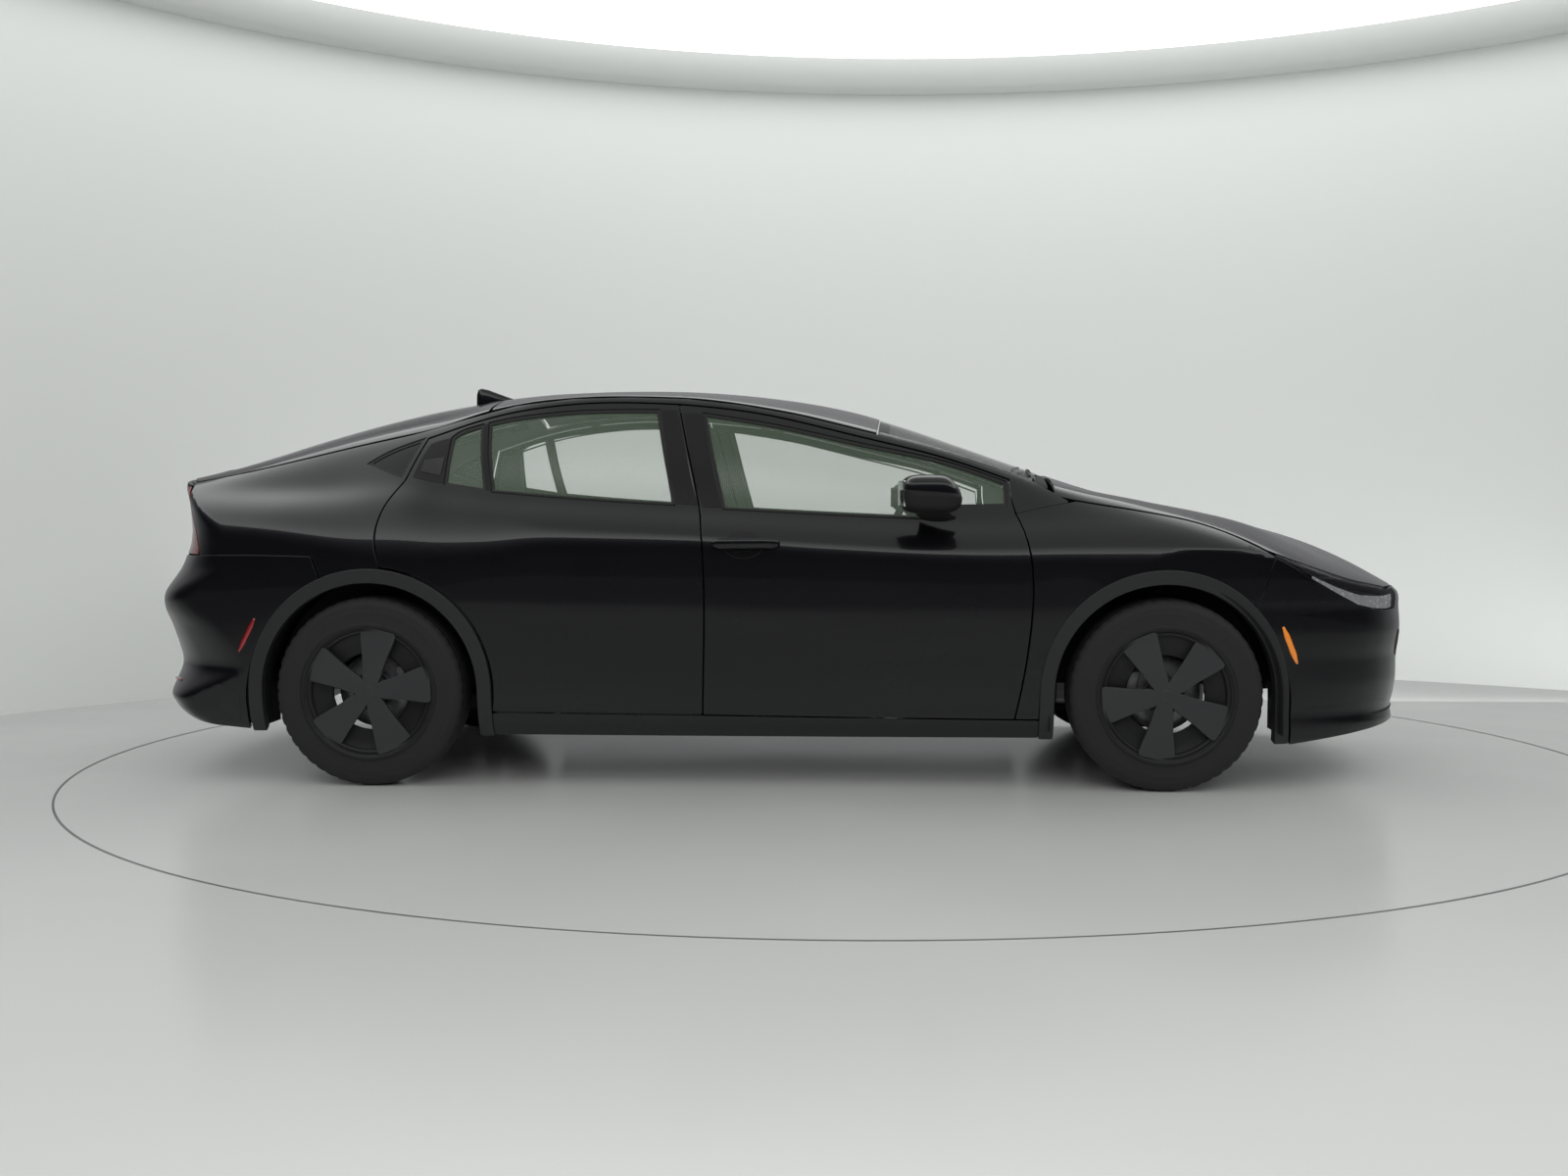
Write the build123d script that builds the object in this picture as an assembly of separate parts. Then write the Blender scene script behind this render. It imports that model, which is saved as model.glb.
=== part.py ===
"""Hybrid liftback car. Millimetres. +X is forward, +Y is the car's left, +Z is up.
The origin is on the ground at the middle of the car's length and width.

The outer skin is one implicit shape: the smooth intersection of a side field W(x, z), a top field T(x, y),
a nose field F(y, z) and a tail field R(y, z). Every panel is a slab between that skin and an inner copy of it,
cut to its own outline, so that neighbouring panels run flush with one shut gap between them."""
from build123d import *
import os
import math
import numpy as np

os.makedirs("parts", exist_ok=True)

# ---------------------------------------------------------------- driving dimensions
LENGTH, WIDTH, HEIGHT = 4599.0, 1781.0, 1420.0
FRONT_AXLE, REAR_AXLE = 1340.0, -1410.0          # wheelbase 2750
TRACK_F, TRACK_R = 1560.0, 1570.0
TYRE_R, TYRE_W, RIM_R = 331.0, 195.0, 216.0      # 195/60R17
ARCH_R, TRIM_RI, TRIM_RO = 404.0, 378.0, 428.0
GAP, HINGE_GAP = 5.0, 6.5
DOOR_T, FRAME_T = 84.0, 34.0                     # door thickness below and above the belt
SKIN_T = 20.0
SEAL = 8.0                                       # door inner face to body flange
GLASS_T = 4.0
STEER_DEG = 36.0


# ---------------------------------------------------------------- curve helpers
def pchip(xk, yk):
    xk, yk = np.asarray(xk, float), np.asarray(yk, float)
    h = np.diff(xk)
    d = np.diff(yk) / h
    m = np.zeros(len(xk))
    for i in range(1, len(xk) - 1):
        if d[i - 1] * d[i] > 0:
            w1, w2 = 2 * h[i] + h[i - 1], h[i] + 2 * h[i - 1]
            m[i] = (w1 + w2) / (w1 / d[i - 1] + w2 / d[i])
    m[0], m[-1] = d[0], d[-1]

    def f(x):
        x = np.asarray(x, float)
        i = np.clip(np.searchsorted(xk, x) - 1, 0, len(h) - 1)
        t = (x - xk[i]) / h[i]
        r = ((2 * t**3 - 3 * t**2 + 1) * yk[i] + (t**3 - 2 * t**2 + t) * h[i] * m[i]
             + (-2 * t**3 + 3 * t**2) * yk[i + 1] + (t**3 - t**2) * h[i] * m[i + 1])
        r = np.where(x < xk[0], yk[0] + m[0] * (x - xk[0]), r)
        return np.where(x > xk[-1], yk[-1] + m[-1] * (x - xk[-1]), r)

    return f


def line(*pts):
    """Smooth function of x through (x, value) pairs."""
    p = sorted(pts)
    return pchip([a[0] for a in p], [a[1] for a in p])


def gauss(n, s):
    k = np.arange(-n, n + 1)
    w = np.exp(-0.5 * (k / s) ** 2)
    return w / w.sum()


def smooth(grid, sx, sy):
    for axis, s in ((0, sx), (1, sy)):
        if s <= 0:
            continue
        n = int(3 * s) + 1
        w = gauss(n, s)
        pad = [(n, n) if a == axis else (0, 0) for a in (0, 1)]
        g = np.pad(grid, pad, mode="reflect", reflect_type="odd")
        out = np.zeros_like(grid)
        for i, c in enumerate(w):
            sl = [slice(None), slice(None)]
            sl[axis] = slice(i, i + grid.shape[axis])
            out += c * g[tuple(sl)]
        grid = out
    return grid


class Field:
    """Bicubic lookup on a regular grid."""

    def __init__(self, x0, dx, y0, dy, g):
        self.x0, self.dx, self.y0, self.dy, self.g = x0, dx, y0, dy, g

    def __call__(self, x, y):
        x, y = np.broadcast_arrays(np.asarray(x, float), np.asarray(y, float))
        u = np.clip((x - self.x0) / self.dx, 1.0, self.g.shape[0] - 3.001)
        v = np.clip((y - self.y0) / self.dy, 1.0, self.g.shape[1] - 3.001)
        i, j = u.astype(int), v.astype(int)
        a, b = u - i, v - j

        def w(t):
            return (-0.5 * t + t**2 - 0.5 * t**3, 1 - 2.5 * t**2 + 1.5 * t**3,
                    0.5 * t + 2 * t**2 - 1.5 * t**3, -0.5 * t**2 + 0.5 * t**3)

        wa, wb = w(a), w(b)
        r = np.zeros_like(u)
        for p in range(4):
            for q in range(4):
                r += wa[p] * wb[q] * self.g[i + p - 1, j + q - 1]
        return r


# ---------------------------------------------------------------- feature lines of the skin
S_Y0 = line((-2300, 770), (-1800, 800), (-1000, 800), (0, 797), (850, 800), (1340, 815), (1800, 812), (2300, 780))
S_Y1 = line((-2300, 800), (-1800, 838), (-1410, 848), (-1000, 836), (0, 832), (850, 836), (1340, 850), (1800, 846), (2300, 815))
S_Y2 = line((-2300, 815), (-1800, 862), (-1410, 872), (-1000, 860), (0, 855), (850, 858), (1340, 871), (1800, 866), (2300, 835))
S_Y3 = line((-2300, 820), (-1800, 870), (-1410, 878), (-1000, 868), (0, 863), (850, 866), (1340, 878), (1800, 872), (2300, 840))
S_Y4 = line((-2300, 822), (-1800, 872), (-1410, 881), (-1000, 872), (0, 865), (850, 868), (1340, 881), (1800, 874), (2300, 842))
S_Y5 = line((-2300, 822), (-1800, 872), (-1410, 883), (-1000, 875), (-500, 869), (0, 866), (850, 869), (1340, 883), (1800, 873), (2300, 838))
S_Y6 = line((-2300, 812), (-1800, 864), (-1410, 881), (-1100, 876), (-500, 868), (0, 865), (850, 868), (1100, 876), (1340, 880), (1800, 850), (2300, 790))
Z_S = line((-2300, 900), (-1800, 880), (-1600, 842), (-1410, 798), (-1223, 785), (-1000, 800), (-778, 846), (-300, 846), (200, 812), (870, 785), (1100, 785), (1340, 790), (1600, 760), (1800, 720), (2300, 640))
Z_B = line((-2300, 1030), (-2000, 1030), (-1800, 1028), (-1600, 1034), (-1410, 1052), (-1299, 1058), (-1177, 1032), (-1003, 1011), (-795, 994), (-588, 979), (-374, 965), (-182, 951), (31, 941), (201, 932), (429, 921), (600, 917), (811, 920), (1000, 926), (1340, 918), (1600, 872), (1800, 815), (2000, 755), (2300, 700))
Y_B = line((-2300, 690), (-2000, 695), (-1800, 692), (-1600, 692), (-1410, 700), (-1299, 706), (-1000, 738), (-600, 757), (-200, 767), (200, 770), (430, 770), (811, 770), (1000, 778), (1340, 790), (1600, 790), (1800, 768), (2000, 730), (2300, 650))
Z_R = line((-2300, 1050), (-2200, 1060), (-2000, 1098), (-1800, 1148), (-1600, 1196), (-1410, 1236), (-1269, 1265), (-1034, 1328), (-820, 1362), (-608, 1373), (-348, 1367), (-271, 1361), (23, 1315), (302, 1247), (580, 1177), (820, 1098), (1000, 1040), (1122, 1013), (1224, 995), (1340, 973), (1430, 957), (1530, 932), (1630, 902), (1731, 864), (1900, 788), (2000, 745), (2127, 702), (2300, 650))
Y_R = line((-2300, 640), (-2200, 630), (-2000, 600), (-1800, 566), (-1600, 548), (-1410, 542), (-1269, 545), (-1034, 572), (-820, 588), (-608, 596), (-348, 598), (23, 603), (302, 616), (580, 634), (820, 660), (1000, 672), (1122, 682), (1340, 696), (1530, 700), (1731, 694), (1900, 676), (2000, 655), (2127, 620), (2300, 540))
Z_C = line((-2300, 1062), (-2205, 1086), (-2100, 1118), (-2000, 1153), (-1892, 1192), (-1775, 1233), (-1657, 1270), (-1540, 1303), (-1423, 1332), (-1306, 1357), (-1190, 1376), (-1074, 1391), (-958, 1402), (-843, 1410), (-728, 1414), (-613, 1417), (-497, 1418), (-383, 1417), (-268, 1412), (-154, 1404), (-40, 1392), (74, 1377), (188, 1357), (301, 1331), (415, 1296), (528, 1259), (641, 1218), (754, 1178), (867, 1137), (980, 1097), (1100, 1055), (1220, 1018), (1340, 987), (1500, 958), (1614, 940), (1720, 918), (1840, 888), (1936, 859), (2044, 817), (2153, 762), (2220, 715), (2261, 680), (2300, 640))
X_F = line((120, 2150), (150, 2215), (185, 2262), (215, 2272), (260, 2266), (310, 2277), (371, 2284), (440, 2284), (500, 2292), (545, 2296), (585, 2294), (625, 2291), (660, 2293), (720, 2293), (800, 2290), (1500, 2290))
X_T = line((120, -2050), (200, -2150), (235, -2215), (273, -2252), (317, -2274), (360, -2277), (418, -2274), (480, -2282), (533, -2290), (600, -2299), (640, -2294), (730, -2262), (790, -2236), (850, -2208), (900, -2200), (980, -2202), (1040, -2212), (1075, -2221), (1150, -2228), (1500, -2228))
P_F = line((-1, 0), (0, 0), (200, 7), (350, 25), (450, 50), (540, 92), (620, 152), (680, 222), (730, 310), (775, 430), (815, 590), (850, 760), (880, 960))
P_T = line((-1, 0), (0, 0), (300, 14), (500, 42), (600, 68), (700, 108), (780, 160), (840, 230), (900, 340))
K_T = line((0, 0.85), (290, 0.82), (410, 1.42), (540, 1.18), (665, 0.82), (770, 1.12), (876, 1.0), (1100, 0.9), (1500, 0.9))

XG = np.arange(-2440, 2441, 20.0)
ZG = np.arange(60, 1561, 10.0)


def side_table():
    W = np.zeros((len(XG), len(ZG)))
    for i, x in enumerate(XG):
        zs, zb, zr = float(Z_S(x)), float(Z_B(x)), float(Z_R(x))
        y6, yb, yr = float(S_Y6(x)), float(Y_B(x)), float(Y_R(x))
        zb = min(zb, zr - 20)
        zs = min(zs, zb - 60)
        y0, y1, y2, y3, y4, y5 = (float(f(x)) for f in (S_Y0, S_Y1, S_Y2, S_Y3, S_Y4, S_Y5))
        zz = [120, 165, 215, 300, 420, 540, 660]
        yy = [y0 - 40, y0, y1, y2, y3, y4, y5]
        zz = [min(z, zs - 20 - (660 - z) * 0.2) if z > zs - 30 else z for z in zz]
        d = y6 - yb
        zz += [zs, zs + 0.30 * (zb - zs), zs + 0.60 * (zb - zs), zs + 0.82 * (zb - zs), zb]
        yy += [y6, y6 - 0.10 * d, y6 - 0.36 * d, y6 - 0.66 * d, yb]
        hg = zr - zb
        s = (yb - yr) / max(hg, 1)
        zz += [zb + 0.5 * hg, zr, zr + 120]
        yy += [yb - (yb - yr) * 0.46, yr, yr - 120 * s * 1.25]
        W[i] = pchip(zz, yy)(ZG)
    return smooth(W, 2.4, 2.2)


W = Field(XG[0], 20.0, ZG[0], 10.0, side_table())
YG = np.arange(-1080, 1081, 20.0)


def top_table():
    x = XG[:, None]
    y = np.abs(YG)[None, :]
    zc, zr, yr = Z_C(x), Z_R(x), Y_R(x)
    p = line((-2300, 2.4), (-1400, 2.1), (0, 2.2), (900, 2.4), (1340, 3.2), (1900, 2.6), (2300, 2.4))(x)
    g = zc - (zc - zr) * (y / yr) ** p
    # hood: two soft ridges over the wheels that run from the pillars to the lamps
    a = np.clip((x - 1050) / 250, 0, 1) * np.clip((2150 - x) / 300, 0, 1)
    a = a * a * (3 - 2 * a)
    g = g + a * (9 * np.exp(-(((y - 560) / 70) ** 2)) - 6 * np.exp(-(((y - 330) / 130) ** 2)))
    return smooth(g, 1.6, 1.2)


T = Field(XG[0], 20.0, YG[0], 20.0, top_table())


def smax(a, b, r):
    h = np.clip(r - np.abs(a - b), 0, None) / r
    return np.maximum(a, b) + h**3 * r / 6


def nose(y, z):
    return X_F(z) - P_F(np.abs(y))


def tail(y, z):
    return X_T(z) + P_T(np.abs(y)) * K_T(z)


R_TOP = line((-2300, 40), (-1900, 60), (-1300, 70), (0, 60), (800, 60), (1100, 90), (1500, 120), (1900, 110), (2300, 80))


def G(x, y, z):
    """Above zero outside the skin."""
    y = np.abs(y)
    g = smax(y - W(x, z), z - T(x, y), R_TOP(x))
    g = smax(g, x - nose(y, z), 60.0)
    return smax(g, tail(y, z) - x, 40.0)


def cast(o, d, t1=3000.0):
    """Distance along direction d from points o to the skin."""
    lo, hi = np.zeros(o.shape[:-1]), np.full(o.shape[:-1], float(t1))
    for _ in range(34):
        m = (lo + hi) / 2
        p = o + d * m[..., None]
        out = G(p[..., 0], p[..., 1], p[..., 2]) > 0
        hi = np.where(out, m, hi)
        lo = np.where(out, lo, m)
    return o + d * ((lo + hi) / 2)[..., None]


def normal(p, e=1.5):
    n = np.stack([G(p[..., 0] + e, p[..., 1], p[..., 2]) - G(p[..., 0] - e, p[..., 1], p[..., 2]),
                  G(p[..., 0], p[..., 1] + e, p[..., 2]) - G(p[..., 0], p[..., 1] - e, p[..., 2]),
                  G(p[..., 0], p[..., 1], p[..., 2] + e) - G(p[..., 0], p[..., 1], p[..., 2] - e)], -1)
    return n / np.linalg.norm(n, axis=-1, keepdims=True)


def side_pts(X, Z):
    """Skin points of the left side at (x, z)."""
    o = np.stack([X, np.zeros_like(X), Z], -1)
    return cast(o, np.array([0.0, 1.0, 0.0]), 1200)


def top_pts(X, Y, z0=500.0):
    o = np.stack([X, Y, np.full_like(X, z0)], -1)
    return cast(o, np.array([0.0, 0.0, 1.0]), 1200)


def radial_pts(xc, ang, Z):
    """Skin points at height Z along a level ray from (xc, 0) at ang degrees from +X towards +Y."""
    a = np.radians(ang)
    o = np.stack([np.full_like(Z, xc), np.zeros_like(Z), Z], -1)
    d = np.stack([np.cos(a), np.sin(a), np.zeros_like(a)], -1)
    lo, hi = np.zeros(Z.shape), np.full(Z.shape, 1600.0)
    for _ in range(34):
        m = (lo + hi) / 2
        p = o + d * m[..., None]
        out = G(p[..., 0], p[..., 1], p[..., 2]) > 0
        hi, lo = np.where(out, m, hi), np.where(out, lo, m)
    return o + d * ((lo + hi) / 2)[..., None]


# ---------------------------------------------------------------- solids from point grids
def surf(P, tol=None):
    tol = TOL[0] if tol is None else tol
    return Face.make_surface_from_array_of_points(
        [[Vector(float(p[0]), float(p[1]), float(p[2])) for p in row] for row in P], tol=tol, min_deg=3, max_deg=5)


TOL = [1.0]


def firm(make, least):
    """Run make() with finer or coarser surface fits until it gives a sound solid of at least the volume asked for."""
    for tol in (1.0, 1.5, 0.7, 2.2, 3.0):
        TOL[0] = tol
        try:
            r = make()
            ss = r if isinstance(r, list) else [r]
            v = sum(q.volume for q in ss)
            if all(q.is_valid for q in ss) and least < v < 8 * least:
                TOL[0] = 1.0
                return r
            print("   retry", tol, round(v / 1e6, 3), [q.is_valid for q in ss])
        except (AttributeError, TypeError, ValueError, RuntimeError) as e:
            print("   retry", tol, type(e).__name__)
    raise RuntimeError("no sound solid")


def outward(faces):
    """Solid bounded by the faces, turned so that its inside is the inside."""
    s = Solid(Shell(faces))
    return s if s.volume > 0 else Solid(s.wrapped.Reversed())


def slab(A, B, tol=None):
    fa, fb = surf(A, tol), surf(B, tol)
    eb = fb.edges()
    sides = []
    for e in fa.edges():
        m = e @ 0.5
        q = min(eb, key=lambda k: ((k @ 0.5) - m).length)
        sides.append(Face.make_surface_from_curves(e, q))
    return outward([fa, fb] + sides)


def nslab(P, d0, d1, tol=None):
    """Slab between depths d0 and d1 under the skin points P, along the skin's normal."""
    n = normal(P)
    d0 = np.asarray(d0, float) if np.ndim(d0) else np.full(P.shape[:-1], float(d0))
    d1 = np.asarray(d1, float) if np.ndim(d1) else np.full(P.shape[:-1], float(d1))
    return slab(P - n * d0[..., None], P - n * d1[..., None], tol)


def yslab(P, d0, d1, tol=None):
    """Slab between depths d0 and d1 measured straight in along Y (left side)."""
    A, B = P.copy(), P.copy()
    A[..., 1] -= d0
    B[..., 1] -= d1
    return slab(A, B, tol)


def one(s):
    """The result as one plain solid or a list of solids."""
    ss = s.solids() if hasattr(s, "solids") else s
    return ss[0] if len(ss) == 1 else Compound(children=list(ss))


def biggest(s):
    return max(s.solids(), key=lambda k: k.volume)


def mir(s):
    return s.mirror(Plane.XZ)


def fuse(*ss):
    r = ss[0]
    for s in ss[1:]:
        r = r + s
    return r


# ---------------------------------------------------------------- flat outlines
def cspline(pts, n):
    """Dense points on a smooth curve through pts."""
    p = np.asarray(pts, float)
    if len(p) == 2:
        t = np.linspace(0, 1, n)[:, None]
        return p[0] * (1 - t) + p[1] * t
    s = np.r_[0, np.cumsum(np.linalg.norm(np.diff(p, axis=0), axis=1) ** 0.5)]
    k = len(p)
    h = np.diff(s)
    A = np.zeros((k, k))
    B = np.zeros((k, p.shape[1]))
    A[0, 0] = A[-1, -1] = 1
    for i in range(1, k - 1):
        A[i, i - 1], A[i, i], A[i, i + 1] = h[i - 1], 2 * (h[i - 1] + h[i]), h[i]
        B[i] = 6 * ((p[i + 1] - p[i]) / h[i] - (p[i] - p[i - 1]) / h[i - 1])
    M = np.linalg.solve(A, B)
    t = np.linspace(0, s[-1], n)
    i = np.clip(np.searchsorted(s, t) - 1, 0, k - 2)
    u, v = (s[i + 1] - t)[:, None], (t - s[i])[:, None]
    hi = h[i][:, None]
    return (M[i] * u**3 + M[i + 1] * v**3) / (6 * hi) + (p[i] / hi - M[i] * hi / 6) * u + (p[i + 1] / hi - M[i + 1] * hi / 6) * v


class Outline:
    """Closed outline of smooth segments that meet at corners, walked anticlockwise or not. Offsets are mitred."""

    def __init__(self, *segs, n=17):
        self.d = [cspline(s, n if len(s) > 2 else 2) for s in segs]

    def poly(self, off=0.0, offs=None):
        """Dense segments moved outwards by off, or by offs[i] for segment i."""
        area = 0.0
        allp = np.concatenate([s[:-1] for s in self.d])
        x, y = allp[:, 0], allp[:, 1]
        area = np.sum(x * np.roll(y, -1) - np.roll(x, -1) * y)
        sg = 1.0 if area > 0 else -1.0
        moved = []
        for k, s in enumerate(self.d):
            g = off if offs is None else offs[k]
            t = np.gradient(s, axis=0)
            t /= np.linalg.norm(t, axis=1)[:, None]
            nrm = np.stack([t[:, 1], -t[:, 0]], 1) * sg
            moved.append(s + nrm * g)
        out = []
        n = len(moved)
        ends = []
        for k in range(n):
            a, b = moved[k], moved[(k + 1) % n]
            p, r = a[-1], a[-1] - a[-2]
            q, s2 = b[0], b[1] - b[0]
            den = r[0] * s2[1] - r[1] * s2[0]
            if abs(den) < 1e-3 * np.linalg.norm(r) * np.linalg.norm(s2):
                c = (p + q) / 2
            else:
                u = ((q - p)[0] * s2[1] - (q - p)[1] * s2[0]) / den
                c = p + r * u
                if np.linalg.norm(c - p) > 60:
                    c = (p + q) / 2
            ends.append(c)
        for k in range(n):
            s = moved[k].copy()
            c0, c1 = ends[k - 1], ends[k]
            # drop points that the trimmed corners have passed
            t = s[-1] - s[0]
            keep = [p for p in s[1:-1] if np.dot(p - c0, s[1] - s[0]) > 1.0 and np.dot(c1 - p, s[-1] - s[-2]) > 1.0]
            out.append(np.array([c0] + keep + [c1]))
        return out


def prism(outline, plane, lo, hi, off=0.0, offs=None):
    """The outline as a prism. plane is 'xz' (extruded along Y), 'xy' (along Z) or 'yz' (along X)."""
    put = {"xz": lambda a, b, c: (a, c, b), "xy": lambda a, b, c: (a, b, c), "yz": lambda a, b, c: (c, a, b)}[plane]
    edges = []
    for s in outline.poly(off, offs):
        if len(s) == 2:
            edges.append(Edge.make_line(put(s[0][0], s[0][1], lo), put(s[1][0], s[1][1], lo)))
        else:
            m = s if len(s) < 12 else np.concatenate([s[:1], s[1:-1][:: max(1, len(s) // 10)], s[-1:]])
            edges.append(Edge.make_spline([Vector(*put(p[0], p[1], lo)) for p in m]))
    f = Face(Wire(edges))
    v = {"xz": (0, hi - lo, 0), "xy": (0, 0, hi - lo), "yz": (hi - lo, 0, 0)}[plane]
    return Solid.extrude(f, Vector(*v))


def door_prism(outline, off=0.0, offs=None, k0=0.0, k1=0.0, y0=380.0, y1=1020.0):
    """Left-side XZ outline as a solid whose walls lean with the path of a swinging door: above the belt the inner
    end stands further forward than the outer end by up to k1 per millimetre, along the skin by nothing."""
    lo, hi = [], []
    for s in outline.poly(off, offs):
        if len(s) == 2:
            n = 2 if abs(s[0][1] - s[1][1]) < 60 else 7
            t = np.linspace(0, 1, n)[:, None]
            s = s[:1] * (1 - t) + s[1:] * t
        elif len(s) > 12:
            s = np.concatenate([s[:1], s[1:-1][:: max(1, len(s) // 10)], s[-1:]])
        x, z = s[:, 0], s[:, 1]
        t = np.clip((z - 880) / 330.0, 0, 1)
        k = k0 + (k1 - k0) * t * t * (3 - 2 * t)
        w = W(x, z)
        for y, acc in ((y0, lo), (y1, hi)):
            p = [Vector(float(a + q * (b - y)), y, float(c)) for a, b, c, q in zip(x, w, z, k)]
            acc.append(Edge.make_line(p[0], p[1]) if len(p) == 2 else Edge.make_spline(p))
    faces = [Face(Wire(lo)), Face(Wire(hi))] + [Face.make_surface_from_curves(a, b) for a, b in zip(lo, hi)]
    return outward(faces)


def box(x0, x1, y0, y1, z0, z1):
    return Pos((x0 + x1) / 2, (y0 + y1) / 2, (z0 + z1) / 2) * Box(abs(x1 - x0), abs(y1 - y0), abs(z1 - z0))


def ycyl(x, z, r, y0, y1):
    return Pos(x, (y0 + y1) / 2, z) * Rot(90, 0, 0) * Cylinder(r, abs(y1 - y0))


def save(name, shape):
    ss = shape.solids() if not isinstance(shape, (list, tuple)) else [k for s in shape for k in s.solids()]
    out = ss[0] if len(ss) == 1 else Compound(children=list(ss))
    export_step(out, f"parts/{name}.step")


def arc(cx, cz, r, a0, a1, n=9):
    a = np.radians(np.linspace(a0, a1, n))
    return [(cx + r * math.cos(t), cz + r * math.sin(t)) for t in a]


# ---------------------------------------------------------------- door outlines, (x, z)
FD_BOTTOM = [(-246, 253), (300, 247), (828, 243)]
FD_FRONT = [(828, 243), (862, 420), (881, 568), (888, 700), (880, 800), (858, 900), (836, 951)]
FD_A = [(836, 951), (822, 1010), (818, 1070)]
FD_TOP = [(818, 1070), (580, 1152), (302, 1222), (23, 1290), (-160, 1322), (-351, 1341)]
FD_REAR = [(-351, 1341), (-312, 1170), (-274, 1010), (-255, 920), (-242, 767), (-239, 611), (-242, 420), (-246, 253)]
FDOOR = Outline(FD_BOTTOM, FD_FRONT, FD_A, FD_TOP, FD_REAR)
RD_ARC = arc(REAR_AXLE, 332, 434, -9.5, 84, 13)
RD_TOP = [(-351, 1341), (-608, 1348), (-820, 1334), (-1034, 1296), (-1266, 1222)]
RD_REAR1 = [(-1266, 1222), (-1298, 1140), (-1322, 1069)]
RD_REAR2 = [(-1322, 1069), (-1362, 997), (-1383, 925), (-1385, 843), RD_ARC[-1]]
RDOOR = Outline([(-246, 253), (-600, 256), RD_ARC[0]], RD_ARC, RD_REAR2[::-1], RD_REAR1[::-1], RD_TOP[::-1],
                [(-351, 1341), (-312, 1170), (-274, 1010), (-255, 920), (-242, 767), (-239, 611), (-242, 420), (-246, 253)])
# daylight openings, (x, z)
FWIN = Outline([(-182, 967), (200, 947), (560, 931)], [(560, 931), (610, 950), (650, 976)], [(650, 976), (730, 977), (806, 979)],
               [(806, 979), (808, 1030), (804, 1064)], [(804, 1064), (580, 1140), (302, 1200), (23, 1262), (-262, 1309)],
               [(-262, 1309), (-225, 1140), (-182, 967)])
RWIN = Outline([(-352, 981), (-588, 995), (-795, 1010), (-1003, 1028)], [(-1003, 1028), (-1030, 1160), (-1040, 1277)],
               [(-1040, 1277), (-958, 1294), (-817, 1311), (-676, 1320), (-422, 1322)], [(-422, 1322), (-390, 1160), (-352, 981)])
RVENT = Outline([(-1026, 1031), (-1105, 1043), (-1180, 1055)], [(-1180, 1055), (-1180, 1140), (-1176, 1225)],
                [(-1176, 1225), (-1150, 1245), (-1062, 1273)], [(-1062, 1273), (-1050, 1160), (-1026, 1031)])
QWIN = Outline([(-1338, 1078), (-1400, 1102), (-1474, 1130)], [(-1474, 1130), (-1400, 1176), (-1282, 1221)],
               [(-1282, 1221), (-1312, 1150), (-1338, 1078)])


def side_grid(x0, x1, z0, z1, nx, nz, power=1.0):
    u = np.linspace(0, 1, nx)[:, None] * np.ones((1, nz))
    v = (np.linspace(0, 1, nz) ** power)[None, :] * np.ones((nx, 1))
    X = x0 + (x1 - x0) * u
    z0 = z0(X) if callable(z0) else z0
    z1 = z1(X) if callable(z1) else z1
    return side_pts(X, z0 + (z1 - z0) * v)


def door_depth(P, low=DOOR_T, high=FRAME_T):
    t = np.clip((P[..., 2] - (Z_B(P[..., 0]) - 45)) / 70.0, 0, 1)
    t = t * t * (3 - 2 * t)
    # the door's inner face is straighter than its skin: less deep where the skin is tucked in
    tuck = np.clip(868 - P[..., 1], 0, 60) * (1 - t)
    return (low - tuck * 0.75) * (1 - t) + high * t




# ---------------------------------------------------------------- plan outlines (x, y) of the upper panels
HOOD_REAR, HOOD_AXIS = 984.0, (1003.0, 1062.0)
YH = line((900, 694), (985, 700), (1200, 712), (1400, 728), (1495, 742), (1593, 768), (1687, 796), (1760, 800))
LAMP_TOP = [(1687, 796), (1765, 786), (1896, 742), (2030, 676), (2147, 586)]
TIP = [(2147, 586), (2200, 480), (2232, 340), (2250, 180), (2256, 0)]
ROOF_F, ROOF_R = 372.0, -1043.0
YI = line((-2300, 640), (-2200, 634), (-2000, 606), (-1800, 574), (-1600, 552), (-1410, 540), (-1200, 545), (-1043, 552),
          (-820, 566), (-608, 574), (-348, 576), (23, 581), (302, 594), (580, 612), (820, 638), (960, 652))


def sym(seg):
    return [(x, -y) for x, y in seg][::-1]


def yi_pts(x0, x1, n=9, off=0.0):
    return [(float(x), float(YI(x)) + off) for x in np.linspace(x0, x1, n)]


hs = [(float(x), float(YH(x))) for x in (HOOD_REAR, 1100, 1200, 1300, 1400, 1495, 1593, 1687)]
HOOD = Outline([(HOOD_REAR - 9, -hs[0][1]), (HOOD_REAR, 0), (HOOD_REAR - 9, hs[0][1])], [(HOOD_REAR - 9, hs[0][1])] + hs[1:],
               LAMP_TOP, TIP + sym(TIP)[1:], sym(LAMP_TOP), sym([(HOOD_REAR - 9, hs[0][1])] + hs[1:]))
WSHIELD = Outline([(905, -648), (948, -330), (960, 0), (948, 330), (905, 648)], yi_pts(905, ROOF_F - 14, 9),
                  [(ROOF_F - 14, float(YI(ROOF_F - 14))), (ROOF_F, 0), (ROOF_F - 14, -float(YI(ROOF_F - 14)))],
                  sym(yi_pts(905, ROOF_F - 14, 9)))
ROOF = Outline([(ROOF_F - 14, -float(YI(ROOF_F - 14))), (ROOF_F, 0), (ROOF_F - 14, float(YI(ROOF_F - 14)))],
               yi_pts(ROOF_F - 14, ROOF_R, 15), [(ROOF_R, float(YI(ROOF_R))), (ROOF_R, -float(YI(ROOF_R)))],
               sym(yi_pts(ROOF_F - 14, ROOF_R, 15)))
GATE_F, GATE_LIP = ROOF_R - 7.0, -2196.0
gs = yi_pts(GATE_F, -2160, 13, 0.0)
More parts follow.
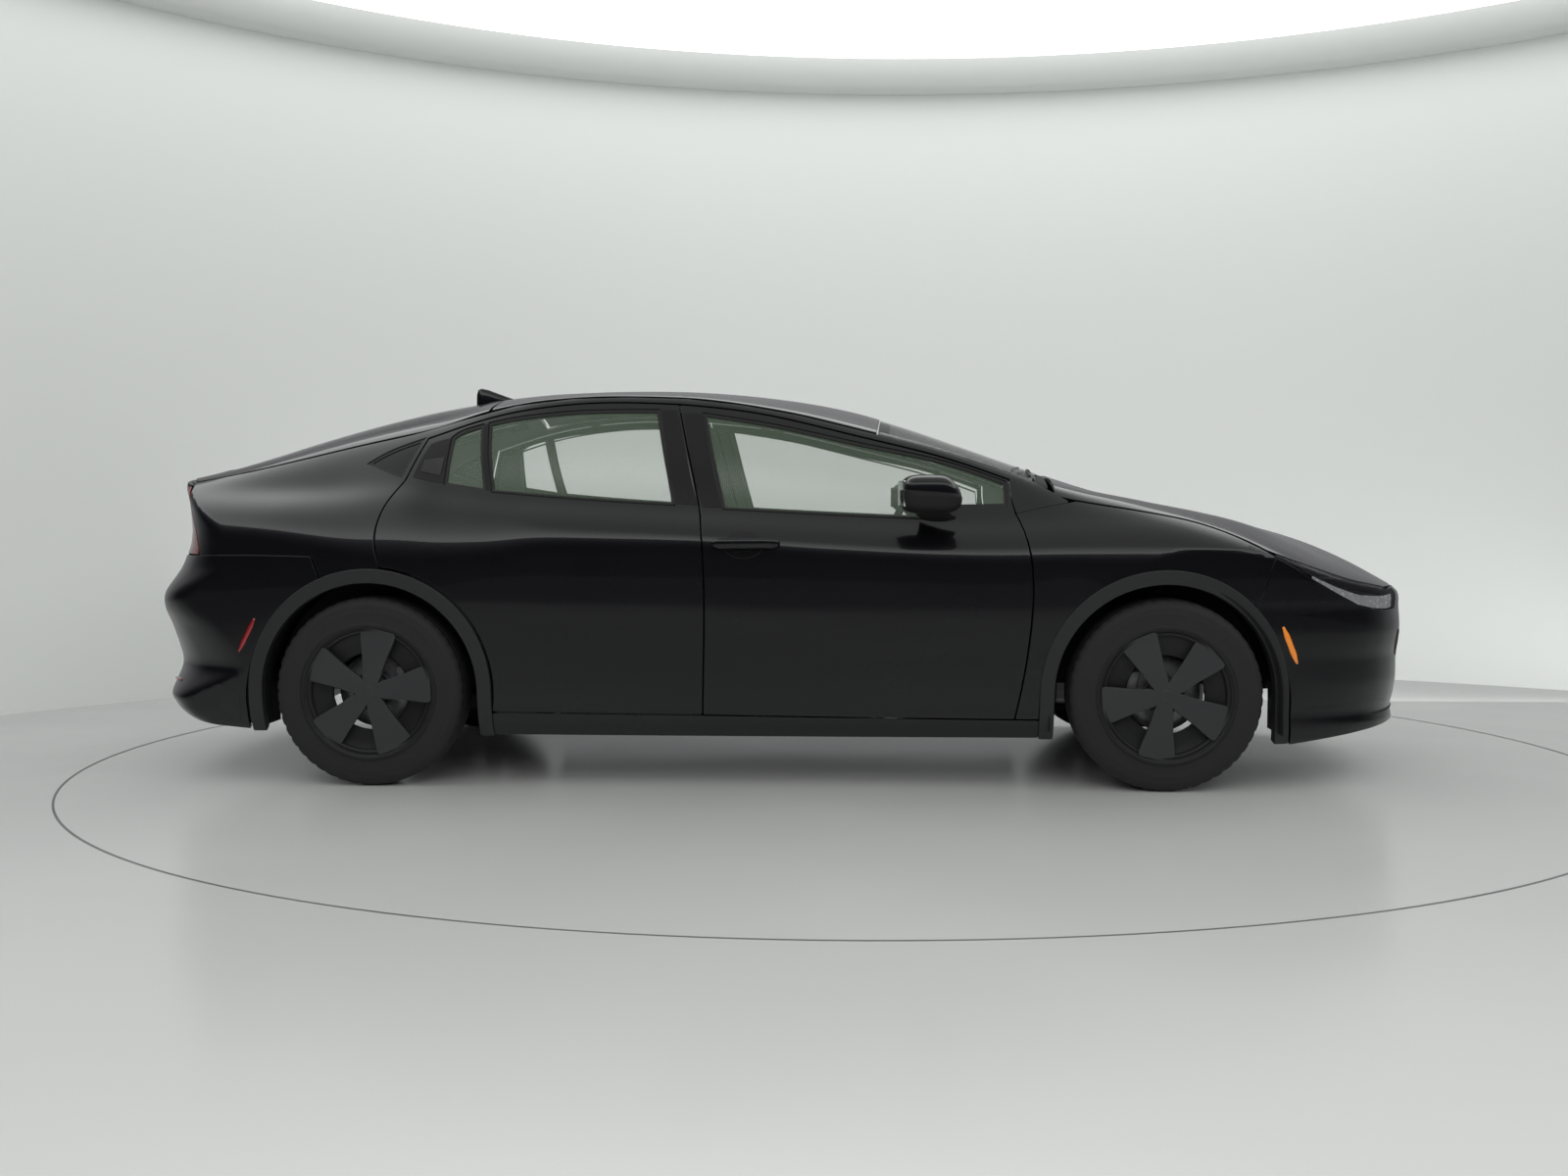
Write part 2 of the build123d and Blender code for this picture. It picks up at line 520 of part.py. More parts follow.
GATE = Outline([(GATE_F, -gs[0][1]), (GATE_F, gs[0][1])], gs, [gs[-1], (-2260, 634), (-2330, 600)], [(-2330, 600), (-2330, -600)],
               sym([gs[-1], (-2260, 634), (-2330, 600)]), sym(gs))
RGLASS = Outline([(-1112, -478), (-1108, 0), (-1112, 478)], [(-1112, 478), (-1400, 470), (-1700, 492), (-2040, 540)],
                 [(-2040, 540), (-2072, 300), (-2080, 0), (-2072, -300), (-2040, -540)], sym([(-1112, 478), (-1400, 470), (-1700, 492), (-2040, 540)]))
# everything in plan that is not body side
INNER = Outline(yi_pts(-2300, -1043, 11, 5.0), yi_pts(-1043, 957, 17, 1.5), [(957, float(YI(957)) + 1.5), (957, 704)],
                [(957, 704), (1100, 709)], [(1100, 709), (1100, 100)], [(1100, 100), (-2300, 100)], [(-2300, 100), (-2300, float(YI(-2300)) + 5)])

# ---------------------------------------------------------------- closures: doors
k = 0.24
RK = 0.27
FD_OFF = [-2.5, -8, -4, -2.5, -1.2]
RD_OFF = [-2.5, -2.5, -3, -3, -2.5, -3.9]
flim = line((-375, 1354), (-160, 1333), (23, 1301), (302, 1233), (580, 1163), (818, 1082), (905, 1045))
Pf = side_grid(-375, 905, 228, flim, 26, 24)
rlim = line((-1400, 1170), (-1266, 1236), (-1034, 1309), (-820, 1347), (-608, 1360), (-351, 1353), (-225, 1340))
Pr = side_grid(-1400, -225, 228, rlim, 26, 24)


def door(P, outline, offs, kk, wins):
    outer = yslab(P, 0, SKIN_T) & door_prism(outline, offs=offs, k1=kk)
    D = door_depth(P)
    Q1, Q2 = P.copy(), P.copy()
    Q1[..., 1] -= SKIN_T - 4
    Q2[..., 1] -= D
    inner = slab(Q1, Q2) & door_prism(outline, off=-27, k1=kk)
    assert inner.volume > 3.0e7
    d = outer + inner
    for w in wins:
        d = d - prism(w, "xz", 300, 1000)
    return biggest(d)


def pane(P, outline, d0=7.0):
    return biggest(yslab(P, d0, d0 + GLASS_T) & prism(outline, "xz", 300, 1000, off=-2.2))


fdoor = firm(lambda: door(Pf, FDOOR, FD_OFF, k, [FWIN]), 4.2e7)
print("front door", fdoor.volume / 1e6)
rdoor = firm(lambda: door(Pr, RDOOR, RD_OFF, RK, [RWIN, RVENT]), 3.2e7)
print("rear door", rdoor.volume / 1e6)
fglass = firm(lambda: pane(Pf, FWIN), 0.6e6)
rglass = firm(lambda: [pane(Pr, RWIN), pane(Pr, RVENT)], 0.6e6)
for n, s in (("front", fdoor), ("rear", rdoor)):
    save(f"door_{n}_left", s)
    save(f"door_{n}_right", mir(s))
save("door_glass_front_left", fglass)
save("door_glass_front_right", mir(fglass))
save("door_glass_rear_left", rglass)
save("door_glass_rear_right", [mir(g) for g in rglass])

# mirror: a hollow-backed shell on a short foot that meets the door at the belt corner
mirror = Pos(535, 925, 1011) * Rot(0, 0, -6) * fillet(Box(182, 200, 130).edges(), 40)
mirror = mirror - (Pos(535, 925, 1011) * Rot(0, 0, -6) * Pos(-110, 0, 0) * Box(60, 164, 94))
foot = Pos(585, 812, 952) * Rot(-14, 0, 0) * fillet(Box(96, 84, 22).edges(), 8)


def cut_foot():
    return biggest((mirror + foot) - yslab(Pf, -3.0, 80.0))


mbody = firm(cut_foot, 1.0e6)
save("mirror_left", mbody)
save("mirror_right", mir(mbody))


# ---------------------------------------------------------------- body panels, each meshed to its own edges
def faceted(P, Q, closed=False):
    """Solid between two matching grids of points, its faces flat triangles; closed joins the last row to the first."""
    nu, nv = P.shape[:2]
    V = [Vector(*map(float, p)) for p in np.concatenate([P.reshape(-1, 3), Q.reshape(-1, 3)])]
    n = nu * nv
    F = []

    def tri(a, b, c):
        if ((V[b] - V[a]).cross(V[c] - V[a])).length > 0.5:
            F.append(Face(Wire.make_polygon([V[a], V[b], V[c]], close=True)))

    for i in range(nu if closed else nu - 1):
        m = (i + 1) % nu
        for j in range(nv - 1):
            a, b, c, d = i * nv + j, m * nv + j, m * nv + j + 1, i * nv + j + 1
            tri(a, b, c)
            tri(a, c, d)
            tri(n + a, n + b, n + c)
            tri(n + a, n + c, n + d)
        for j in (0, nv - 1):
            a, b = i * nv + j, m * nv + j
            tri(a, b, n + b)
            tri(a, n + b, n + a)
    if not closed:
        for i in (0, nu - 1):
            for j in range(nv - 1):
                a, b = i * nv + j, i * nv + j + 1
                tri(a, b, n + b)
                tri(a, n + b, n + a)
    s = outward(F)
    assert s.is_valid and s.volume > 0
    return s


def fn(P, d0, d1, closed=False):
    n = normal(P)
    d0 = np.asarray(d0, float)
    return faceted(P - n * (d0[..., None] if d0.ndim else d0), P - n * d1, closed)


def fy(P, d0, d1):
    A, B = P.copy(), P.copy()
    A[..., 1] -= d0
    B[..., 1] -= d1
    return faceted(A, B)


def fdir(P, d1, N, d0=0.0):
    """Solid between P moved d0 and d1 inwards against the direction field N."""
    return faceted(P - N * d0, P - N * d1)


def y_to_z(P, w):
    """Directions that turn from +Y where w is 0 to +Z where w is 1."""
    w = np.broadcast_to(w, P.shape[:2])[..., None]
    return (1 - w) * np.array([0, 1.0, 0]) + w * np.array([0, 0, 1.0])


def square_ends(N, sides):
    """Direction field of a bumper, turned to the side along its two end edges."""
    N = N.copy()
    for k, t in ((0, 1.0), (1, 0.7), (2, 0.35)):
        for i, y in ((k, sides[0]), (len(N) - 1 - k, sides[1])):
            N[i] = (1 - t) * N[i] + t * np.array([0, y, 0])
    return N


def ruled(c0, c1, nv):
    c0, c1 = np.asarray(c0, float), np.asarray(c1, float)
    v = np.linspace(0, 1, nv)[None, :, None]
    return c0[:, None, :] * (1 - v) + c1[:, None, :] * v


def on_skin(x, y):
    return float(top_pts(np.array([[float(x)]]), np.array([[float(y)]]))[0, 0, 2])


def at_side(x, z):
    return float(side_pts(np.array([[float(x)]]), np.array([[float(z)]]))[0, 0, 1])


dtop = line(*[(x, z) for x, z in FD_TOP + RD_TOP[1:]])
# sill
xr = [-975, -800, -600, -400, -246, 0, 300, 560, 828, 903]
zr = [248.5, 250, 250.5, 250, 247.5, 245, 241.5, 241, 240.5, 240]
G0 = ruled([(x, 172) for x in xr], list(zip(xr, zr)), 4)
rocker = fy(side_pts(G0[..., 0], G0[..., 1]), 0, 26)
save("sill_panels", [rocker, mir(rocker)])

# roof rail over both doors, with the pillar foot ahead of the front door
xs = np.linspace(-1262, 816, 30)
G0 = ruled([(x, float(dtop(x)) + 2.7) for x in xs], [(x, on_skin(x, float(YI(x)) + 1.5)) for x in xs], 4)
Pq = side_pts(G0[..., 0], G0[..., 1])
Qq = Pq.copy()
Qq[..., 1] = Pq[:, -1:, 1] + 1.0
Qq[..., 2] = Pq[:, :1, 2] + 0.4 * (Pq[:, -1:, 2] - Pq[:, :1, 2]) * np.array([0, 1 / 3, 2 / 3, 1.0])
rail = faceted(Pq, Qq)
zt = on_skin(823, float(YI(823)) + 1.5)
G0 = ruled([(843, 958), (832, 1010), (826, 1068), (823, zt)], [(1012, 993), (1015, 995), (1019, 997), (1024, on_skin(1024, 708))], 8)
G0 = np.swapaxes(G0, 0, 1)
for i in range(8):
    x = G0[i, -1, 0]
    yy = float(YI(x)) + 1.5 if x < 950 else (708.0 if x > 965 else 700.0)
    G0[i, -1, 1] = on_skin(x, yy)
    G0[i, 1:-1, 1] = G0[i, 0, 1] + (G0[i, -1, 1] - G0[i, 0, 1]) * np.array([0.4, 0.75])
Pq = side_pts(G0[..., 0], G0[..., 1])
foot_a = fdir(Pq, 22, y_to_z(Pq, np.array([0, 0.1, 0.5, 1.0])[None, :]))
save("roof_rails", [rail, foot_a, mir(rail), mir(foot_a)])

# rear quarter
LQ = [(-1378, 762), (-1391, 843), (-1388, 925), (-1367.5, 997), (-1327.5, 1069), (-1303.5, 1140), (-1271.5, 1222)]
LQ.append((-1266, on_skin(-1266, float(YI(-1266)) + 4)))
RQ = line((760, -2034), (804, -2034), (980, -2050), (1200, -2050))
xb = [-1378, -1412, -1450, -1500, -1550, -1601, -1608, -1680, -1760, -1840, -1920, -1980, -2034]
za = [332 + math.sqrt(430.0**2 - (x + 1412) ** 2) if x > -1602 else 804.0 for x in xb]
xs = np.linspace(-2060, -1240, 40)
qtop = line(*[(float(x), on_skin(x, float(YI(x)) + 4)) for x in xs])
QP = np.zeros((len(xb), len(LQ), 2))
for j, (xl, zl) in enumerate(LQ):
    f = (zl - 762) / (LQ[-1][1] - 762)
    for i, x in enumerate(xb):
        s = (x - xb[0]) / (xb[-1] - xb[0])
        zz = 0.0
        X = xl + s * (float(RQ(804 + f * 300)) - xl)
        QP[i, j] = (X, za[i] + f * (float(qtop(X)) - za[i]))
# finer rows between
fine = []
for j in range(QP.shape[1] - 1):
    for t in (0.0, 0.5):
        fine.append(QP[:, j] * (1 - t) + QP[:, j + 1] * t)
fine.append(QP[:, -1])
QP = np.stack(fine, 1)
Pq = side_pts(QP[..., 0], QP[..., 1])
nq = Pq.shape[1]
wq = np.clip((np.arange(nq) - (nq - 5)) / 4.0, 0, 1)[None, :]
Nq = y_to_z(Pq, wq)
for k, t in ((-1, 1.0), (-2, 0.5)):
    low = (1 - wq[0])[:, None]
    Nq[k] = (1 - t * low) * Nq[k] + t * low * normal(Pq[k])
quarter = fdir(Pq, 22, Nq)
quarter = biggest(quarter - prism(QWIN, "xz", 300, 1000))
assert quarter.is_valid
save("rear_quarter_panels", [quarter, mir(quarter)])
G0 = ruled([(-1342, 1083), (-1400, 1106), (-1466, 1131)], [(-1288, 1216), (-1330, 1200), (-1462, 1137)], 4)
qglass = fy(side_pts(G0[..., 0], G0[..., 1]), 6, 10)
save("quarter_windows", [qglass, mir(qglass)])
print("sides done")

# front fenders
c0 = [(907, 245), (908, 290), (910, 332)] + arc(FRONT_AXLE, 332, 430, 172, 46, 18)
c1 = [(842, 245), (853, 320), (868, 400), (882, 480), (892, 560), (898, 640), (898.5, 720), (892, 800), (878, 860), (864, 910), (856, 955),
      (935, 973), (1012, 988)]
tops = [1040, 1130, 1220, 1310, 1400, 1490, 1580, 1645]
c1 += [(x, on_skin(x, float(YH(x)) + 3.0)) for x in tops]
c0, c1 = c0[:21], c1[:21]
c1[-1] = (1645, on_skin(1645, float(YH(1645)) + 3.0))
c0.append((1663, 664))
c1.append((1709, 806))
c0[-2] = arc(FRONT_AXLE, 332, 430, 46, 46, 1)[0]
G0 = ruled(c0, c1, 7)
Pq = side_pts(G0[..., 0], G0[..., 1])
wq = np.zeros(Pq.shape[:2])
wq[13:, 4:] = np.array([0.2, 0.6, 1.0])[None, :]
fen = fdir(Pq, 16, y_to_z(Pq, wq))
save("front_fenders", [fen, mir(fen)])


# ---------------------------------------------------------------- roof, glass, hood, tailgate
def plan_grid(x0, x1, half, nx, ny, z0=500.0):
    u = np.linspace(0, 1, nx)[:, None] * np.ones((1, ny))
    v = np.linspace(-1, 1, ny)[None, :] * np.ones((nx, 1))
    X = x0 + (x1 - x0) * u
    return top_pts(X, half(X) * v, z0)


Pz = plan_grid(ROOF_F + 30, ROOF_R - 20, lambda x: YI(x) + 14, 20, 19)
roof = firm(lambda: biggest(nslab(Pz, 0, 22) & prism(ROOF, "xy", 900, 1600, offs=[-2.5, -2.5, 0, -2.5])), 2.2e7)
save("roof_panel", roof)
Pw = plan_grid(985, ROOF_F - 30, lambda x: YI(x) + 14, 18, 19)
shield = firm(lambda: biggest(nslab(Pw, 3, 8) & prism(WSHIELD, "xy", 900, 1600, off=-3.0)), 2.0e6)
save("windshield", shield)

EDGE_Y = [0, 180, 340, 480, 586, 676, 742, 786, 796]
EDGE_X = [2256, 2250, 2232, 2200, 2147, 2030, 1896, 1765, 1700]
edge_x = line(*zip(EDGE_Y, EDGE_X))
ss = np.array([-1, -0.99, -0.965, -0.93, -0.87, -0.8, -0.72, -0.6, -0.45, -0.3, -0.15])
ss = np.r_[ss, 0, -ss[::-1]]
tt = np.r_[0, 0.04, np.linspace(0.1, 1, 14)]
HX, HY = np.zeros((len(tt), len(ss))), np.zeros((len(tt), len(ss)))
for i, t in enumerate(tt):
    for j, q in enumerate(ss):
        yh = float(YH(984 + t * (1697 - 984))) - 2.5
        xf = float(edge_x(min(abs(q) * 793.5 + 2.5, 796))) - 2.5
        HX[i, j] = 984 + t * (xf - 984)
        HY[i, j] = q * yh
Ph = top_pts(HX, HY, 450)
hood = fn(Ph, 0, 20)
save("hood", hood)

gate_r = line((0, -2196), (300, -2184), (500, -2156), (600, -2128), (640, -2104))
ho = [(GATE_F, y) for y in (-549, -300, -100, 100, 300)]
ho += [(x, float(YI(x)) - 2.5) for x in (-1051, -1200, -1400, -1600, -1800, -1960, -2070)]
ho += [(float(gate_r(620)), 603.0 + 0)]
ho += [(float(gate_r(abs(y))), y) for y in (500, 300, 100, -100, -300, -500)]
ho += [(float(gate_r(620)), -603.0)]
ho += [(x, -float(YI(x)) + 2.5) for x in (-2070, -1960, -1800, -1600, -1400, -1200)]
hi = [(-1112, -478), (-1110, -280), (-1108, -95), (-1108, 95), (-1110, 280)]
hi += [(-1112, 478), (-1230, 472), (-1400, 470), (-1600, 480), (-1800, 505), (-1930, 524), (-2020, 538)]
hi += [(-2040, 540)]
hi += [(-2054, 470), (-2070, 290), (-2079, 95), (-2079, -95), (-2070, -290), (-2054, -470)]
hi += [(-2040, -540)]
hi += [(-2020, -538), (-1930, -524), (-1800, -505), (-1600, -480), (-1400, -470), (-1230, -472)]
ho = np.array(ho)
ho[:, 0] = np.minimum(ho[:, 0], GATE_F - 1)
G0 = ruled(ho, hi, 4)
Pgf = top_pts(G0[..., 0], G0[..., 1])
dg = np.interp(Pgf[..., 0], [-2150, -2060], [20.0, 34.0])
Ng = normal(Pgf)
tg = faceted(Pgf, Pgf - Ng * dg[..., None], True)
save("tailgate", tg)
GL = plan_grid(-1114.5, -2040, lambda x: line((-2040, 532), (-1800, 502), (-1600, 478), (-1400, 467.5), (-1114, 475))(x), 16, 15)
sg = np.linspace(-1, 1, 15)
xrear = line((0, -2076.5), (290, -2067.5), (470, -2051), (532, -2038))
u = np.linspace(0, 1, 16)[:, None]
XX = -1114.5 + (xrear(np.abs(sg) * 532)[None, :] + 1114.5) * u
HH = line((-2080, 534), (-2040, 532), (-1800, 502), (-1600, 478), (-1400, 467.5), (-1114, 475))(XX)
rwin = fn(top_pts(XX, HH * sg[None, :]), 5, 9.5)
save("rear_window", rwin)


# lower tailgate: cast rearwards
def back_pts(Y, Z, x0=-1700.0):
    o = np.stack([np.full_like(Y, x0), Y, Z], -1)
    return cast(o, np.array([-1.0, 0.0, 0.0]), 900)


HZ = line((725, 468), (745, 515), (790, 556), (870, 600), (950, 622), (1060, 622))
zz = np.array([730, 745, 770, 800, 840, 880, 926, 928, 958, 990, 992, 1016, 1040])
dd = np.array([0, 0, 0, 0, 0, 0, 0, 24, 24, 24, 0, 0, 0.0])
sy = np.linspace(-1, 1, 19)[:, None]
YY = sy * HZ(zz)[None, :]
Pt = back_pts(YY, np.ones_like(sy) * zz[None, :])
Nt = np.broadcast_to(np.array([-1.0, 0, 0]), Pt.shape)
tp = faceted(Pt - Nt * (np.ones_like(sy) * dd[None, :])[..., None], Pt - Nt * 44.0)
save("tailgate_panel", tp)
zb = np.linspace(931, 987, 4)
Pb = back_pts(sy * (HZ(zb)[None, :] - 1), np.ones_like(sy) * zb[None, :])
bar = fdir(Pb, 20, np.broadcast_to(np.array([-1.0, 0, 0]), Pb.shape))
save("tail_lamp_bar", bar)
print("top done")


# ---------------------------------------------------------------- bumpers and lamps: cast from a post inside each end
XC_F, XC_R = 1480.0, -1500.0
lamp_lo = [(1716, 806), (1790, 766), (1861, 722), (1950, 673), (2033, 632), (2100, 620), (2150, 617), (2200, 618)]


def plan_at(xc, ang, z):
    p = radial_pts(xc, np.array([[float(ang)]]), np.array([[float(z)]]))[0, 0]
    return p


def hood_edge(ang):
    """Height of the skin at the hood's edge along a level ray."""
    best, zz_ = 1e9, 0
    for y in np.linspace(0, 796, 160):
        x = float(edge_x(y))
        d = abs(math.degrees(math.atan2(y, x - XC_F)) - ang)
        if d < best:
            best, zz_, p = d, on_skin(x + 3, y + 1.5 * (y > 700)), (x, y)
    return zz_


A_IN = 36.5
la = [math.degrees(math.atan2(at_side(x, z), x - XC_F)) for x, z in lamp_lo]
lampz = line(*sorted(zip(la, [z for _, z in lamp_lo])))
a_tip = max(la)
angs_c = [0, 8, 16, 24, 30, 36]
hz = {a: hood_edge(a) for a in angs_c + [37, 42, 48, 54, 60, 65, 69, 72, 74]}
print("hood edge heights", {a: round(z) for a, z in hz.items()}, "lamp", [(round(a, 1), round(float(lampz(a)))) for a in (37, 45, 55, 65, a_tip)])
fb_b = [(1774, 152), (1774, 240), (1774, 332)] + arc(FRONT_AXLE, 332, 434, 11, 43, 4) + [(1691, 722), (1719, 799)]
ab = [math.degrees(math.atan2(at_side(x, z), x - XC_F)) for x, z in fb_b]
zbd = [z for _, z in fb_b]
# rows follow height; the last angle station is the edge itself
base = np.array([0, 8, 16, 24, 30, 35.6, 37.2, 42, 48, 54, 60])
NV = 10
PA = np.zeros((2 * (len(base) + 4) - 1, NV))
PZ = np.zeros_like(PA)
st = [(float(a), float(np.interp(a, [0, 25, 60], [196.0, 190.0, 164.0])), (hz[min(angs_c, key=lambda q: abs(q - a))] - 7 if a < 36 else float(lampz(a)) - 5)) for a in base]
half_a, half_z = [], []
for a, z0_, z1_ in st:
    half_a.append([a] * NV)
    half_z.append(list(np.linspace(z0_, z1_, NV)))
eb_z = np.interp(np.linspace(0, 1, NV), np.linspace(0, 1, len(zbd)), zbd)
eb_a = np.interp(np.linspace(0, 1, NV), np.linspace(0, 1, len(zbd)), ab)
for t in (0.3, 0.6, 0.85, 1.0):
    za_ = np.array(half_z[len(base) - 1])
    a_ = 60 + t * (eb_a - 60)
    top = float(lampz(min(a_[-1], a_tip))) - 5
    z_ = za_ * (1 - t) + eb_z * t
    z_[-1] = min(z_[-1], top) if t < 1 else eb_z[-1]
    half_a.append(list(a_))
    half_z.append(list(z_))
half_a, half_z = np.array(half_a), np.array(half_z)
PA = np.concatenate([-half_a[:0:-1], half_a])
PZ = np.concatenate([half_z[:0:-1], half_z])
Pn = radial_pts(XC_F, PA, PZ)
fb = fdir(Pn, 24, square_ends(normal(Pn), (-1, 1)))
GRILLE = Outline([(-400, 205), (400, 205)], [(400, 205), (420, 300), (380, 436)], [(380, 436), (-380, 436)], [(-380, 436), (-420, 300), (-400, 205)])
fb = biggest(fb - prism(GRILLE, "yz", 1950, 2500))
assert fb.is_valid
save("front_bumper", fb)
al = np.array([37.4, 42, 48, 54, 60, 65, 69, a_tip - 0.8])
zl0 = np.array([float(lampz(a)) + 1 for a in al])
zl1 = np.array([(hz[37] if a < 38 else float(np.interp(a, sorted(hz), [hz[q] for q in sorted(hz)]))) - 6 for a in al])
zl1 = np.maximum(zl1, zl0 + 6)
v = np.linspace(0, 1, 6)[None, :]
Pl = radial_pts(XC_F, al[:, None] * np.ones((1, 6)), zl0[:, None] * (1 - v) + zl1[:, None] * v)
lamp = faceted(Pl, Pl - normal(Pl) * np.array([22, 22, 22, 22, 20, 14, 8, 8.0])[:, None, None])
save("headlamps", [lamp, mir(lamp)])
ag = np.linspace(-28, 28, 13)[:, None] * np.ones((1, 5))
zg = np.linspace(212, 430, 5)[None, :] * np.ones((13, 1))
gr = fn(radial_pts(XC_F, ag, zg), 34, 46)
save("front_grille", gr)

rb_b = [(-1843, 188), (-1843, 260), (-1843, 332)] + [(x - 2, z) for x, z in arc(REAR_AXLE, 332, 431, 168, 117, 5)] + [(-1609, 799)]
ab = np.array([math.degrees(math.atan2(at_side(x, z), x - XC_R)) for x, z in rb_b])
zbd = np.array([z for _, z in rb_b])
eb_z = np.interp(np.linspace(0, 1, NV), np.linspace(0, 1, len(zbd)), zbd)
eb_a = np.interp(np.linspace(0, 1, NV), np.linspace(0, 1, len(zbd)), ab)
base = np.array([180, 172, 164, 156, 150.5, 148, 146, 144, 141, 136, 131, 127, 123])
half_a, half_z = [], []
zl_ = np.linspace(730, 868, 70)
for a in base:
    p = plan_at(XC_R, a, 760)
    y = abs(p[1])
    zt_ = min(799.0, float(np.interp(y - 9, HZ(zl_), zl_)) - 6)
    half_a.append([a] * NV)
    half_z.append(list(np.linspace(190, zt_, NV)))
for t in (0.3, 0.65, 1.0):
    a_ = 123 + t * (eb_a - 123)
    half_a.append(list(a_))
    half_z.append(list(np.array(half_z[len(base) - 1]) * (1 - t) + eb_z * t))
half_a, half_z = np.array(half_a), np.array(half_z)
PA = np.concatenate([(360 - half_a)[:0:-1], half_a])
PZ = np.concatenate([half_z[:0:-1], half_z])
Pn = radial_pts(XC_R, PA, PZ)
rb = fdir(Pn, 24, square_ends(normal(Pn), (1 if Pn[0, 0, 1] > 0 else -1, 1 if Pn[-1, 0, 1] > 0 else -1)))
save("rear_bumper", rb)
zc_ = np.linspace(804, 1050, 9)
a0 = [math.degrees(math.atan2(at_side(float(RQ(z)) - 5, z), float(RQ(z)) - 5 - XC_R)) for z in zc_]
a1 = []
for z in zc_:
    y = float(HZ(z)) + 8 if z > 870 else 600 + 8 - (870 - z) * 0.4
    p = back_pts(np.array([[y]]), np.array([[z]]))[0, 0]
    a1.append(math.degrees(math.atan2(y, p[0] - XC_R)))
w_ = np.linspace(0, 1, 6)[:, None]
Pc = radial_pts(XC_R, np.array(a0)[None, :] * (1 - w_) + np.array(a1)[None, :] * w_, np.ones((6, 1)) * zc_[None, :])
Nc = normal(Pc)
for k, t in ((-1, 1.0), (-2, 0.5)):
    Nc[k] = (1 - t) * Nc[k] + t * np.array([-1.0, 0, 0])
cl = fdir(Pc, 22, Nc)
save("tail_lamps", [cl, mir(cl)])
print("ends done")


def arch_trim(cx, zf, zr):
    """Moulding round one wheel opening, proud of the skin, with a leg down each side."""
    o = [(cx + TRIM_RO, zf), (cx + TRIM_RO, 245)] + arc(cx, 332, TRIM_RO, 0, 180, 25) + [(cx - TRIM_RO, 245), (cx - TRIM_RO, zr)]
    i = [(cx + TRIM_RI, zf), (cx + TRIM_RI, 245)] + arc(cx, 332, TRIM_RI, 0, 180, 25) + [(cx - TRIM_RI, 245), (cx - TRIM_RI, zr)]
    G1 = ruled(i, o, 3)
    return fy(side_pts(G1[..., 0], G1[..., 1]), -7.0, 20)


ta = arch_trim(FRONT_AXLE, 158, 172)
tb = arch_trim(REAR_AXLE, 172, 186)
save("wheel_arch_trims", [ta, tb, mir(ta), mir(tb)])
print("skin done")

# ---------------------------------------------------------------- body frame behind the skin
shut = line((240, -246), (420, -242), (611, -239), (767, -242), (920, -255), (1010, -274), (1170, -312), (1330, -348))
zz = np.array([240, 420, 611, 767, 900, 950, 1010, 1170, 1312.0])
cx_ = shut(zz)
yo = np.array([796, 800, 800, 800, 760, 712] + [at_side(float(shut(z)), z) - 46 for z in (1010, 1170, 1312)])
yin = yo - np.array([90, 90, 90, 90, 70, 55, 45, 42, 40])
P = np.stack([np.stack([cx_ - 13, yo, zz], -1), np.stack([cx_ + 13, yo, zz], -1)], 0)
Q = P.copy()
Q[..., 1] = yin[None, :]
bpillar = faceted(P, Q)
sill_box = box(-960, 935, 650, 776, 178, 238)
hinge_pillar = box(886, 934, 700, 785, 240, 850)
frame = [bpillar, sill_box, hinge_pillar]
save("body_frame", frame + [mir(f) for f in frame])

# floor, firewall, wheel houses and boot floor as one shell
WH_F, WH_R = 404.0, 404.0


def tub(cx, r, y0, y1, t=3.0):
    """Wheel house: half drum open downwards and outwards with a closed inner wall."""
    o = ycyl(cx, 332, r + t, y0 - t, y1) - ycyl(cx, 332, r, y0, y1 + 50)
    return o & box(cx - 600, cx + 600, 0, 1000, 332, 1000)


floor = box(-1000, 935, -646, 646, 168, 180)
tunnel = box(-990, 930, -110, 110, 180, 260) - box(-1000, 940, -98, 98, 160, 248)
fire = box(935, 947, -700, 700, 168, 930)
heel = box(-1000, -988, -646, 646, 180, 352)
rfloor = box(-1262, -988, -640, 640, 340, 352)
shelf0 = box(-1262, -1250, -640, 640, 352, 520)
boot = box(-2080, -1250, -500, 500, 508, 520)
pan = fuse(floor - box(-1001, 947, -98, 98, 160, 200), tunnel, fire, heel, rfloor, shelf0, boot)
for lo, hi in ((500, 660), (-660, -500)):
    pan = pan + box(-2060, -1835, lo, hi, 508, 520)
for lo, hi in ((495, 642), (-642, -495)):
    pan = pan + box(-1835, -1250, lo, hi, 508, 520)
# rails rearward to the bumper
for y in (440, -440):
    pan = pan + box(-2140, -1250, y - 26, y + 26, 440, 508)
pan = pan + box(-2160, -2140, -470, 470, 430, 520)
pan = pan + box(-2090, -2078, -560, 560, 508, 700)
drum = ycyl(REAR_AXLE, 332, 405, 637, 820)
pan = pan - drum - mir(drum)
tf = biggest(tub(FRONT_AXLE, 402, 466, 700) - fire)
tr = tub(REAR_AXLE, 402, 640, 800)
save("front_wheel_houses", [tf, mir(tf)])
save("rear_wheel_houses", [tr, mir(tr)])
# rails forward of the firewall that carry engine and front end
rails = box(2100, 2124, -560, 560, 430, 530) + box(1980, 2020, -463, 463, 560, 640)
for lo, hi in ((414, 463), (-463, -414)):
    rails = rails + box(947, 2120, lo, hi, 440, 520) + box(1980, 2020, lo, hi, 520, 600)
save("front_rails", biggest(rails))
save("floor_pan", biggest(pan))

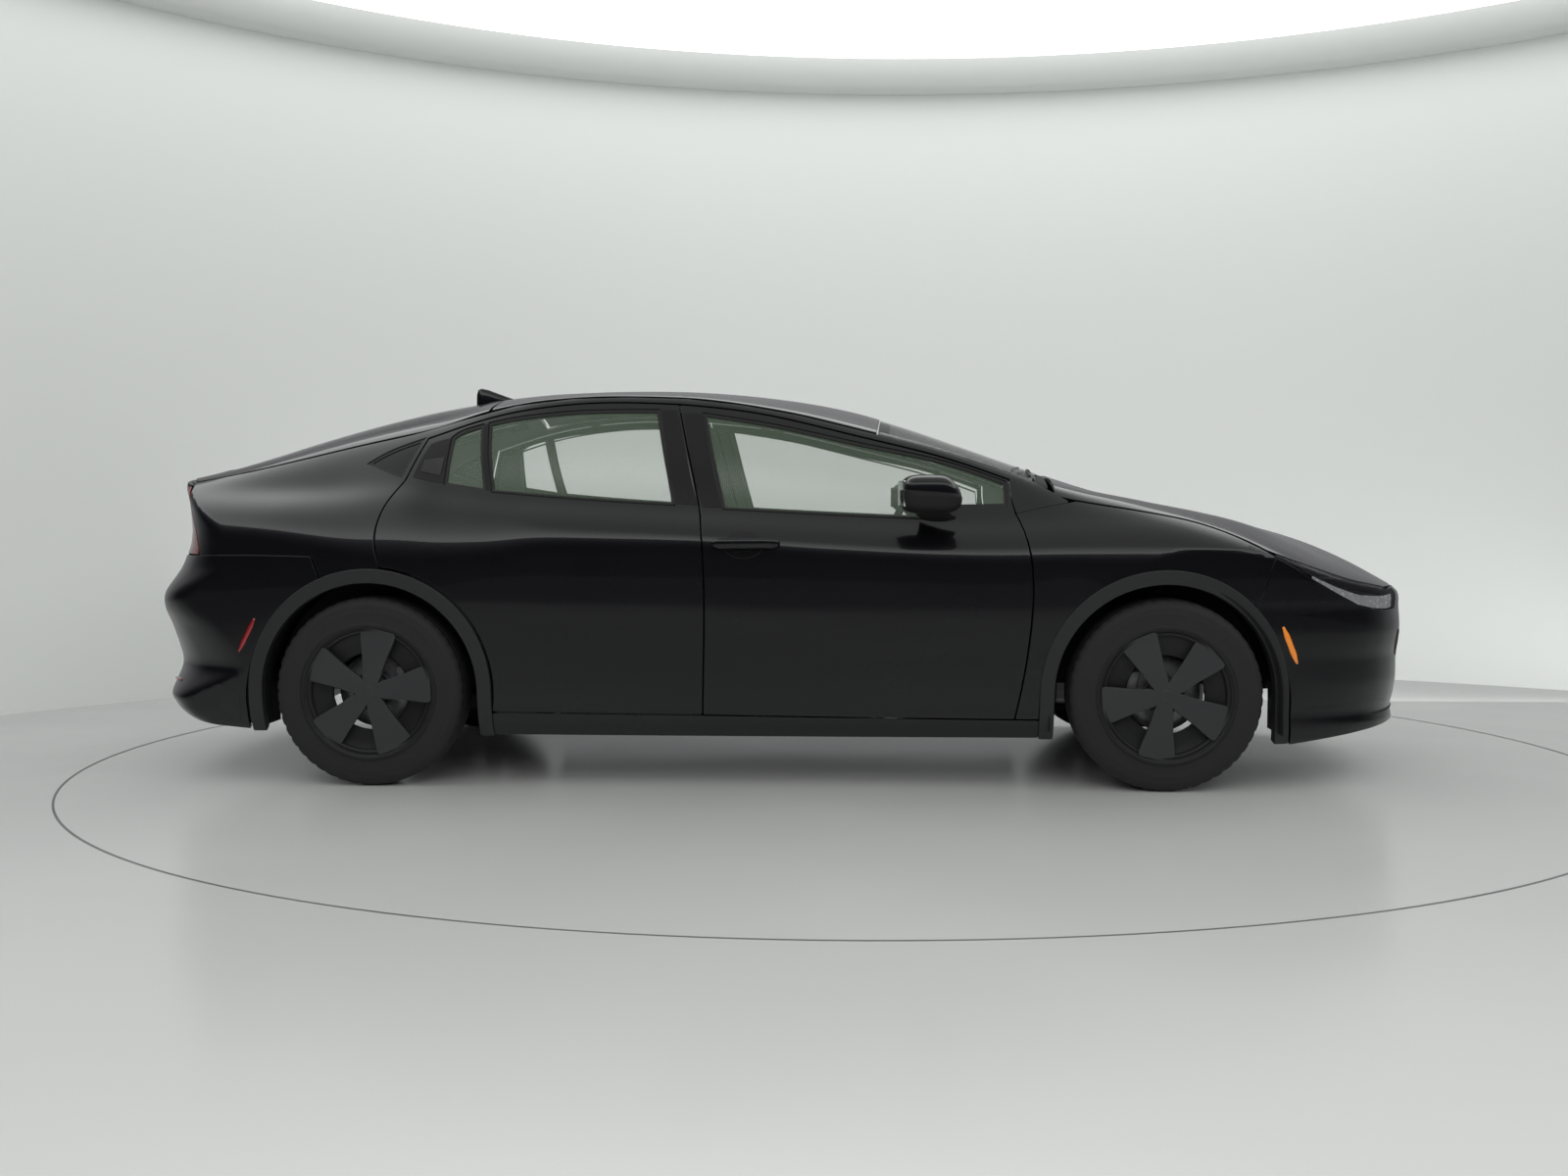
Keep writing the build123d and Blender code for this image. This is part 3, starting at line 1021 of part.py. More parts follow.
engine = box(1010, 1560, -405, 405, 250, 850)
engine = fillet(engine.edges(), 18)
save("engine_block", engine)
xc_ = np.array([-640, -480, -320, -160, 0, 160, 320, 480, 640.0])
xf_ = np.array([926, 947, 962, 968, 969, 968, 962, 947, 926.0]) - 14
P = np.stack([np.stack([xf_ - 52, xc_, np.full(9, 1000.0)], -1), np.stack([np.full(9, 953.0), xc_, np.full(9, 1000.0)], -1)], 0)
for i in range(2):
    for j in range(9):
        P[i, j, 2] = 985.0 if i == 0 else 1000.0
Q = P.copy()
Q[..., 2] -= 14
save("cowl_panel", faceted(P, Q))

# ---------------------------------------------------------------- cabin
prof = [(900, 620), (560, 600), (500, 660), (470, 760), (500, 850), (600, 900), (760, 925), (900, 935)]
dash = extrude(make_face(Polyline(*[(x, -640, z) for x, z in prof], close=True)), amount=1280, dir=(0, 1, 0))
dash = dash - extrude(make_face(Polyline(*[(x, 180, z) for x, z in [(905, 640), (640, 640), (640, 840), (905, 880)]], close=True)), amount=400, dir=(0, 1, 0))
console = box(-240, 430, -100, 100, 270, 500)
console = fillet(console.edges().filter_by(Axis.X), 20)
save("dashboard", [biggest(dash), console])


def seat(y, x0=-160.0, head=True):
    """One front seat: cushion, back and head restraint on two short runners."""
    c = Pos(x0 + 235, y, 430) * Rot(0, -6, 0) * fillet(Box(500, 500, 130).edges(), 40)
    b = Pos(x0 - 95, y, 740) * Rot(0, -20, 0) * fillet(Box(120, 490, 600).edges(), 48)
    h = Pos(x0 - 215, y, 1098) * Rot(0, -14, 0) * fillet(Box(90, 260, 160).edges(), 38)
    posts = Pos(x0 - 200, y, 1010) * Rot(0, -16, 0) * (Pos(0, 60, 0) * Cylinder(7, 160) + Pos(0, -60, 0) * Cylinder(7, 160))
    base = box(x0 + 20, x0 + 420, y - 210, y - 150, 182, 380) + box(x0 + 20, x0 + 420, y + 150, y + 210, 182, 380)
    return c + b + h + posts + base


save("front_seats", [seat(375), seat(-375)])
rc = Pos(-985, 0, 441) * Rot(0, -5, 0) * fillet(Box(460, 1240, 130).edges(), 40)
rb_ = Pos(-1272, 0, 722) * Rot(0, -24, 0) * fillet(Box(110, 1200, 560).edges(), 45)
heads = [Pos(-1412, y, 1032) * Rot(0, -18, 0) * fillet(Box(80, 250, 120).edges(), 34) for y in (-360, 0, 360)]
rs = fuse(rc, rb_, *heads)
for y in (-360, 0, 360):
    rs = rs + (Pos(-1395, y, 977) * Rot(0, -18, 0) * Cylinder(9, 120))
save("rear_seat", biggest(rs))

# steering wheel, its column fixed to the dashboard
SW = (388.0, 372.0, 818.0)
SW_TILT = 64.0
sw = Torus(182, 14) + Cylinder(46, 34)
for a in (90, 210, 330):
    sw = sw + Rot(0, 0, a) * Pos(112, 0, -4) * Box(140, 26, 14)
sw = Pos(*SW) * Rot(0, -SW_TILT, 0) * sw
save("steering_wheel", sw)
ax = Vector(math.sin(math.radians(SW_TILT)), 0, -math.cos(math.radians(SW_TILT)))
col = Pos(SW[0] + ax.X * 66, SW[1], SW[2] + ax.Z * 66) * Rot(0, -SW_TILT, 0) * Cylinder(30, 66)
col = biggest(col - biggest(dash))
save("steering_column", col)

# ---------------------------------------------------------------- running gear
KP_Y = 700.0
hub_f, hub_r = TRACK_F / 2, TRACK_R / 2


def wheel(cx, y):
    """Left-hand wheel: rim with five broad arms, hub and brake disc, outer face towards +Y."""
    rim = ycyl(cx, TYRE_R, RIM_R - 1, y - 92, y + 92) - ycyl(cx, TYRE_R, RIM_R - 13, y - 100, y + 100)
    hub = ycyl(cx, TYRE_R, 74, y + 28, y + 66)
    r = rim + hub
    for i in range(5):
        r = r + Pos(cx, y + 55, TYRE_R) * Rot(0, 45 + 72 * i, 0) * Pos(132, 0, 0) * Box(160, 22, 84)
    disc = ycyl(cx, TYRE_R, 140, y - 24, y + 2) + ycyl(cx, TYRE_R, 60, y - 24, y + 40)
    return r + disc


def tyre(cx, y):
    s = [(RIM_R, -88), (258, -97), (300, -94), (322, -84), (TYRE_R, -66), (TYRE_R, 66), (322, 84), (300, 94), (258, 97), (RIM_R, 88)]
    f = make_face(Polyline(*[(r, a, 0) for r, a in s], close=True))
    t = revolve(f, Axis.Y, 360)
    return Pos(cx, y, TYRE_R) * t


for nm, cx, y in (("front", FRONT_AXLE, hub_f), ("rear", REAR_AXLE, hub_r)):
    w_, t_ = wheel(cx, y), tyre(cx, y)
    save(f"wheel_{nm}_left", w_)
    save(f"wheel_{nm}_right", mir(w_))
    save(f"tyre_{nm}_left", t_)
    save(f"tyre_{nm}_right", mir(t_))

# steering knuckle: stub axle, upright and arms about a vertical king pin inboard of the disc
kn = box(FRONT_AXLE - 34, FRONT_AXLE + 34, KP_Y - 30, KP_Y + 34, 236, 440)
kn = kn + ycyl(FRONT_AXLE, TYRE_R, 26, KP_Y + 20, hub_f - 30)
kn = kn + box(FRONT_AXLE - 120, FRONT_AXLE - 20, KP_Y - 24, KP_Y + 10, 300, 330)
# the strut stands inboard of the tyre on a bracket
kn = kn + box(FRONT_AXLE - 22, FRONT_AXLE + 22, KP_Y - 84, KP_Y, 414, 440)
kn = kn + Pos(FRONT_AXLE, KP_Y - 60, 560) * Cylinder(23, 246)
save("knuckle_left", kn)
save("knuckle_right", mir(kn))
sub = box(1180, 1500, -400, 400, 190, 236)
for s_ in (1, -1):
    a = box(1290, 1390, 380, 640, 196, 226)
    a = a + box(FRONT_AXLE - 26, FRONT_AXLE + 26, 630, KP_Y + 16, 196, 226)
    a = a - (Pos(FRONT_AXLE, KP_Y, 240) * Cylinder(60, 10))
    sub = sub + (a if s_ > 0 else mir(a))
sub = sub + box(1200, 1240, -380, 380, 236, 250)
save("front_subframe", sub)
ra = box(REAR_AXLE - 40, REAR_AXLE + 40, -hub_r + 80, hub_r - 80, 250, 330)
for s_ in (1, -1):
    b = box(REAR_AXLE - 60, REAR_AXLE + 60, 646, hub_r - 74, 240, 430) + ycyl(REAR_AXLE, TYRE_R, 28, 646, hub_r - 28)
    b = b + box(-1400, -1010, 520, 570, 240, 290)
    b = b + (Pos(REAR_AXLE + 10, 560, 400) * Cylinder(48, 200))
    ra = ra + (b if s_ > 0 else mir(b))
save("rear_axle", biggest(ra))
ex = box(-2030, -1780, -470, 100, 215, 330)
ex = fillet(ex.edges().filter_by(Axis.Y), 45)
save("exhaust", ex)

# roof antenna and wiper arms
fin = extrude(make_face(Polyline((-1225, 0, 1376), (-1068, 0, 1394), (-1110, 0, 1408), (-1185, 0, 1432), (-1212, 0, 1436), close=True)), amount=17, dir=(0, 1, 0), both=True)
fin = Pos(0, 0, 7) * fin
save("antenna_fin", fin)


def wiper(x0, y0, x1, y1):
    p0 = np.array([x0, y0, on_skin(x0, y0) + 9])
    p1 = np.array([x1, y1, on_skin(x1, y1) + 9])
    n = 9
    pts = [p0 + (p1 - p0) * t for t in np.linspace(0, 1, n)]
    for q in pts:
        q[2] = on_skin(q[0], q[1]) + 8
    P = np.array([[q + np.array([9, 0, 0]) for q in pts], [q - np.array([9, 0, 0]) for q in pts]])
    Q = P.copy()
    Q[..., 2] -= 6
    return faceted(P, Q)


save("wipers", [wiper(925, 480, 900, -120), wiper(938, -160, 898, -600)])
print("all done")
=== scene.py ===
import bpy
import math
import numpy as np
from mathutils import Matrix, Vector
from mathutils.geometry import delaunay_2d_cdt


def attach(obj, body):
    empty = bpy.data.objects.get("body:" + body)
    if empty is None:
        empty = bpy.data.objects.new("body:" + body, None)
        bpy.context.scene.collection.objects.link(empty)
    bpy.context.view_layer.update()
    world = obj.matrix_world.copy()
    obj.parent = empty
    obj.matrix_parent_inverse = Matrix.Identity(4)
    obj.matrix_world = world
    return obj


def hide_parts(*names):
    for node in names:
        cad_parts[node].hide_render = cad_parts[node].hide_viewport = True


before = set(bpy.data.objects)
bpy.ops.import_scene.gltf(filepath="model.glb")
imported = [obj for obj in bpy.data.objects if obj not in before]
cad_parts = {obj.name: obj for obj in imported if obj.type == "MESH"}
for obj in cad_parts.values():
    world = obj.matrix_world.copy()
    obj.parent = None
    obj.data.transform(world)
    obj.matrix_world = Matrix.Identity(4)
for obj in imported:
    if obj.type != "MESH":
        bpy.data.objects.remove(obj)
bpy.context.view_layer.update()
MM = 0.001

# ================================================================ the skin (millimetres)
FRONT_AXLE, REAR_AXLE = 1340.0, -1410.0
TRACK_F, TRACK_R = 1560.0, 1570.0
TYRE_R, TYRE_W, RIM_R = 331.0, 195.0, 216.0
TRIM_RI, TRIM_RO = 378.0, 428.0


# ---------------------------------------------------------------- curve helpers
def pchip(xk, yk):
    xk, yk = np.asarray(xk, float), np.asarray(yk, float)
    h = np.diff(xk)
    d = np.diff(yk) / h
    m = np.zeros(len(xk))
    for i in range(1, len(xk) - 1):
        if d[i - 1] * d[i] > 0:
            w1, w2 = 2 * h[i] + h[i - 1], h[i] + 2 * h[i - 1]
            m[i] = (w1 + w2) / (w1 / d[i - 1] + w2 / d[i])
    m[0], m[-1] = d[0], d[-1]

    def f(x):
        x = np.asarray(x, float)
        i = np.clip(np.searchsorted(xk, x) - 1, 0, len(h) - 1)
        t = (x - xk[i]) / h[i]
        r = ((2 * t**3 - 3 * t**2 + 1) * yk[i] + (t**3 - 2 * t**2 + t) * h[i] * m[i]
             + (-2 * t**3 + 3 * t**2) * yk[i + 1] + (t**3 - t**2) * h[i] * m[i + 1])
        r = np.where(x < xk[0], yk[0] + m[0] * (x - xk[0]), r)
        return np.where(x > xk[-1], yk[-1] + m[-1] * (x - xk[-1]), r)

    return f


def line(*pts):
    """Smooth function of x through (x, value) pairs."""
    p = sorted(pts)
    return pchip([a[0] for a in p], [a[1] for a in p])


def gauss(n, s):
    k = np.arange(-n, n + 1)
    w = np.exp(-0.5 * (k / s) ** 2)
    return w / w.sum()


def smooth(grid, sx, sy):
    for axis, s in ((0, sx), (1, sy)):
        if s <= 0:
            continue
        n = int(3 * s) + 1
        w = gauss(n, s)
        pad = [(n, n) if a == axis else (0, 0) for a in (0, 1)]
        g = np.pad(grid, pad, mode="reflect", reflect_type="odd")
        out = np.zeros_like(grid)
        for i, c in enumerate(w):
            sl = [slice(None), slice(None)]
            sl[axis] = slice(i, i + grid.shape[axis])
            out += c * g[tuple(sl)]
        grid = out
    return grid


class Field:
    """Bicubic lookup on a regular grid."""

    def __init__(self, x0, dx, y0, dy, g):
        self.x0, self.dx, self.y0, self.dy, self.g = x0, dx, y0, dy, g

    def __call__(self, x, y):
        x, y = np.broadcast_arrays(np.asarray(x, float), np.asarray(y, float))
        u = np.clip((x - self.x0) / self.dx, 1.0, self.g.shape[0] - 3.001)
        v = np.clip((y - self.y0) / self.dy, 1.0, self.g.shape[1] - 3.001)
        i, j = u.astype(int), v.astype(int)
        a, b = u - i, v - j

        def w(t):
            return ((1 - t) ** 3 / 6, (3 * t**3 - 6 * t**2 + 4) / 6, (-3 * t**3 + 3 * t**2 + 3 * t + 1) / 6, t**3 / 6)

        wa, wb = w(a), w(b)
        r = np.zeros_like(u)
        for p in range(4):
            for q in range(4):
                r += wa[p] * wb[q] * self.g[i + p - 1, j + q - 1]
        return r


# ---------------------------------------------------------------- feature lines of the skin
S_Y0 = line((-2300, 770), (-1800, 800), (-1000, 800), (0, 797), (850, 800), (1340, 815), (1800, 812), (2300, 780))
S_Y1 = line((-2300, 800), (-1800, 838), (-1410, 848), (-1000, 836), (0, 832), (850, 836), (1340, 850), (1800, 846), (2300, 815))
S_Y2 = line((-2300, 815), (-1800, 862), (-1410, 872), (-1000, 860), (0, 855), (850, 858), (1340, 871), (1800, 866), (2300, 835))
S_Y3 = line((-2300, 820), (-1800, 870), (-1410, 878), (-1000, 868), (0, 863), (850, 866), (1340, 878), (1800, 872), (2300, 840))
S_Y4 = line((-2300, 822), (-1800, 872), (-1410, 881), (-1000, 872), (0, 865), (850, 868), (1340, 881), (1800, 874), (2300, 842))
S_Y5 = line((-2300, 822), (-1800, 872), (-1410, 883), (-1000, 875), (-500, 869), (0, 866), (850, 869), (1340, 883), (1800, 873), (2300, 838))
S_Y6 = line((-2300, 812), (-1800, 864), (-1410, 881), (-1100, 876), (-500, 868), (0, 865), (850, 868), (1100, 876), (1340, 880), (1800, 850), (2300, 790))
Z_S = line((-2300, 900), (-1800, 880), (-1600, 842), (-1410, 798), (-1223, 785), (-1000, 800), (-778, 846), (-300, 846), (200, 812), (870, 785), (1100, 785), (1340, 790), (1600, 760), (1800, 720), (2300, 640))
Z_B = line((-2300, 1030), (-2000, 1030), (-1800, 1028), (-1600, 1034), (-1410, 1052), (-1299, 1058), (-1177, 1032), (-1003, 1011), (-795, 994), (-588, 979), (-374, 965), (-182, 951), (31, 941), (201, 932), (429, 921), (600, 917), (811, 920), (1000, 926), (1340, 918), (1600, 872), (1800, 815), (2000, 755), (2300, 700))
Y_B = line((-2300, 690), (-2000, 695), (-1800, 692), (-1600, 692), (-1410, 700), (-1299, 706), (-1000, 738), (-600, 757), (-200, 767), (200, 770), (430, 770), (811, 770), (1000, 778), (1340, 790), (1600, 790), (1800, 768), (2000, 730), (2300, 650))
Z_R = line((-2300, 1050), (-2200, 1060), (-2000, 1098), (-1800, 1148), (-1600, 1196), (-1410, 1236), (-1269, 1265), (-1034, 1328), (-820, 1362), (-608, 1373), (-348, 1367), (-271, 1361), (23, 1315), (302, 1247), (580, 1177), (820, 1098), (1000, 1040), (1122, 1013), (1224, 995), (1340, 973), (1430, 957), (1530, 932), (1630, 902), (1731, 864), (1900, 788), (2000, 745), (2127, 702), (2300, 650))
Y_R = line((-2300, 640), (-2200, 630), (-2000, 600), (-1800, 566), (-1600, 548), (-1410, 542), (-1269, 545), (-1034, 572), (-820, 588), (-608, 596), (-348, 598), (23, 603), (302, 616), (580, 634), (820, 660), (1000, 672), (1122, 682), (1340, 696), (1530, 700), (1731, 694), (1900, 676), (2000, 655), (2127, 620), (2300, 540))
Z_C = line((-2300, 1062), (-2205, 1086), (-2100, 1118), (-2000, 1153), (-1892, 1192), (-1775, 1233), (-1657, 1270), (-1540, 1303), (-1423, 1332), (-1306, 1357), (-1190, 1376), (-1074, 1391), (-958, 1402), (-843, 1410), (-728, 1414), (-613, 1417), (-497, 1418), (-383, 1417), (-268, 1412), (-154, 1404), (-40, 1392), (74, 1377), (188, 1357), (301, 1331), (415, 1296), (528, 1259), (641, 1218), (754, 1178), (867, 1137), (980, 1097), (1100, 1055), (1220, 1018), (1340, 987), (1500, 958), (1614, 940), (1720, 918), (1840, 888), (1936, 859), (2044, 817), (2153, 762), (2220, 715), (2261, 680), (2300, 640))
X_F = line((120, 2150), (150, 2215), (185, 2262), (215, 2272), (260, 2266), (310, 2277), (371, 2284), (440, 2284), (500, 2292), (545, 2296), (585, 2294), (625, 2291), (660, 2293), (720, 2293), (800, 2290), (1500, 2290))
X_T = line((120, -2050), (200, -2150), (235, -2215), (273, -2252), (317, -2274), (360, -2277), (418, -2274), (480, -2282), (533, -2290), (600, -2299), (640, -2294), (730, -2262), (790, -2236), (850, -2208), (900, -2200), (980, -2202), (1040, -2212), (1075, -2221), (1150, -2228), (1500, -2228))
P_F = line((-1, 0), (0, 0), (200, 7), (350, 25), (450, 50), (540, 92), (620, 152), (680, 222), (730, 310), (775, 430), (815, 590), (850, 760), (880, 960))
P_T = line((-1, 0), (0, 0), (300, 14), (500, 42), (600, 68), (700, 108), (780, 160), (840, 230), (900, 340))
K_T = line((0, 0.85), (290, 0.82), (410, 1.42), (540, 1.18), (665, 0.82), (770, 1.12), (876, 1.0), (1100, 0.9), (1500, 0.9))

XG = np.arange(-2440, 2441, 20.0)
ZG = np.arange(60, 1561, 10.0)


def side_table():
    W = np.zeros((len(XG), len(ZG)))
    for i, x in enumerate(XG):
        zs, zb, zr = float(Z_S(x)), float(Z_B(x)), float(Z_R(x))
        y6, yb, yr = float(S_Y6(x)), float(Y_B(x)), float(Y_R(x))
        zb = min(zb, zr - 20)
        zs = min(zs, zb - 60)
        y0, y1, y2, y3, y4, y5 = (float(f(x)) for f in (S_Y0, S_Y1, S_Y2, S_Y3, S_Y4, S_Y5))
        zz = [120, 165, 215, 300, 420, 540, 660]
        yy = [y0 - 40, y0, y1, y2, y3, y4, y5]
        zz = [min(z, zs - 20 - (660 - z) * 0.2) if z > zs - 30 else z for z in zz]
        d = y6 - yb
        zz += [zs, zs + 0.30 * (zb - zs), zs + 0.60 * (zb - zs), zs + 0.82 * (zb - zs), zb]
        yy += [y6, y6 - 0.10 * d, y6 - 0.36 * d, y6 - 0.66 * d, yb]
        hg = zr - zb
        s = (yb - yr) / max(hg, 1)
        zz += [zb + 0.5 * hg, zr, zr + 120]
        yy += [yb - (yb - yr) * 0.46, yr, yr - 120 * s * 1.25]
        W[i] = pchip(zz, yy)(ZG)
    return smooth(W, 2.4, 2.2)


W = Field(XG[0], 20.0, ZG[0], 10.0, side_table())
YG = np.arange(-1080, 1081, 20.0)


def top_table():
    x = XG[:, None]
    y = np.abs(YG)[None, :]
    zc, zr, yr = Z_C(x), Z_R(x), Y_R(x)
    p = line((-2300, 2.4), (-1400, 2.1), (0, 2.2), (900, 2.4), (1340, 3.2), (1900, 2.6), (2300, 2.4))(x)
    g = zc - (zc - zr) * (y / yr) ** p
    # hood: two soft ridges over the wheels that run from the pillars to the lamps
    a = np.clip((x - 1050) / 250, 0, 1) * np.clip((2150 - x) / 300, 0, 1)
    a = a * a * (3 - 2 * a)
    g = g + a * (9 * np.exp(-(((y - 560) / 70) ** 2)) - 6 * np.exp(-(((y - 330) / 130) ** 2)))
    return smooth(g, 1.6, 1.2)


T = Field(XG[0], 20.0, YG[0], 20.0, top_table())


def smax(a, b, r):
    h = np.clip(r - np.abs(a - b), 0, None) / r
    return np.maximum(a, b) + h**3 * r / 6


def nose(y, z):
    return X_F(z) - P_F(np.abs(y))


def tail(y, z):
    return X_T(z) + P_T(np.abs(y)) * K_T(z)


R_TOP = line((-2300, 40), (-1900, 60), (-1300, 70), (0, 60), (800, 60), (1100, 90), (1500, 120), (1900, 110), (2300, 80))


def G(x, y, z):
    """Above zero outside the skin."""
    y = np.abs(y)
    g = smax(y - W(x, z), z - T(x, y), R_TOP(x))
    g = smax(g, x - nose(y, z), 60.0)
    return smax(g, tail(y, z) - x, 40.0)


def cast(o, d, t1=3000.0):
    """Distance along direction d from points o to the skin."""
    lo, hi = np.zeros(o.shape[:-1]), np.full(o.shape[:-1], float(t1))
    for _ in range(26):
        m = (lo + hi) / 2
        p = o + d * m[..., None]
        out = G(p[..., 0], p[..., 1], p[..., 2]) > 0
        hi = np.where(out, m, hi)
        lo = np.where(out, lo, m)
    return o + d * ((lo + hi) / 2)[..., None]


def normal(p, e=1.5):
    n = np.stack([G(p[..., 0] + e, p[..., 1], p[..., 2]) - G(p[..., 0] - e, p[..., 1], p[..., 2]),
                  G(p[..., 0], p[..., 1] + e, p[..., 2]) - G(p[..., 0], p[..., 1] - e, p[..., 2]),
                  G(p[..., 0], p[..., 1], p[..., 2] + e) - G(p[..., 0], p[..., 1], p[..., 2] - e)], -1)
    return n / np.linalg.norm(n, axis=-1, keepdims=True)


def side_pts(X, Z):
    """Skin points of the left side at (x, z)."""
    o = np.stack([X, np.zeros_like(X), Z], -1)
    return cast(o, np.array([0.0, 1.0, 0.0]), 1200)


def top_pts(X, Y, z0=500.0):
    o = np.stack([X, Y, np.full_like(X, z0)], -1)
    return cast(o, np.array([0.0, 0.0, 1.0]), 1200)


def radial_pts(xc, ang, Z):
    """Skin points at height Z along a level ray from (xc, 0) at ang degrees from +X towards +Y."""
    a = np.radians(ang)
    o = np.stack([np.full_like(Z, xc), np.zeros_like(Z), Z], -1)
    d = np.stack([np.cos(a), np.sin(a), np.zeros_like(a)], -1)
    lo, hi = np.zeros(Z.shape), np.full(Z.shape, 1600.0)
    for _ in range(26):
        m = (lo + hi) / 2
        p = o + d * m[..., None]
        out = G(p[..., 0], p[..., 1], p[..., 2]) > 0
        hi, lo = np.where(out, m, hi), np.where(out, lo, m)
    return o + d * ((lo + hi) / 2)[..., None]



# ---------------------------------------------------------------- flat outlines
def cspline(pts, n):
    """Dense points on a smooth curve through pts."""
    p = np.asarray(pts, float)
    if len(p) == 2:
        t = np.linspace(0, 1, n)[:, None]
        return p[0] * (1 - t) + p[1] * t
    s = np.r_[0, np.cumsum(np.linalg.norm(np.diff(p, axis=0), axis=1) ** 0.5)]
    k = len(p)
    h = np.diff(s)
    A = np.zeros((k, k))
    B = np.zeros((k, p.shape[1]))
    A[0, 0] = A[-1, -1] = 1
    for i in range(1, k - 1):
        A[i, i - 1], A[i, i], A[i, i + 1] = h[i - 1], 2 * (h[i - 1] + h[i]), h[i]
        B[i] = 6 * ((p[i + 1] - p[i]) / h[i] - (p[i] - p[i - 1]) / h[i - 1])
    M = np.linalg.solve(A, B)
    t = np.linspace(0, s[-1], n)
    i = np.clip(np.searchsorted(s, t) - 1, 0, k - 2)
    u, v = (s[i + 1] - t)[:, None], (t - s[i])[:, None]
    hi = h[i][:, None]
    return (M[i] * u**3 + M[i + 1] * v**3) / (6 * hi) + (p[i] / hi - M[i] * hi / 6) * u + (p[i + 1] / hi - M[i + 1] * hi / 6) * v


class Outline:
    """Closed outline of smooth segments that meet at corners, walked anticlockwise or not. Offsets are mitred."""

    def __init__(self, *segs, n=17):
        self.d = [cspline(s, n if len(s) > 2 else 2) for s in segs]

    def poly(self, off=0.0, offs=None):
        """Dense segments moved outwards by off, or by offs[i] for segment i."""
        area = 0.0
        allp = np.concatenate([s[:-1] for s in self.d])
        x, y = allp[:, 0], allp[:, 1]
        area = np.sum(x * np.roll(y, -1) - np.roll(x, -1) * y)
        sg = 1.0 if area > 0 else -1.0
        moved = []
        for k, s in enumerate(self.d):
            g = off if offs is None else offs[k]
            t = np.gradient(s, axis=0)
            t /= np.linalg.norm(t, axis=1)[:, None]
            nrm = np.stack([t[:, 1], -t[:, 0]], 1) * sg
            moved.append(s + nrm * g)
        out = []
        n = len(moved)
        ends = []
        for k in range(n):
            a, b = moved[k], moved[(k + 1) % n]
            p, r = a[-1], a[-1] - a[-2]
            q, s2 = b[0], b[1] - b[0]
            den = r[0] * s2[1] - r[1] * s2[0]
            if abs(den) < 1e-3 * np.linalg.norm(r) * np.linalg.norm(s2):
                c = (p + q) / 2
            else:
                u = ((q - p)[0] * s2[1] - (q - p)[1] * s2[0]) / den
                c = p + r * u
                if np.linalg.norm(c - p) > 60:
                    c = (p + q) / 2
            ends.append(c)
        for k in range(n):
            s = moved[k].copy()
            c0, c1 = ends[k - 1], ends[k]
            # drop points that the trimmed corners have passed
            t = s[-1] - s[0]
            keep = [p for p in s[1:-1] if np.dot(p - c0, s[1] - s[0]) > 1.0 and np.dot(c1 - p, s[-1] - s[-2]) > 1.0]
            out.append(np.array([c0] + keep + [c1]))
        return out



def arc(cx, cz, r, a0, a1, n=9):
    a = np.radians(np.linspace(a0, a1, n))
    return [(cx + r * math.cos(t), cz + r * math.sin(t)) for t in a]


# ---------------------------------------------------------------- door outlines, (x, z)
FD_BOTTOM = [(-246, 253), (300, 247), (828, 243)]
FD_FRONT = [(828, 243), (862, 420), (881, 568), (888, 700), (880, 800), (858, 900), (836, 951)]
FD_A = [(836, 951), (822, 1010), (818, 1070)]
FD_TOP = [(818, 1070), (580, 1152), (302, 1222), (23, 1290), (-160, 1322), (-351, 1341)]
FD_REAR = [(-351, 1341), (-312, 1170), (-274, 1010), (-255, 920), (-242, 767), (-239, 611), (-242, 420), (-246, 253)]
FDOOR = Outline(FD_BOTTOM, FD_FRONT, FD_A, FD_TOP, FD_REAR)
RD_ARC = arc(REAR_AXLE, 332, 434, -9.5, 84, 13)
RD_TOP = [(-351, 1341), (-608, 1348), (-820, 1334), (-1034, 1296), (-1266, 1222)]
RD_REAR1 = [(-1266, 1222), (-1298, 1140), (-1322, 1069)]
RD_REAR2 = [(-1322, 1069), (-1362, 997), (-1383, 925), (-1385, 843), RD_ARC[-1]]
RDOOR = Outline([(-246, 253), (-600, 256), RD_ARC[0]], RD_ARC, RD_REAR2[::-1], RD_REAR1[::-1], RD_TOP[::-1],
                [(-351, 1341), (-312, 1170), (-274, 1010), (-255, 920), (-242, 767), (-239, 611), (-242, 420), (-246, 253)])
# daylight openings, (x, z)
FWIN = Outline([(-182, 967), (200, 947), (560, 931)], [(560, 931), (610, 950), (650, 976)], [(650, 976), (730, 977), (806, 979)],
               [(806, 979), (808, 1030), (804, 1064)], [(804, 1064), (580, 1140), (302, 1200), (23, 1262), (-262, 1309)],
               [(-262, 1309), (-225, 1140), (-182, 967)])
RWIN = Outline([(-352, 981), (-588, 995), (-795, 1010), (-1003, 1028)], [(-1003, 1028), (-1030, 1160), (-1040, 1277)],
               [(-1040, 1277), (-958, 1294), (-817, 1311), (-676, 1320), (-422, 1322)], [(-422, 1322), (-390, 1160), (-352, 981)])
RVENT = Outline([(-1026, 1031), (-1105, 1043), (-1180, 1055)], [(-1180, 1055), (-1180, 1140), (-1176, 1225)],
                [(-1176, 1225), (-1150, 1245), (-1062, 1273)], [(-1062, 1273), (-1050, 1160), (-1026, 1031)])
QWIN = Outline([(-1338, 1078), (-1400, 1102), (-1474, 1130)], [(-1474, 1130), (-1400, 1176), (-1282, 1221)],
               [(-1282, 1221), (-1312, 1150), (-1338, 1078)])



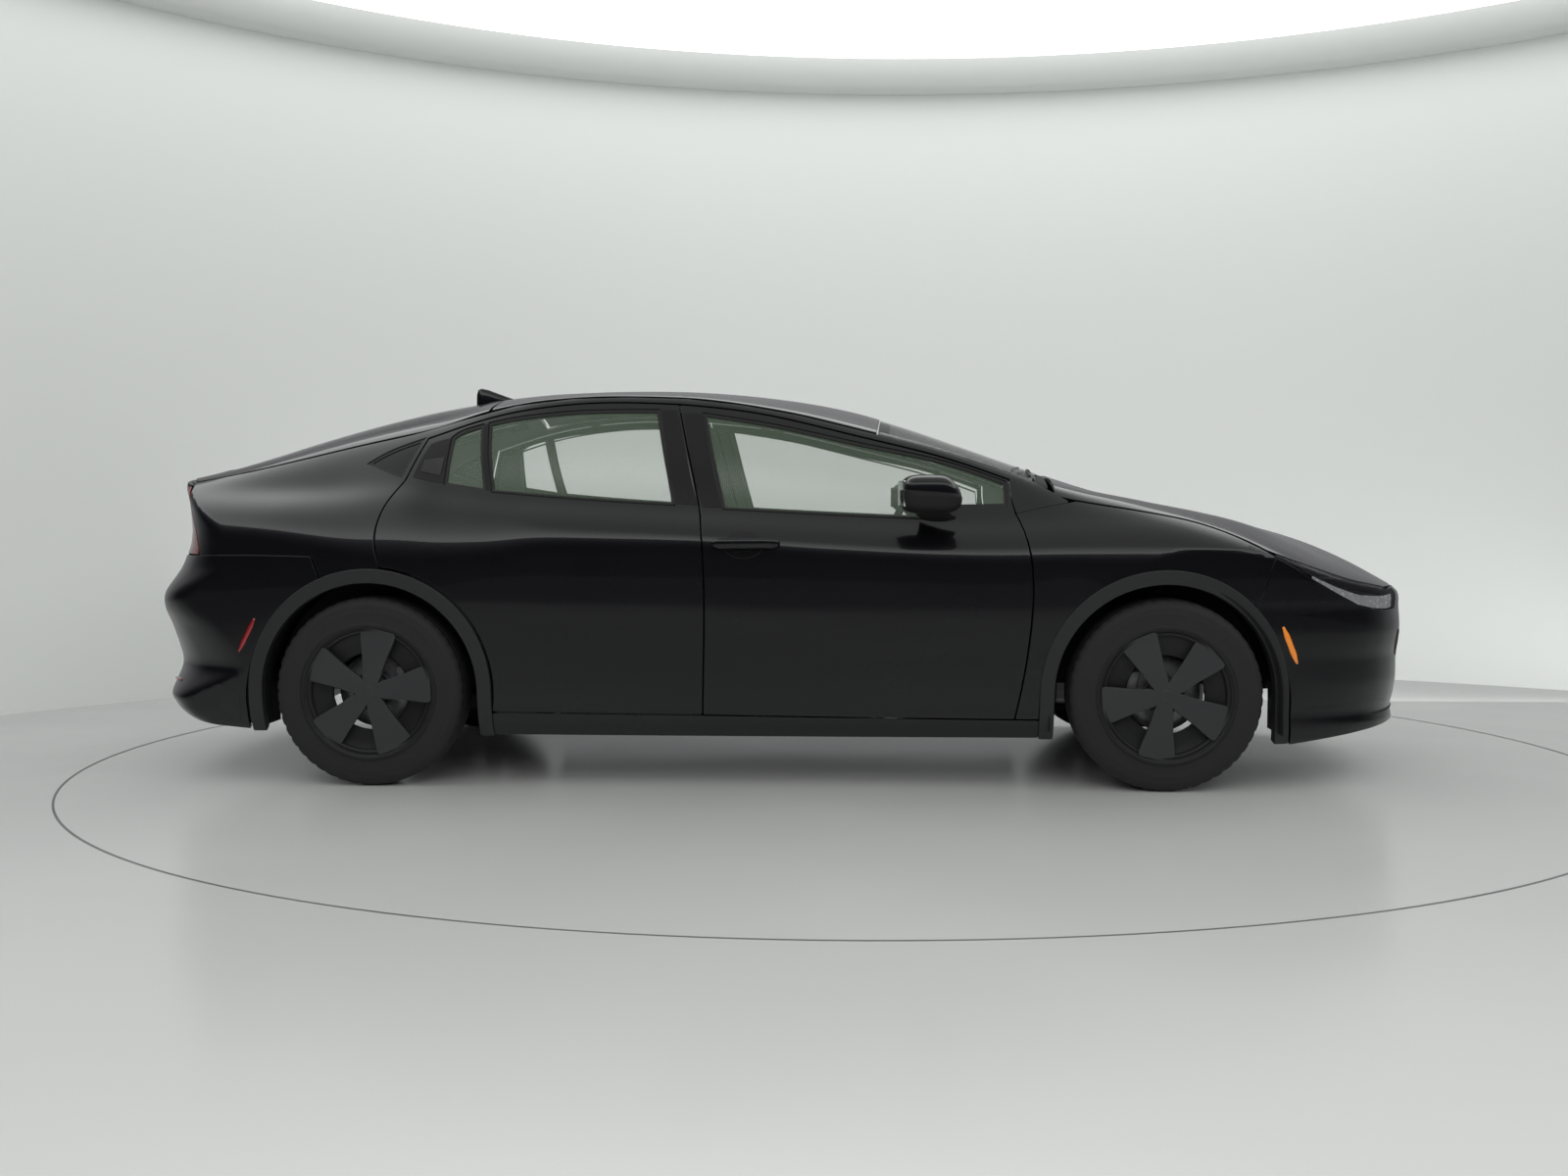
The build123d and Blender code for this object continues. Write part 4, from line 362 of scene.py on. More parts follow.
# ---------------------------------------------------------------- plan outlines (x, y) of the upper panels
HOOD_REAR, HOOD_AXIS = 984.0, (1003.0, 1062.0)
YH = line((900, 694), (985, 700), (1200, 712), (1400, 728), (1495, 742), (1593, 768), (1687, 796), (1760, 800))
LAMP_TOP = [(1687, 796), (1765, 786), (1896, 742), (2030, 676), (2147, 586)]
TIP = [(2147, 586), (2200, 480), (2232, 340), (2250, 180), (2256, 0)]
ROOF_F, ROOF_R = 372.0, -1043.0
YI = line((-2300, 640), (-2200, 634), (-2000, 606), (-1800, 574), (-1600, 552), (-1410, 540), (-1200, 545), (-1043, 552),
          (-820, 566), (-608, 574), (-348, 576), (23, 581), (302, 594), (580, 612), (820, 638), (960, 652))


def sym(seg):
    return [(x, -y) for x, y in seg][::-1]


def yi_pts(x0, x1, n=9, off=0.0):
    return [(float(x), float(YI(x)) + off) for x in np.linspace(x0, x1, n)]


hs = [(float(x), float(YH(x))) for x in (HOOD_REAR, 1100, 1200, 1300, 1400, 1495, 1593, 1687)]
HOOD = Outline([(HOOD_REAR - 9, -hs[0][1]), (HOOD_REAR, 0), (HOOD_REAR - 9, hs[0][1])], [(HOOD_REAR - 9, hs[0][1])] + hs[1:],
               LAMP_TOP, TIP + sym(TIP)[1:], sym(LAMP_TOP), sym([(HOOD_REAR - 9, hs[0][1])] + hs[1:]))
WSHIELD = Outline([(905, -648), (948, -330), (960, 0), (948, 330), (905, 648)], yi_pts(905, ROOF_F - 14, 9),
                  [(ROOF_F - 14, float(YI(ROOF_F - 14))), (ROOF_F, 0), (ROOF_F - 14, -float(YI(ROOF_F - 14)))],
                  sym(yi_pts(905, ROOF_F - 14, 9)))
ROOF = Outline([(ROOF_F - 14, -float(YI(ROOF_F - 14))), (ROOF_F, 0), (ROOF_F - 14, float(YI(ROOF_F - 14)))],
               yi_pts(ROOF_F - 14, ROOF_R, 15), [(ROOF_R, float(YI(ROOF_R))), (ROOF_R, -float(YI(ROOF_R)))],
               sym(yi_pts(ROOF_F - 14, ROOF_R, 15)))
GATE_F, GATE_LIP = ROOF_R - 7.0, -2196.0
gs = yi_pts(GATE_F, -2160, 13, 0.0)
GATE = Outline([(GATE_F, -gs[0][1]), (GATE_F, gs[0][1])], gs, [gs[-1], (-2260, 634), (-2330, 600)], [(-2330, 600), (-2330, -600)],
               sym([gs[-1], (-2260, 634), (-2330, 600)]), sym(gs))
RGLASS = Outline([(-1112, -478), (-1108, 0), (-1112, 478)], [(-1112, 478), (-1400, 470), (-1700, 492), (-2040, 540)],
                 [(-2040, 540), (-2072, 300), (-2080, 0), (-2072, -300), (-2040, -540)], sym([(-1112, 478), (-1400, 470), (-1700, 492), (-2040, 540)]))
# everything in plan that is not body side
INNER = Outline(yi_pts(-2300, -1043, 11, 5.0), yi_pts(-1043, 957, 17, 1.5), [(957, float(YI(957)) + 1.5), (957, 704)],
                [(957, 704), (1100, 709)], [(1100, 709), (1100, 100)], [(1100, 100), (-2300, 100)], [(-2300, 100), (-2300, float(YI(-2300)) + 5)])



# ================================================================ materials
def new_mat(name):
    m = bpy.data.materials.new(name)
    m.use_nodes = True
    nt = m.node_tree
    b = nt.nodes["Principled BSDF"]
    return m, nt, b


def noise(nt, scale, detail=3.0, rough=0.5, coord="Object"):
    tc = nt.nodes.new("ShaderNodeTexCoord")
    n = nt.nodes.new("ShaderNodeTexNoise")
    n.inputs["Scale"].default_value = scale
    n.inputs["Detail"].default_value = detail
    n.inputs["Roughness"].default_value = rough
    nt.links.new(tc.outputs[coord], n.inputs["Vector"])
    return n


def ramp(nt, src, c0, c1, p0=0.3, p1=0.7):
    r = nt.nodes.new("ShaderNodeValToRGB")
    r.color_ramp.elements[0].position = p0
    r.color_ramp.elements[1].position = p1
    r.color_ramp.elements[0].color = (*c0, 1) if len(c0) == 3 else c0
    r.color_ramp.elements[1].color = (*c1, 1) if len(c1) == 3 else c1
    nt.links.new(src, r.inputs["Fac"])
    return r


def rough_from(nt, b, src, lo, hi):
    m = nt.nodes.new("ShaderNodeMapRange")
    m.inputs["From Min"].default_value = 0.3
    m.inputs["From Max"].default_value = 0.7
    m.inputs["To Min"].default_value = lo
    m.inputs["To Max"].default_value = hi
    nt.links.new(src, m.inputs["Value"])
    nt.links.new(m.outputs["Result"], b.inputs["Roughness"])


def bump_from(nt, b, src, strength, dist):
    k = nt.nodes.new("ShaderNodeBump")
    k.inputs["Strength"].default_value = strength
    k.inputs["Distance"].default_value = dist
    nt.links.new(src, k.inputs["Height"])
    nt.links.new(k.outputs["Normal"], b.inputs["Normal"])


def plain(name, c0, c1, scale=40.0, r0=0.4, r1=0.5, bump=0.0, dist=0.0003, metal=0.0, spec=0.5, coat=0.0, coat_r=0.03, detail=3.0):
    m, nt, b = new_mat(name)
    n = noise(nt, scale, detail)
    r = ramp(nt, n.outputs["Fac"], c0, c1)
    nt.links.new(r.outputs["Color"], b.inputs["Base Color"])
    rough_from(nt, b, n.outputs["Fac"], r0, r1)
    b.inputs["Metallic"].default_value = metal
    b.inputs["Specular IOR Level"].default_value = spec
    b.inputs["Coat Weight"].default_value = coat
    b.inputs["Coat Roughness"].default_value = coat_r
    if bump:
        bump_from(nt, b, n.outputs["Fac"], bump, dist)
    return m


M = {}
m, nt, b = new_mat("gloss_black_paint")
vo = noise(nt, 2600.0, 1.0)
rp = ramp(nt, vo.outputs["Fac"], (0.0018, 0.0018, 0.0024), (0.0036, 0.0036, 0.0048), 0.35, 0.75)
nt.links.new(rp.outputs["Color"], b.inputs["Base Color"])
n2 = noise(nt, 3.0, 2.0)
rough_from(nt, b, n2.outputs["Fac"], 0.26, 0.32)
b.inputs["Coat Weight"].default_value = 0.6
b.inputs["Coat Roughness"].default_value = 0.018
b.inputs["Coat IOR"].default_value = 1.5
b.inputs["Specular IOR Level"].default_value = 0.2
M["paint"] = m
M["trim"] = plain("charcoal_cladding", (0.011, 0.0113, 0.0118), (0.016, 0.0163, 0.0168), 900.0, 0.50, 0.60, 0.25, 0.00025)
M["gloss_black"] = plain("gloss_black_plastic", (0.004, 0.004, 0.004), (0.006, 0.006, 0.006), 30.0, 0.08, 0.14, spec=0.3, coat=0.2)
M["black"] = plain("matte_black_plastic", (0.008, 0.008, 0.008), (0.012, 0.012, 0.012), 700.0, 0.55, 0.7, 0.2, 0.0002, spec=0.25)
M["rubber"] = plain("rubber_seal", (0.008, 0.008, 0.008), (0.013, 0.013, 0.013), 300.0, 0.6, 0.75, 0.15, 0.0002)
M["tyre"] = plain("tyre_rubber", (0.009, 0.009, 0.0088), (0.015, 0.015, 0.0145), 220.0, 0.68, 0.8, 0.25, 0.0003)
M["cover"] = plain("wheel_cover_grey", (0.026, 0.0265, 0.0275), (0.032, 0.0325, 0.0335), 500.0, 0.42, 0.5, 0.1, 0.0001, metal=0.1)
M["cover_dark"] = plain("wheel_recess_black", (0.0035, 0.0035, 0.0035), (0.006, 0.006, 0.006), 200.0, 0.5, 0.65)
M["steel"] = plain("brushed_steel", (0.42, 0.42, 0.43), (0.6, 0.6, 0.6), 160.0, 0.25, 0.4, 0.1, 0.0001, metal=1.0)
M["alloy"] = plain("cast_aluminium", (0.30, 0.30, 0.31), (0.42, 0.42, 0.43), 120.0, 0.4, 0.55, 0.3, 0.0003, metal=0.9)
M["chassis"] = plain("underbody_black", (0.012, 0.012, 0.012), (0.022, 0.022, 0.021), 60.0, 0.6, 0.8, 0.3, 0.0006)
M["carpet"] = plain("carpet", (0.012, 0.012, 0.013), (0.03, 0.03, 0.031), 1500.0, 0.9, 1.0, 0.8, 0.001)
M["headliner"] = plain("headliner_cloth", (0.42, 0.42, 0.40), (0.50, 0.50, 0.48), 1200.0, 0.85, 0.95, 0.4, 0.0003)
M["pillar"] = plain("pillar_trim", (0.30, 0.30, 0.29), (0.36, 0.36, 0.35), 900.0, 0.6, 0.7, 0.2, 0.0002)
M["dash"] = plain("soft_dash_grain", (0.014, 0.014, 0.015), (0.022, 0.022, 0.023), 1100.0, 0.5, 0.65, 0.5, 0.0003)
M["mirror_glass"] = plain("mirror_glass", (0.75, 0.77, 0.78), (0.8, 0.82, 0.83), 2.0, 0.01, 0.02, metal=1.0)
M["lens_inner"] = plain("lamp_reflector", (0.42, 0.43, 0.45), (0.60, 0.61, 0.63), 60.0, 0.2, 0.3, metal=0.4)
m, nt, b = new_mat("seat_cloth")
tc = nt.nodes.new("ShaderNodeTexCoord")
wv = nt.nodes.new("ShaderNodeTexWave")
wv.inputs["Scale"].default_value = 420.0
wv.inputs["Distortion"].default_value = 1.2
nt.links.new(tc.outputs["Object"], wv.inputs["Vector"])
wv2 = nt.nodes.new("ShaderNodeTexWave")
wv2.bands_direction = "Z"
wv2.inputs["Scale"].default_value = 420.0
wv2.inputs["Distortion"].default_value = 1.2
nt.links.new(tc.outputs["Object"], wv2.inputs["Vector"])
mx = nt.nodes.new("ShaderNodeMath")
mx.operation = "MULTIPLY"
nt.links.new(wv.outputs["Fac"], mx.inputs[0])
nt.links.new(wv2.outputs["Fac"], mx.inputs[1])
rp = ramp(nt, mx.outputs["Value"], (0.020, 0.020, 0.022), (0.055, 0.055, 0.058), 0.1, 0.8)
nt.links.new(rp.outputs["Color"], b.inputs["Base Color"])
b.inputs["Roughness"].default_value = 0.88
b.inputs["Sheen Weight"].default_value = 0.25
bump_from(nt, b, mx.outputs["Value"], 0.4, 0.0004)
M["seat"] = m


def glassy(name, col, alpha, ior=2.1, rough=0.012):
    m, nt, b = new_mat(name)
    n = noise(nt, 1.5, 1.0)
    r = ramp(nt, n.outputs["Fac"], col, tuple(c * 1.12 for c in col))
    nt.links.new(r.outputs["Color"], b.inputs["Base Color"])
    b.inputs["Roughness"].default_value = rough
    b.inputs["Alpha"].default_value = alpha
    b.inputs["IOR"].default_value = ior
    return m


M["glass"] = glassy("tinted_glass", (0.235, 0.325, 0.225), 0.13, 2.0)
M["screen"] = glassy("windscreen_glass", (0.020, 0.030, 0.024), 0.42, 1.6)
M["glass_quarter"] = glassy("quarter_glass", (0.007, 0.008, 0.008), 0.94, 1.35)
M["glass_dark"] = glassy("privacy_glass", (0.010, 0.016, 0.012), 0.62, 1.7)
M["lens_clear"] = glassy("clear_lens", (0.05, 0.05, 0.055), 0.14, 1.7)
M["lens_red"] = plain("red_lens", (0.20, 0.004, 0.006), (0.26, 0.006, 0.008), 300.0, 0.08, 0.14, coat=1.0)
M["lens_amber"] = plain("amber_lens", (0.80, 0.21, 0.012), (0.95, 0.30, 0.02), 300.0, 0.1, 0.16, coat=1.0)
m, nt, b = new_mat("dark_red_bar")
n = noise(nt, 80.0, 1.0)
r = ramp(nt, n.outputs["Fac"], (0.10, 0.002, 0.003), (0.15, 0.004, 0.005))
nt.links.new(r.outputs["Color"], b.inputs["Base Color"])
b.inputs["Roughness"].default_value = 0.1
b.inputs["Coat Weight"].default_value = 1.0
M["bar"] = m


# ================================================================ mesh tools
def add_obj(name, verts, faces, mat, body, loop_normals=None, smooth=True, replaces=(), mats=None, mat_index=None):
    me = bpy.data.meshes.new(name)
    me.from_pydata((np.asarray(verts, float) * MM).tolist(), [], faces)
    for k in (mats or [mat]):
        me.materials.append(M[k] if isinstance(k, str) else k)
    if mat_index is not None:
        me.polygons.foreach_set("material_index", np.asarray(mat_index, np.int32))
    me.polygons.foreach_set("use_smooth", np.ones(len(me.polygons), bool) if smooth else np.zeros(len(me.polygons), bool))
    if loop_normals is not None:
        me.normals_split_custom_set(loop_normals)
    me.update()
    o = bpy.data.objects.new(name, me)
    bpy.context.scene.collection.objects.link(o)
    if body:
        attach(o, body)
    if replaces:
        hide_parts(*replaces)
    return o


def resample(seg, step):
    d = np.r_[0, np.cumsum(np.linalg.norm(np.diff(seg, axis=0), axis=1))]
    n = max(2, int(round(d[-1] / step)) + 1)
    t = np.linspace(0, d[-1], n)
    return np.stack([np.interp(t, d, seg[:, i]) for i in range(seg.shape[1])], 1)


def loop(outline, off=0.0, offs=None, step=12.0):
    out = [resample(s, step)[:-1] for s in outline.poly(off, offs)]
    return np.concatenate(out)


def polyloop(pts, step=12.0):
    """Closed loop with straight runs between the given corners."""
    pts = np.asarray(pts, float)
    out = [resample(np.array([pts[i], pts[(i + 1) % len(pts)]]), step)[:-1] for i in range(len(pts))]
    return np.concatenate(out)


def inside(q, poly):
    x, y = q[:, 0], q[:, 1]
    c = np.zeros(len(q), bool)
    a, b = poly, np.roll(poly, -1, axis=0)
    for (x0, y0), (x1, y1) in zip(a, b):
        if y0 == y1:
            continue
        t = ((y0 > y) != (y1 > y)) & (x < (x1 - x0) * (y - y0) / (y1 - y0) + x0)
        c ^= t
    return c


def area2(p):
    return float(np.sum(p[:, 0] * np.roll(p[:, 1], -1) - np.roll(p[:, 0], -1) * p[:, 1]))


def cdt(loops, step):
    loops = [np.asarray(p, float) for p in loops]
    loops = [p if (area2(p) > 0) == (k == 0) else p[::-1] for k, p in enumerate(loops)]
    lo, hi = loops[0].min(0), loops[0].max(0)
    nx, ny = int((hi[0] - lo[0]) / step) + 2, int((hi[1] - lo[1]) / (step * 0.87)) + 2
    gx, gy = np.meshgrid(np.arange(nx), np.arange(ny), indexing="ij")
    g = np.stack([lo[0] + (gx + 0.5 * (gy % 2)) * step, lo[1] + gy * step * 0.87], -1).reshape(-1, 2)
    keep = inside(g, loops[0])
    for p in loops[1:]:
        keep &= ~inside(g, p)
    g = g[keep]
    allp = np.concatenate(loops)
    ok = np.ones(len(g), bool)
    for i in range(0, len(g), 2000):
        d = np.min(np.linalg.norm(g[i:i + 2000, None, :] - allp[None], axis=2), axis=1)
        ok[i:i + 2000] = d > 0.62 * step
    g = g[ok]
    V = np.concatenate([allp, g])
    E, idx, k = [], [], 0
    for p in loops:
        n = len(p)
        E += [(k + i, k + (i + 1) % n) for i in range(n)]
        idx.append(np.arange(k, k + n))
        k += n
    r = delaunay_2d_cdt([Vector(v) for v in V], E, [], 0, 1e-5)
    v2 = np.array([tuple(v) for v in r[0]])
    if len(v2) != len(V):
        # merged or added points: find each loop point again
        idx = [np.array([int(np.argmin(np.sum((v2 - q) ** 2, axis=1))) for q in p]) for p in loops]
    F = np.array([f for f in r[2] if len(f) == 3])
    c = v2[F].mean(1)
    keep = inside(c, loops[0])
    for p in loops[1:]:
        keep &= ~inside(c, p)
    F = F[keep]
    a = v2[F[:, 1]] - v2[F[:, 0]]
    b_ = v2[F[:, 2]] - v2[F[:, 0]]
    cr = a[:, 0] * b_[:, 1] - a[:, 1] * b_[:, 0]
    F = F[np.abs(cr) > 1e-6]
    cr = cr[np.abs(cr) > 1e-6]
    F = np.where((cr > 0)[:, None], F, F[:, ::-1])
    return v2, F, idx


def m_side(q):
    return side_pts(q[:, 0][:, None], q[:, 1][:, None])[:, 0]


def m_top(q):
    return top_pts(q[:, 0][:, None], q[:, 1][:, None], 450.0)[:, 0]


def m_front(q):
    """(arc length about the post at x 1480, height)"""
    return radial_pts(1480.0, (q[:, 0] / 10.0)[:, None], q[:, 1][:, None])[:, 0]


def m_rear(q):
    return radial_pts(-1500.0, (q[:, 0] / 10.0)[:, None], q[:, 1][:, None])[:, 0]


def m_back(q):
    o = np.stack([np.full(len(q), -1700.0), q[:, 0], q[:, 1]], -1)
    return cast(o, np.array([-1.0, 0.0, 0.0]), 900)


def panel(names, loops, to3d, mat, bodies, step=14.0, depth=14.0, r=2.0, lift=0.0, replaces=((), ()), both=True, mats=None, back_mat=None, warp=None, nf=None):
    """Closed shell between the skin and a copy of it depth below, with rolled edges. names, bodies and replaces are for the left and right."""
    v2, F, idx = cdt(loops, step)
    P = to3d(v2)
    if warp is not None:
        P = warp(P)
    n = normal(P) if nf is None else nf(v2)
    P = P + n * lift
    dep = depth(P) if callable(depth) else np.full(len(P), float(depth))
    # sign of the parameter plane against the outward normal
    fn_ = np.cross(P[F[:, 1]] - P[F[:, 0]], P[F[:, 2]] - P[F[:, 0]])
    sgn = np.sum(fn_ * n[F[:, 0]]) > 0
    FF = F if sgn else F[:, ::-1]
    verts = [P]
    faces = FF.tolist()
    ln = [n[i] for f in FF for i in f]
    count = len(P)
    bnd = np.zeros(len(P), bool)
    back_of = np.arange(len(P)) + 0
    rings_all = []
    for p in idx:
        B, nb = P[p], n[p]
        T = np.roll(B, -1, 0) - np.roll(B, 1, 0)
        o = np.cross(T, nb)
        o /= np.linalg.norm(o, axis=1)[:, None] + 1e-12
        # outward: away from the panel's own triangles
        q2 = v2[p]
        t2 = np.roll(q2, -1, 0) - np.roll(q2, 1, 0)
        o2 = np.stack([t2[:, 1], -t2[:, 0]], 1)
        o2 /= np.linalg.norm(o2, axis=1)[:, None] + 1e-12
        D = to3d(q2 + o2 * 1.0) - to3d(q2)
        if np.sum(o * D) < 0:
            o = -o
        d = dep[p][:, None]
        rings = [(B + o * r * math.sin(a) - nb * r * (1 - math.cos(a)), nb * math.cos(a) + o * math.sin(a)) for a in (math.radians(45), math.radians(90))]
        rings.append((B + o * r - nb * d, o))
        prev, pn = p.copy(), nb
        m = len(p)
        for ring, rn in rings:
            cur = np.arange(count, count + m)
            verts.append(ring)
            count += m
            for i in range(m):
                j = (i + 1) % m
                a, b_, c_, d_ = prev[i], prev[j], cur[j], cur[i]
                q = [a, b_, c_, d_]
                nn = [pn[i], pn[j], rn[j], rn[i]]
                rings_all.append((q, nn))
            prev, pn = cur, rn
        bnd[p] = True
        back_of[p] = prev
    # orientation of the rolled edge faces, tested once a face
    allv = np.concatenate(verts)
    for q, nn in rings_all:
        a, b_, c_, d_ = (allv[k] for k in q)
        f = np.cross(c_ - a, d_ - b_)
        if np.dot(f, nn[0] + nn[1] + nn[2] + nn[3]) < 0:
            q, nn = q[::-1], nn[::-1]
        faces.append([int(k) for k in q])
        ln += nn
    inner = np.where(~bnd)[0]
    back_of[inner] = np.arange(count, count + len(inner))
    verts.append(P[inner] - n[inner] * dep[inner][:, None])
    count += len(inner)
    nfront = len(faces)
    for f in FF:
        g = [int(back_of[k]) for k in f[::-1]]
        faces.append(g)
        ln += [-n[k] for k in f[::-1]]
    V = np.concatenate(verts)
    ln = np.array(ln)
    mi = np.zeros(len(faces), int)
    if back_mat is not None:
        mi[nfront:] = 1
    out = []
    for side in ((0, 1) if both else (0,)):
        VV, LN, FS = V.copy(), ln, faces
        if side == 1:
            VV[:, 1] *= -1
            FS = [f[::-1] for f in faces]
            k = 0
            L2 = np.empty_like(ln)
            for f in faces:
                m = len(f)
                L2[k:k + m] = ln[k:k + m][::-1]
                k += m
            L2[:, 1] *= -1
            LN = L2
        out.append(add_obj(names[side], VV, FS, mat, bodies[side], LN.tolist(), replaces=replaces[side],
                           mats=[mat, back_mat] if back_mat else None, mat_index=mi if back_mat else None))
    return out


def tube(name, pts, rad, mat, body, sides=10, closed=False, flat=None, up=(0, 0, 1), replaces=()):
    """Swept section along points (mm). flat scales the section's second axis."""
    pts = np.asarray(pts, float)
    n = len(pts)
    t = np.gradient(pts, axis=0)
    if closed:
        t = np.roll(pts, -1, 0) - np.roll(pts, 1, 0)
    t /= np.linalg.norm(t, axis=1)[:, None]
    u = np.cross(t, np.array(up, float))
    u /= np.linalg.norm(u, axis=1)[:, None] + 1e-9
    w = np.cross(u, t)
    rad = np.full(n, float(rad)) if np.ndim(rad) == 0 else np.asarray(rad, float)
    a = np.linspace(0, 2 * math.pi, sides, endpoint=False)
    fl = 1.0 if flat is None else flat
    V = (pts[:, None] + rad[:, None, None] * (np.cos(a)[None, :, None] * u[:, None] + fl * np.sin(a)[None, :, None] * w[:, None])).reshape(-1, 3)
    F = []
    for i in range(n if closed else n - 1):
        for j in range(sides):
            k = (j + 1) % sides
            m = (i + 1) % n
            F.append((i * sides + j, i * sides + k, m * sides + k, m * sides + j))
    if not closed:
        F.append(tuple(range(sides))[::-1])
        F.append(tuple(range((n - 1) * sides, n * sides)))
    return add_obj(name, V, F, mat, body, replaces=replaces)


def bevel_box(name, c, size, mat, body, bev=6.0, seg=3, rot=(0, 0, 0), replaces=()):
    import bmesh
    bm = bmesh.new()
    bmesh.ops.create_cube(bm, size=1.0)
    for v in bm.verts:
        v.co = Vector((v.co.x * size[0], v.co.y * size[1], v.co.z * size[2]))
    bmesh.ops.bevel(bm, geom=bm.edges[:] + bm.verts[:], offset=bev, segments=seg, affect="EDGES", profile=0.5)
    from mathutils import Euler
    R = Euler([math.radians(q) for q in rot]).to_matrix()
    V = np.array([tuple(R @ v.co + Vector(c)) for v in bm.verts])
    F = [[v.index for v in f.verts] for f in bm.faces]
    bm.free()
    return add_obj(name, V, F, mat, body, replaces=replaces)


def lathe(name, prof, cx, y, mat, body, seg=96, sy=1, cz=TYRE_R, replaces=(), smooth=True):
    """prof: (radius, offset along the axle outward) pairs, turned about the wheel's axle."""
    prof = np.asarray(prof, float)
    a = np.linspace(0, 2 * math.pi, seg, endpoint=False)
    V = np.stack([cx + prof[:, 0][None] * np.cos(a)[:, None], np.broadcast_to(sy * (y + prof[:, 1])[None], (seg, len(prof))),
                  cz + prof[:, 0][None] * np.sin(a)[:, None]], -1).reshape(-1, 3)
    n = len(prof)
    F = []
    for i in range(seg):
        m = (i + 1) % seg
        for j in range(n - 1):
            q = (i * n + j, i * n + j + 1, m * n + j + 1, m * n + j)
            F.append(q if sy > 0 else q[::-1])
    return add_obj(name, V, F, mat, body, replaces=replaces, smooth=smooth)


# ================================================================ seams shared by the panels
def on_skin(x, y):
    return float(top_pts(np.array([[float(x)]]), np.array([[float(y)]]))[0, 0, 2])


def at_side(x, z):
    return float(side_pts(np.array([[float(x)]]), np.array([[float(z)]]))[0, 0, 1])


GAP2 = 2.2          # half of the gap between panels
ER = 2.2            # radius of a rolled edge
SH = -(GAP2 + ER)   # offset of a panel's flat outline
LR = ("left", "right")


def both(name):
    return (name + "_left", name + "_right")


YI_EDGE = lambda x, e=1.5: on_skin(x, float(YI(x)) + e)
foot_top = [(1022, on_skin(1022, 707)), (1000, on_skin(1000, 703)), (975, on_skin(975, 697))]
rail_top = [(float(x), YI_EDGE(x)) for x in list(np.linspace(948, -1043, 26)) + list(np.linspace(-1120, -2108, 15))]
HOOD_SIDE = [(float(x), on_skin(x, float(YH(x)) + 0.5)) for x in (1022, 1100, 1200, 1300, 1400, 1490, 1580, 1645, 1690)]
FEN_TOP = [(836, 951), (858, 956), (935, 973), (1022, 989)]
BUMP_F = [(1640, 638), (1668, 672), (1688, 726), (1713, 806)]
RQ = line((760, -2032), (804, -2034), (870, -2052), (940, -2080), (1000, -2097), (1075, -2108), (1200, -2120))
RQ_EDGE = [(-2108.0, YI_EDGE(-2108)), (float(RQ(1030)), 1030), (float(RQ(980)), 980), (float(RQ(920)), 920), (float(RQ(860)), 860), (float(RQ(803)), 803)]
SEAM_R = [(-2034, 803), (-1820, 806), (-1606, 801)]

# body side: roof rail, pillar foot and rear quarter in one pressing
FEN_LO = [(x, z - 2.6) for x, z in FEN_TOP]
FEN_HI = [(x, z + 2.6) for x, z in FEN_TOP]
SEAM_LO = [(x, z - 2.6) for x, z in SEAM_R]
BUMP_FW = [(x + 2.6, z) for x, z in BUMP_F]
BUMP_BK = [(x - 2.6, z) for x, z in BUMP_F]
BODYSIDE = Outline(FEN_LO, [(1022, 986.4), foot_top[0]], foot_top + rail_top, RQ_EDGE, SEAM_LO,
                   [(-1606, 798.4), arc(REAR_AXLE, 332, 424, 113, 84, 7)[0]], arc(REAR_AXLE, 332, 424, 113, 84, 7), [arc(REAR_AXLE, 332, 424, 113, 84, 7)[-1], RD_ARC[-1]], [RD_ARC[-1], (-1385, 843), (-1383, 925), (-1362, 997), (-1322, 1069)],
                   [(-1322, 1069), (-1298, 1140), (-1266, 1222)], RD_TOP[::-1], FD_TOP[::-1], [(818, 1070), (822, 1010), (836, 951)])
FENDER = Outline([(828, 243), (912, 243)], [(912, 243), (914, 300)], arc(FRONT_AXLE, 332, 424, 176, 46, 19), BUMP_FW,
                 [(1715.6, 806), (1690, HOOD_SIDE[-1][1] - 3)], HOOD_SIDE[::-1], FEN_HI[::-1], FD_FRONT[::-1])
SILL = Outline([(-984, 174), (0, 172), (914, 174)], [(914, 174), (914, 243)], [(914, 243), (828, 243)], FD_BOTTOM[::-1],
               [(-246, 253), (-600, 256), (-984, 259)], [(-984, 259), (-984, 174)])

paint = dict(r=ER, depth=13.0)


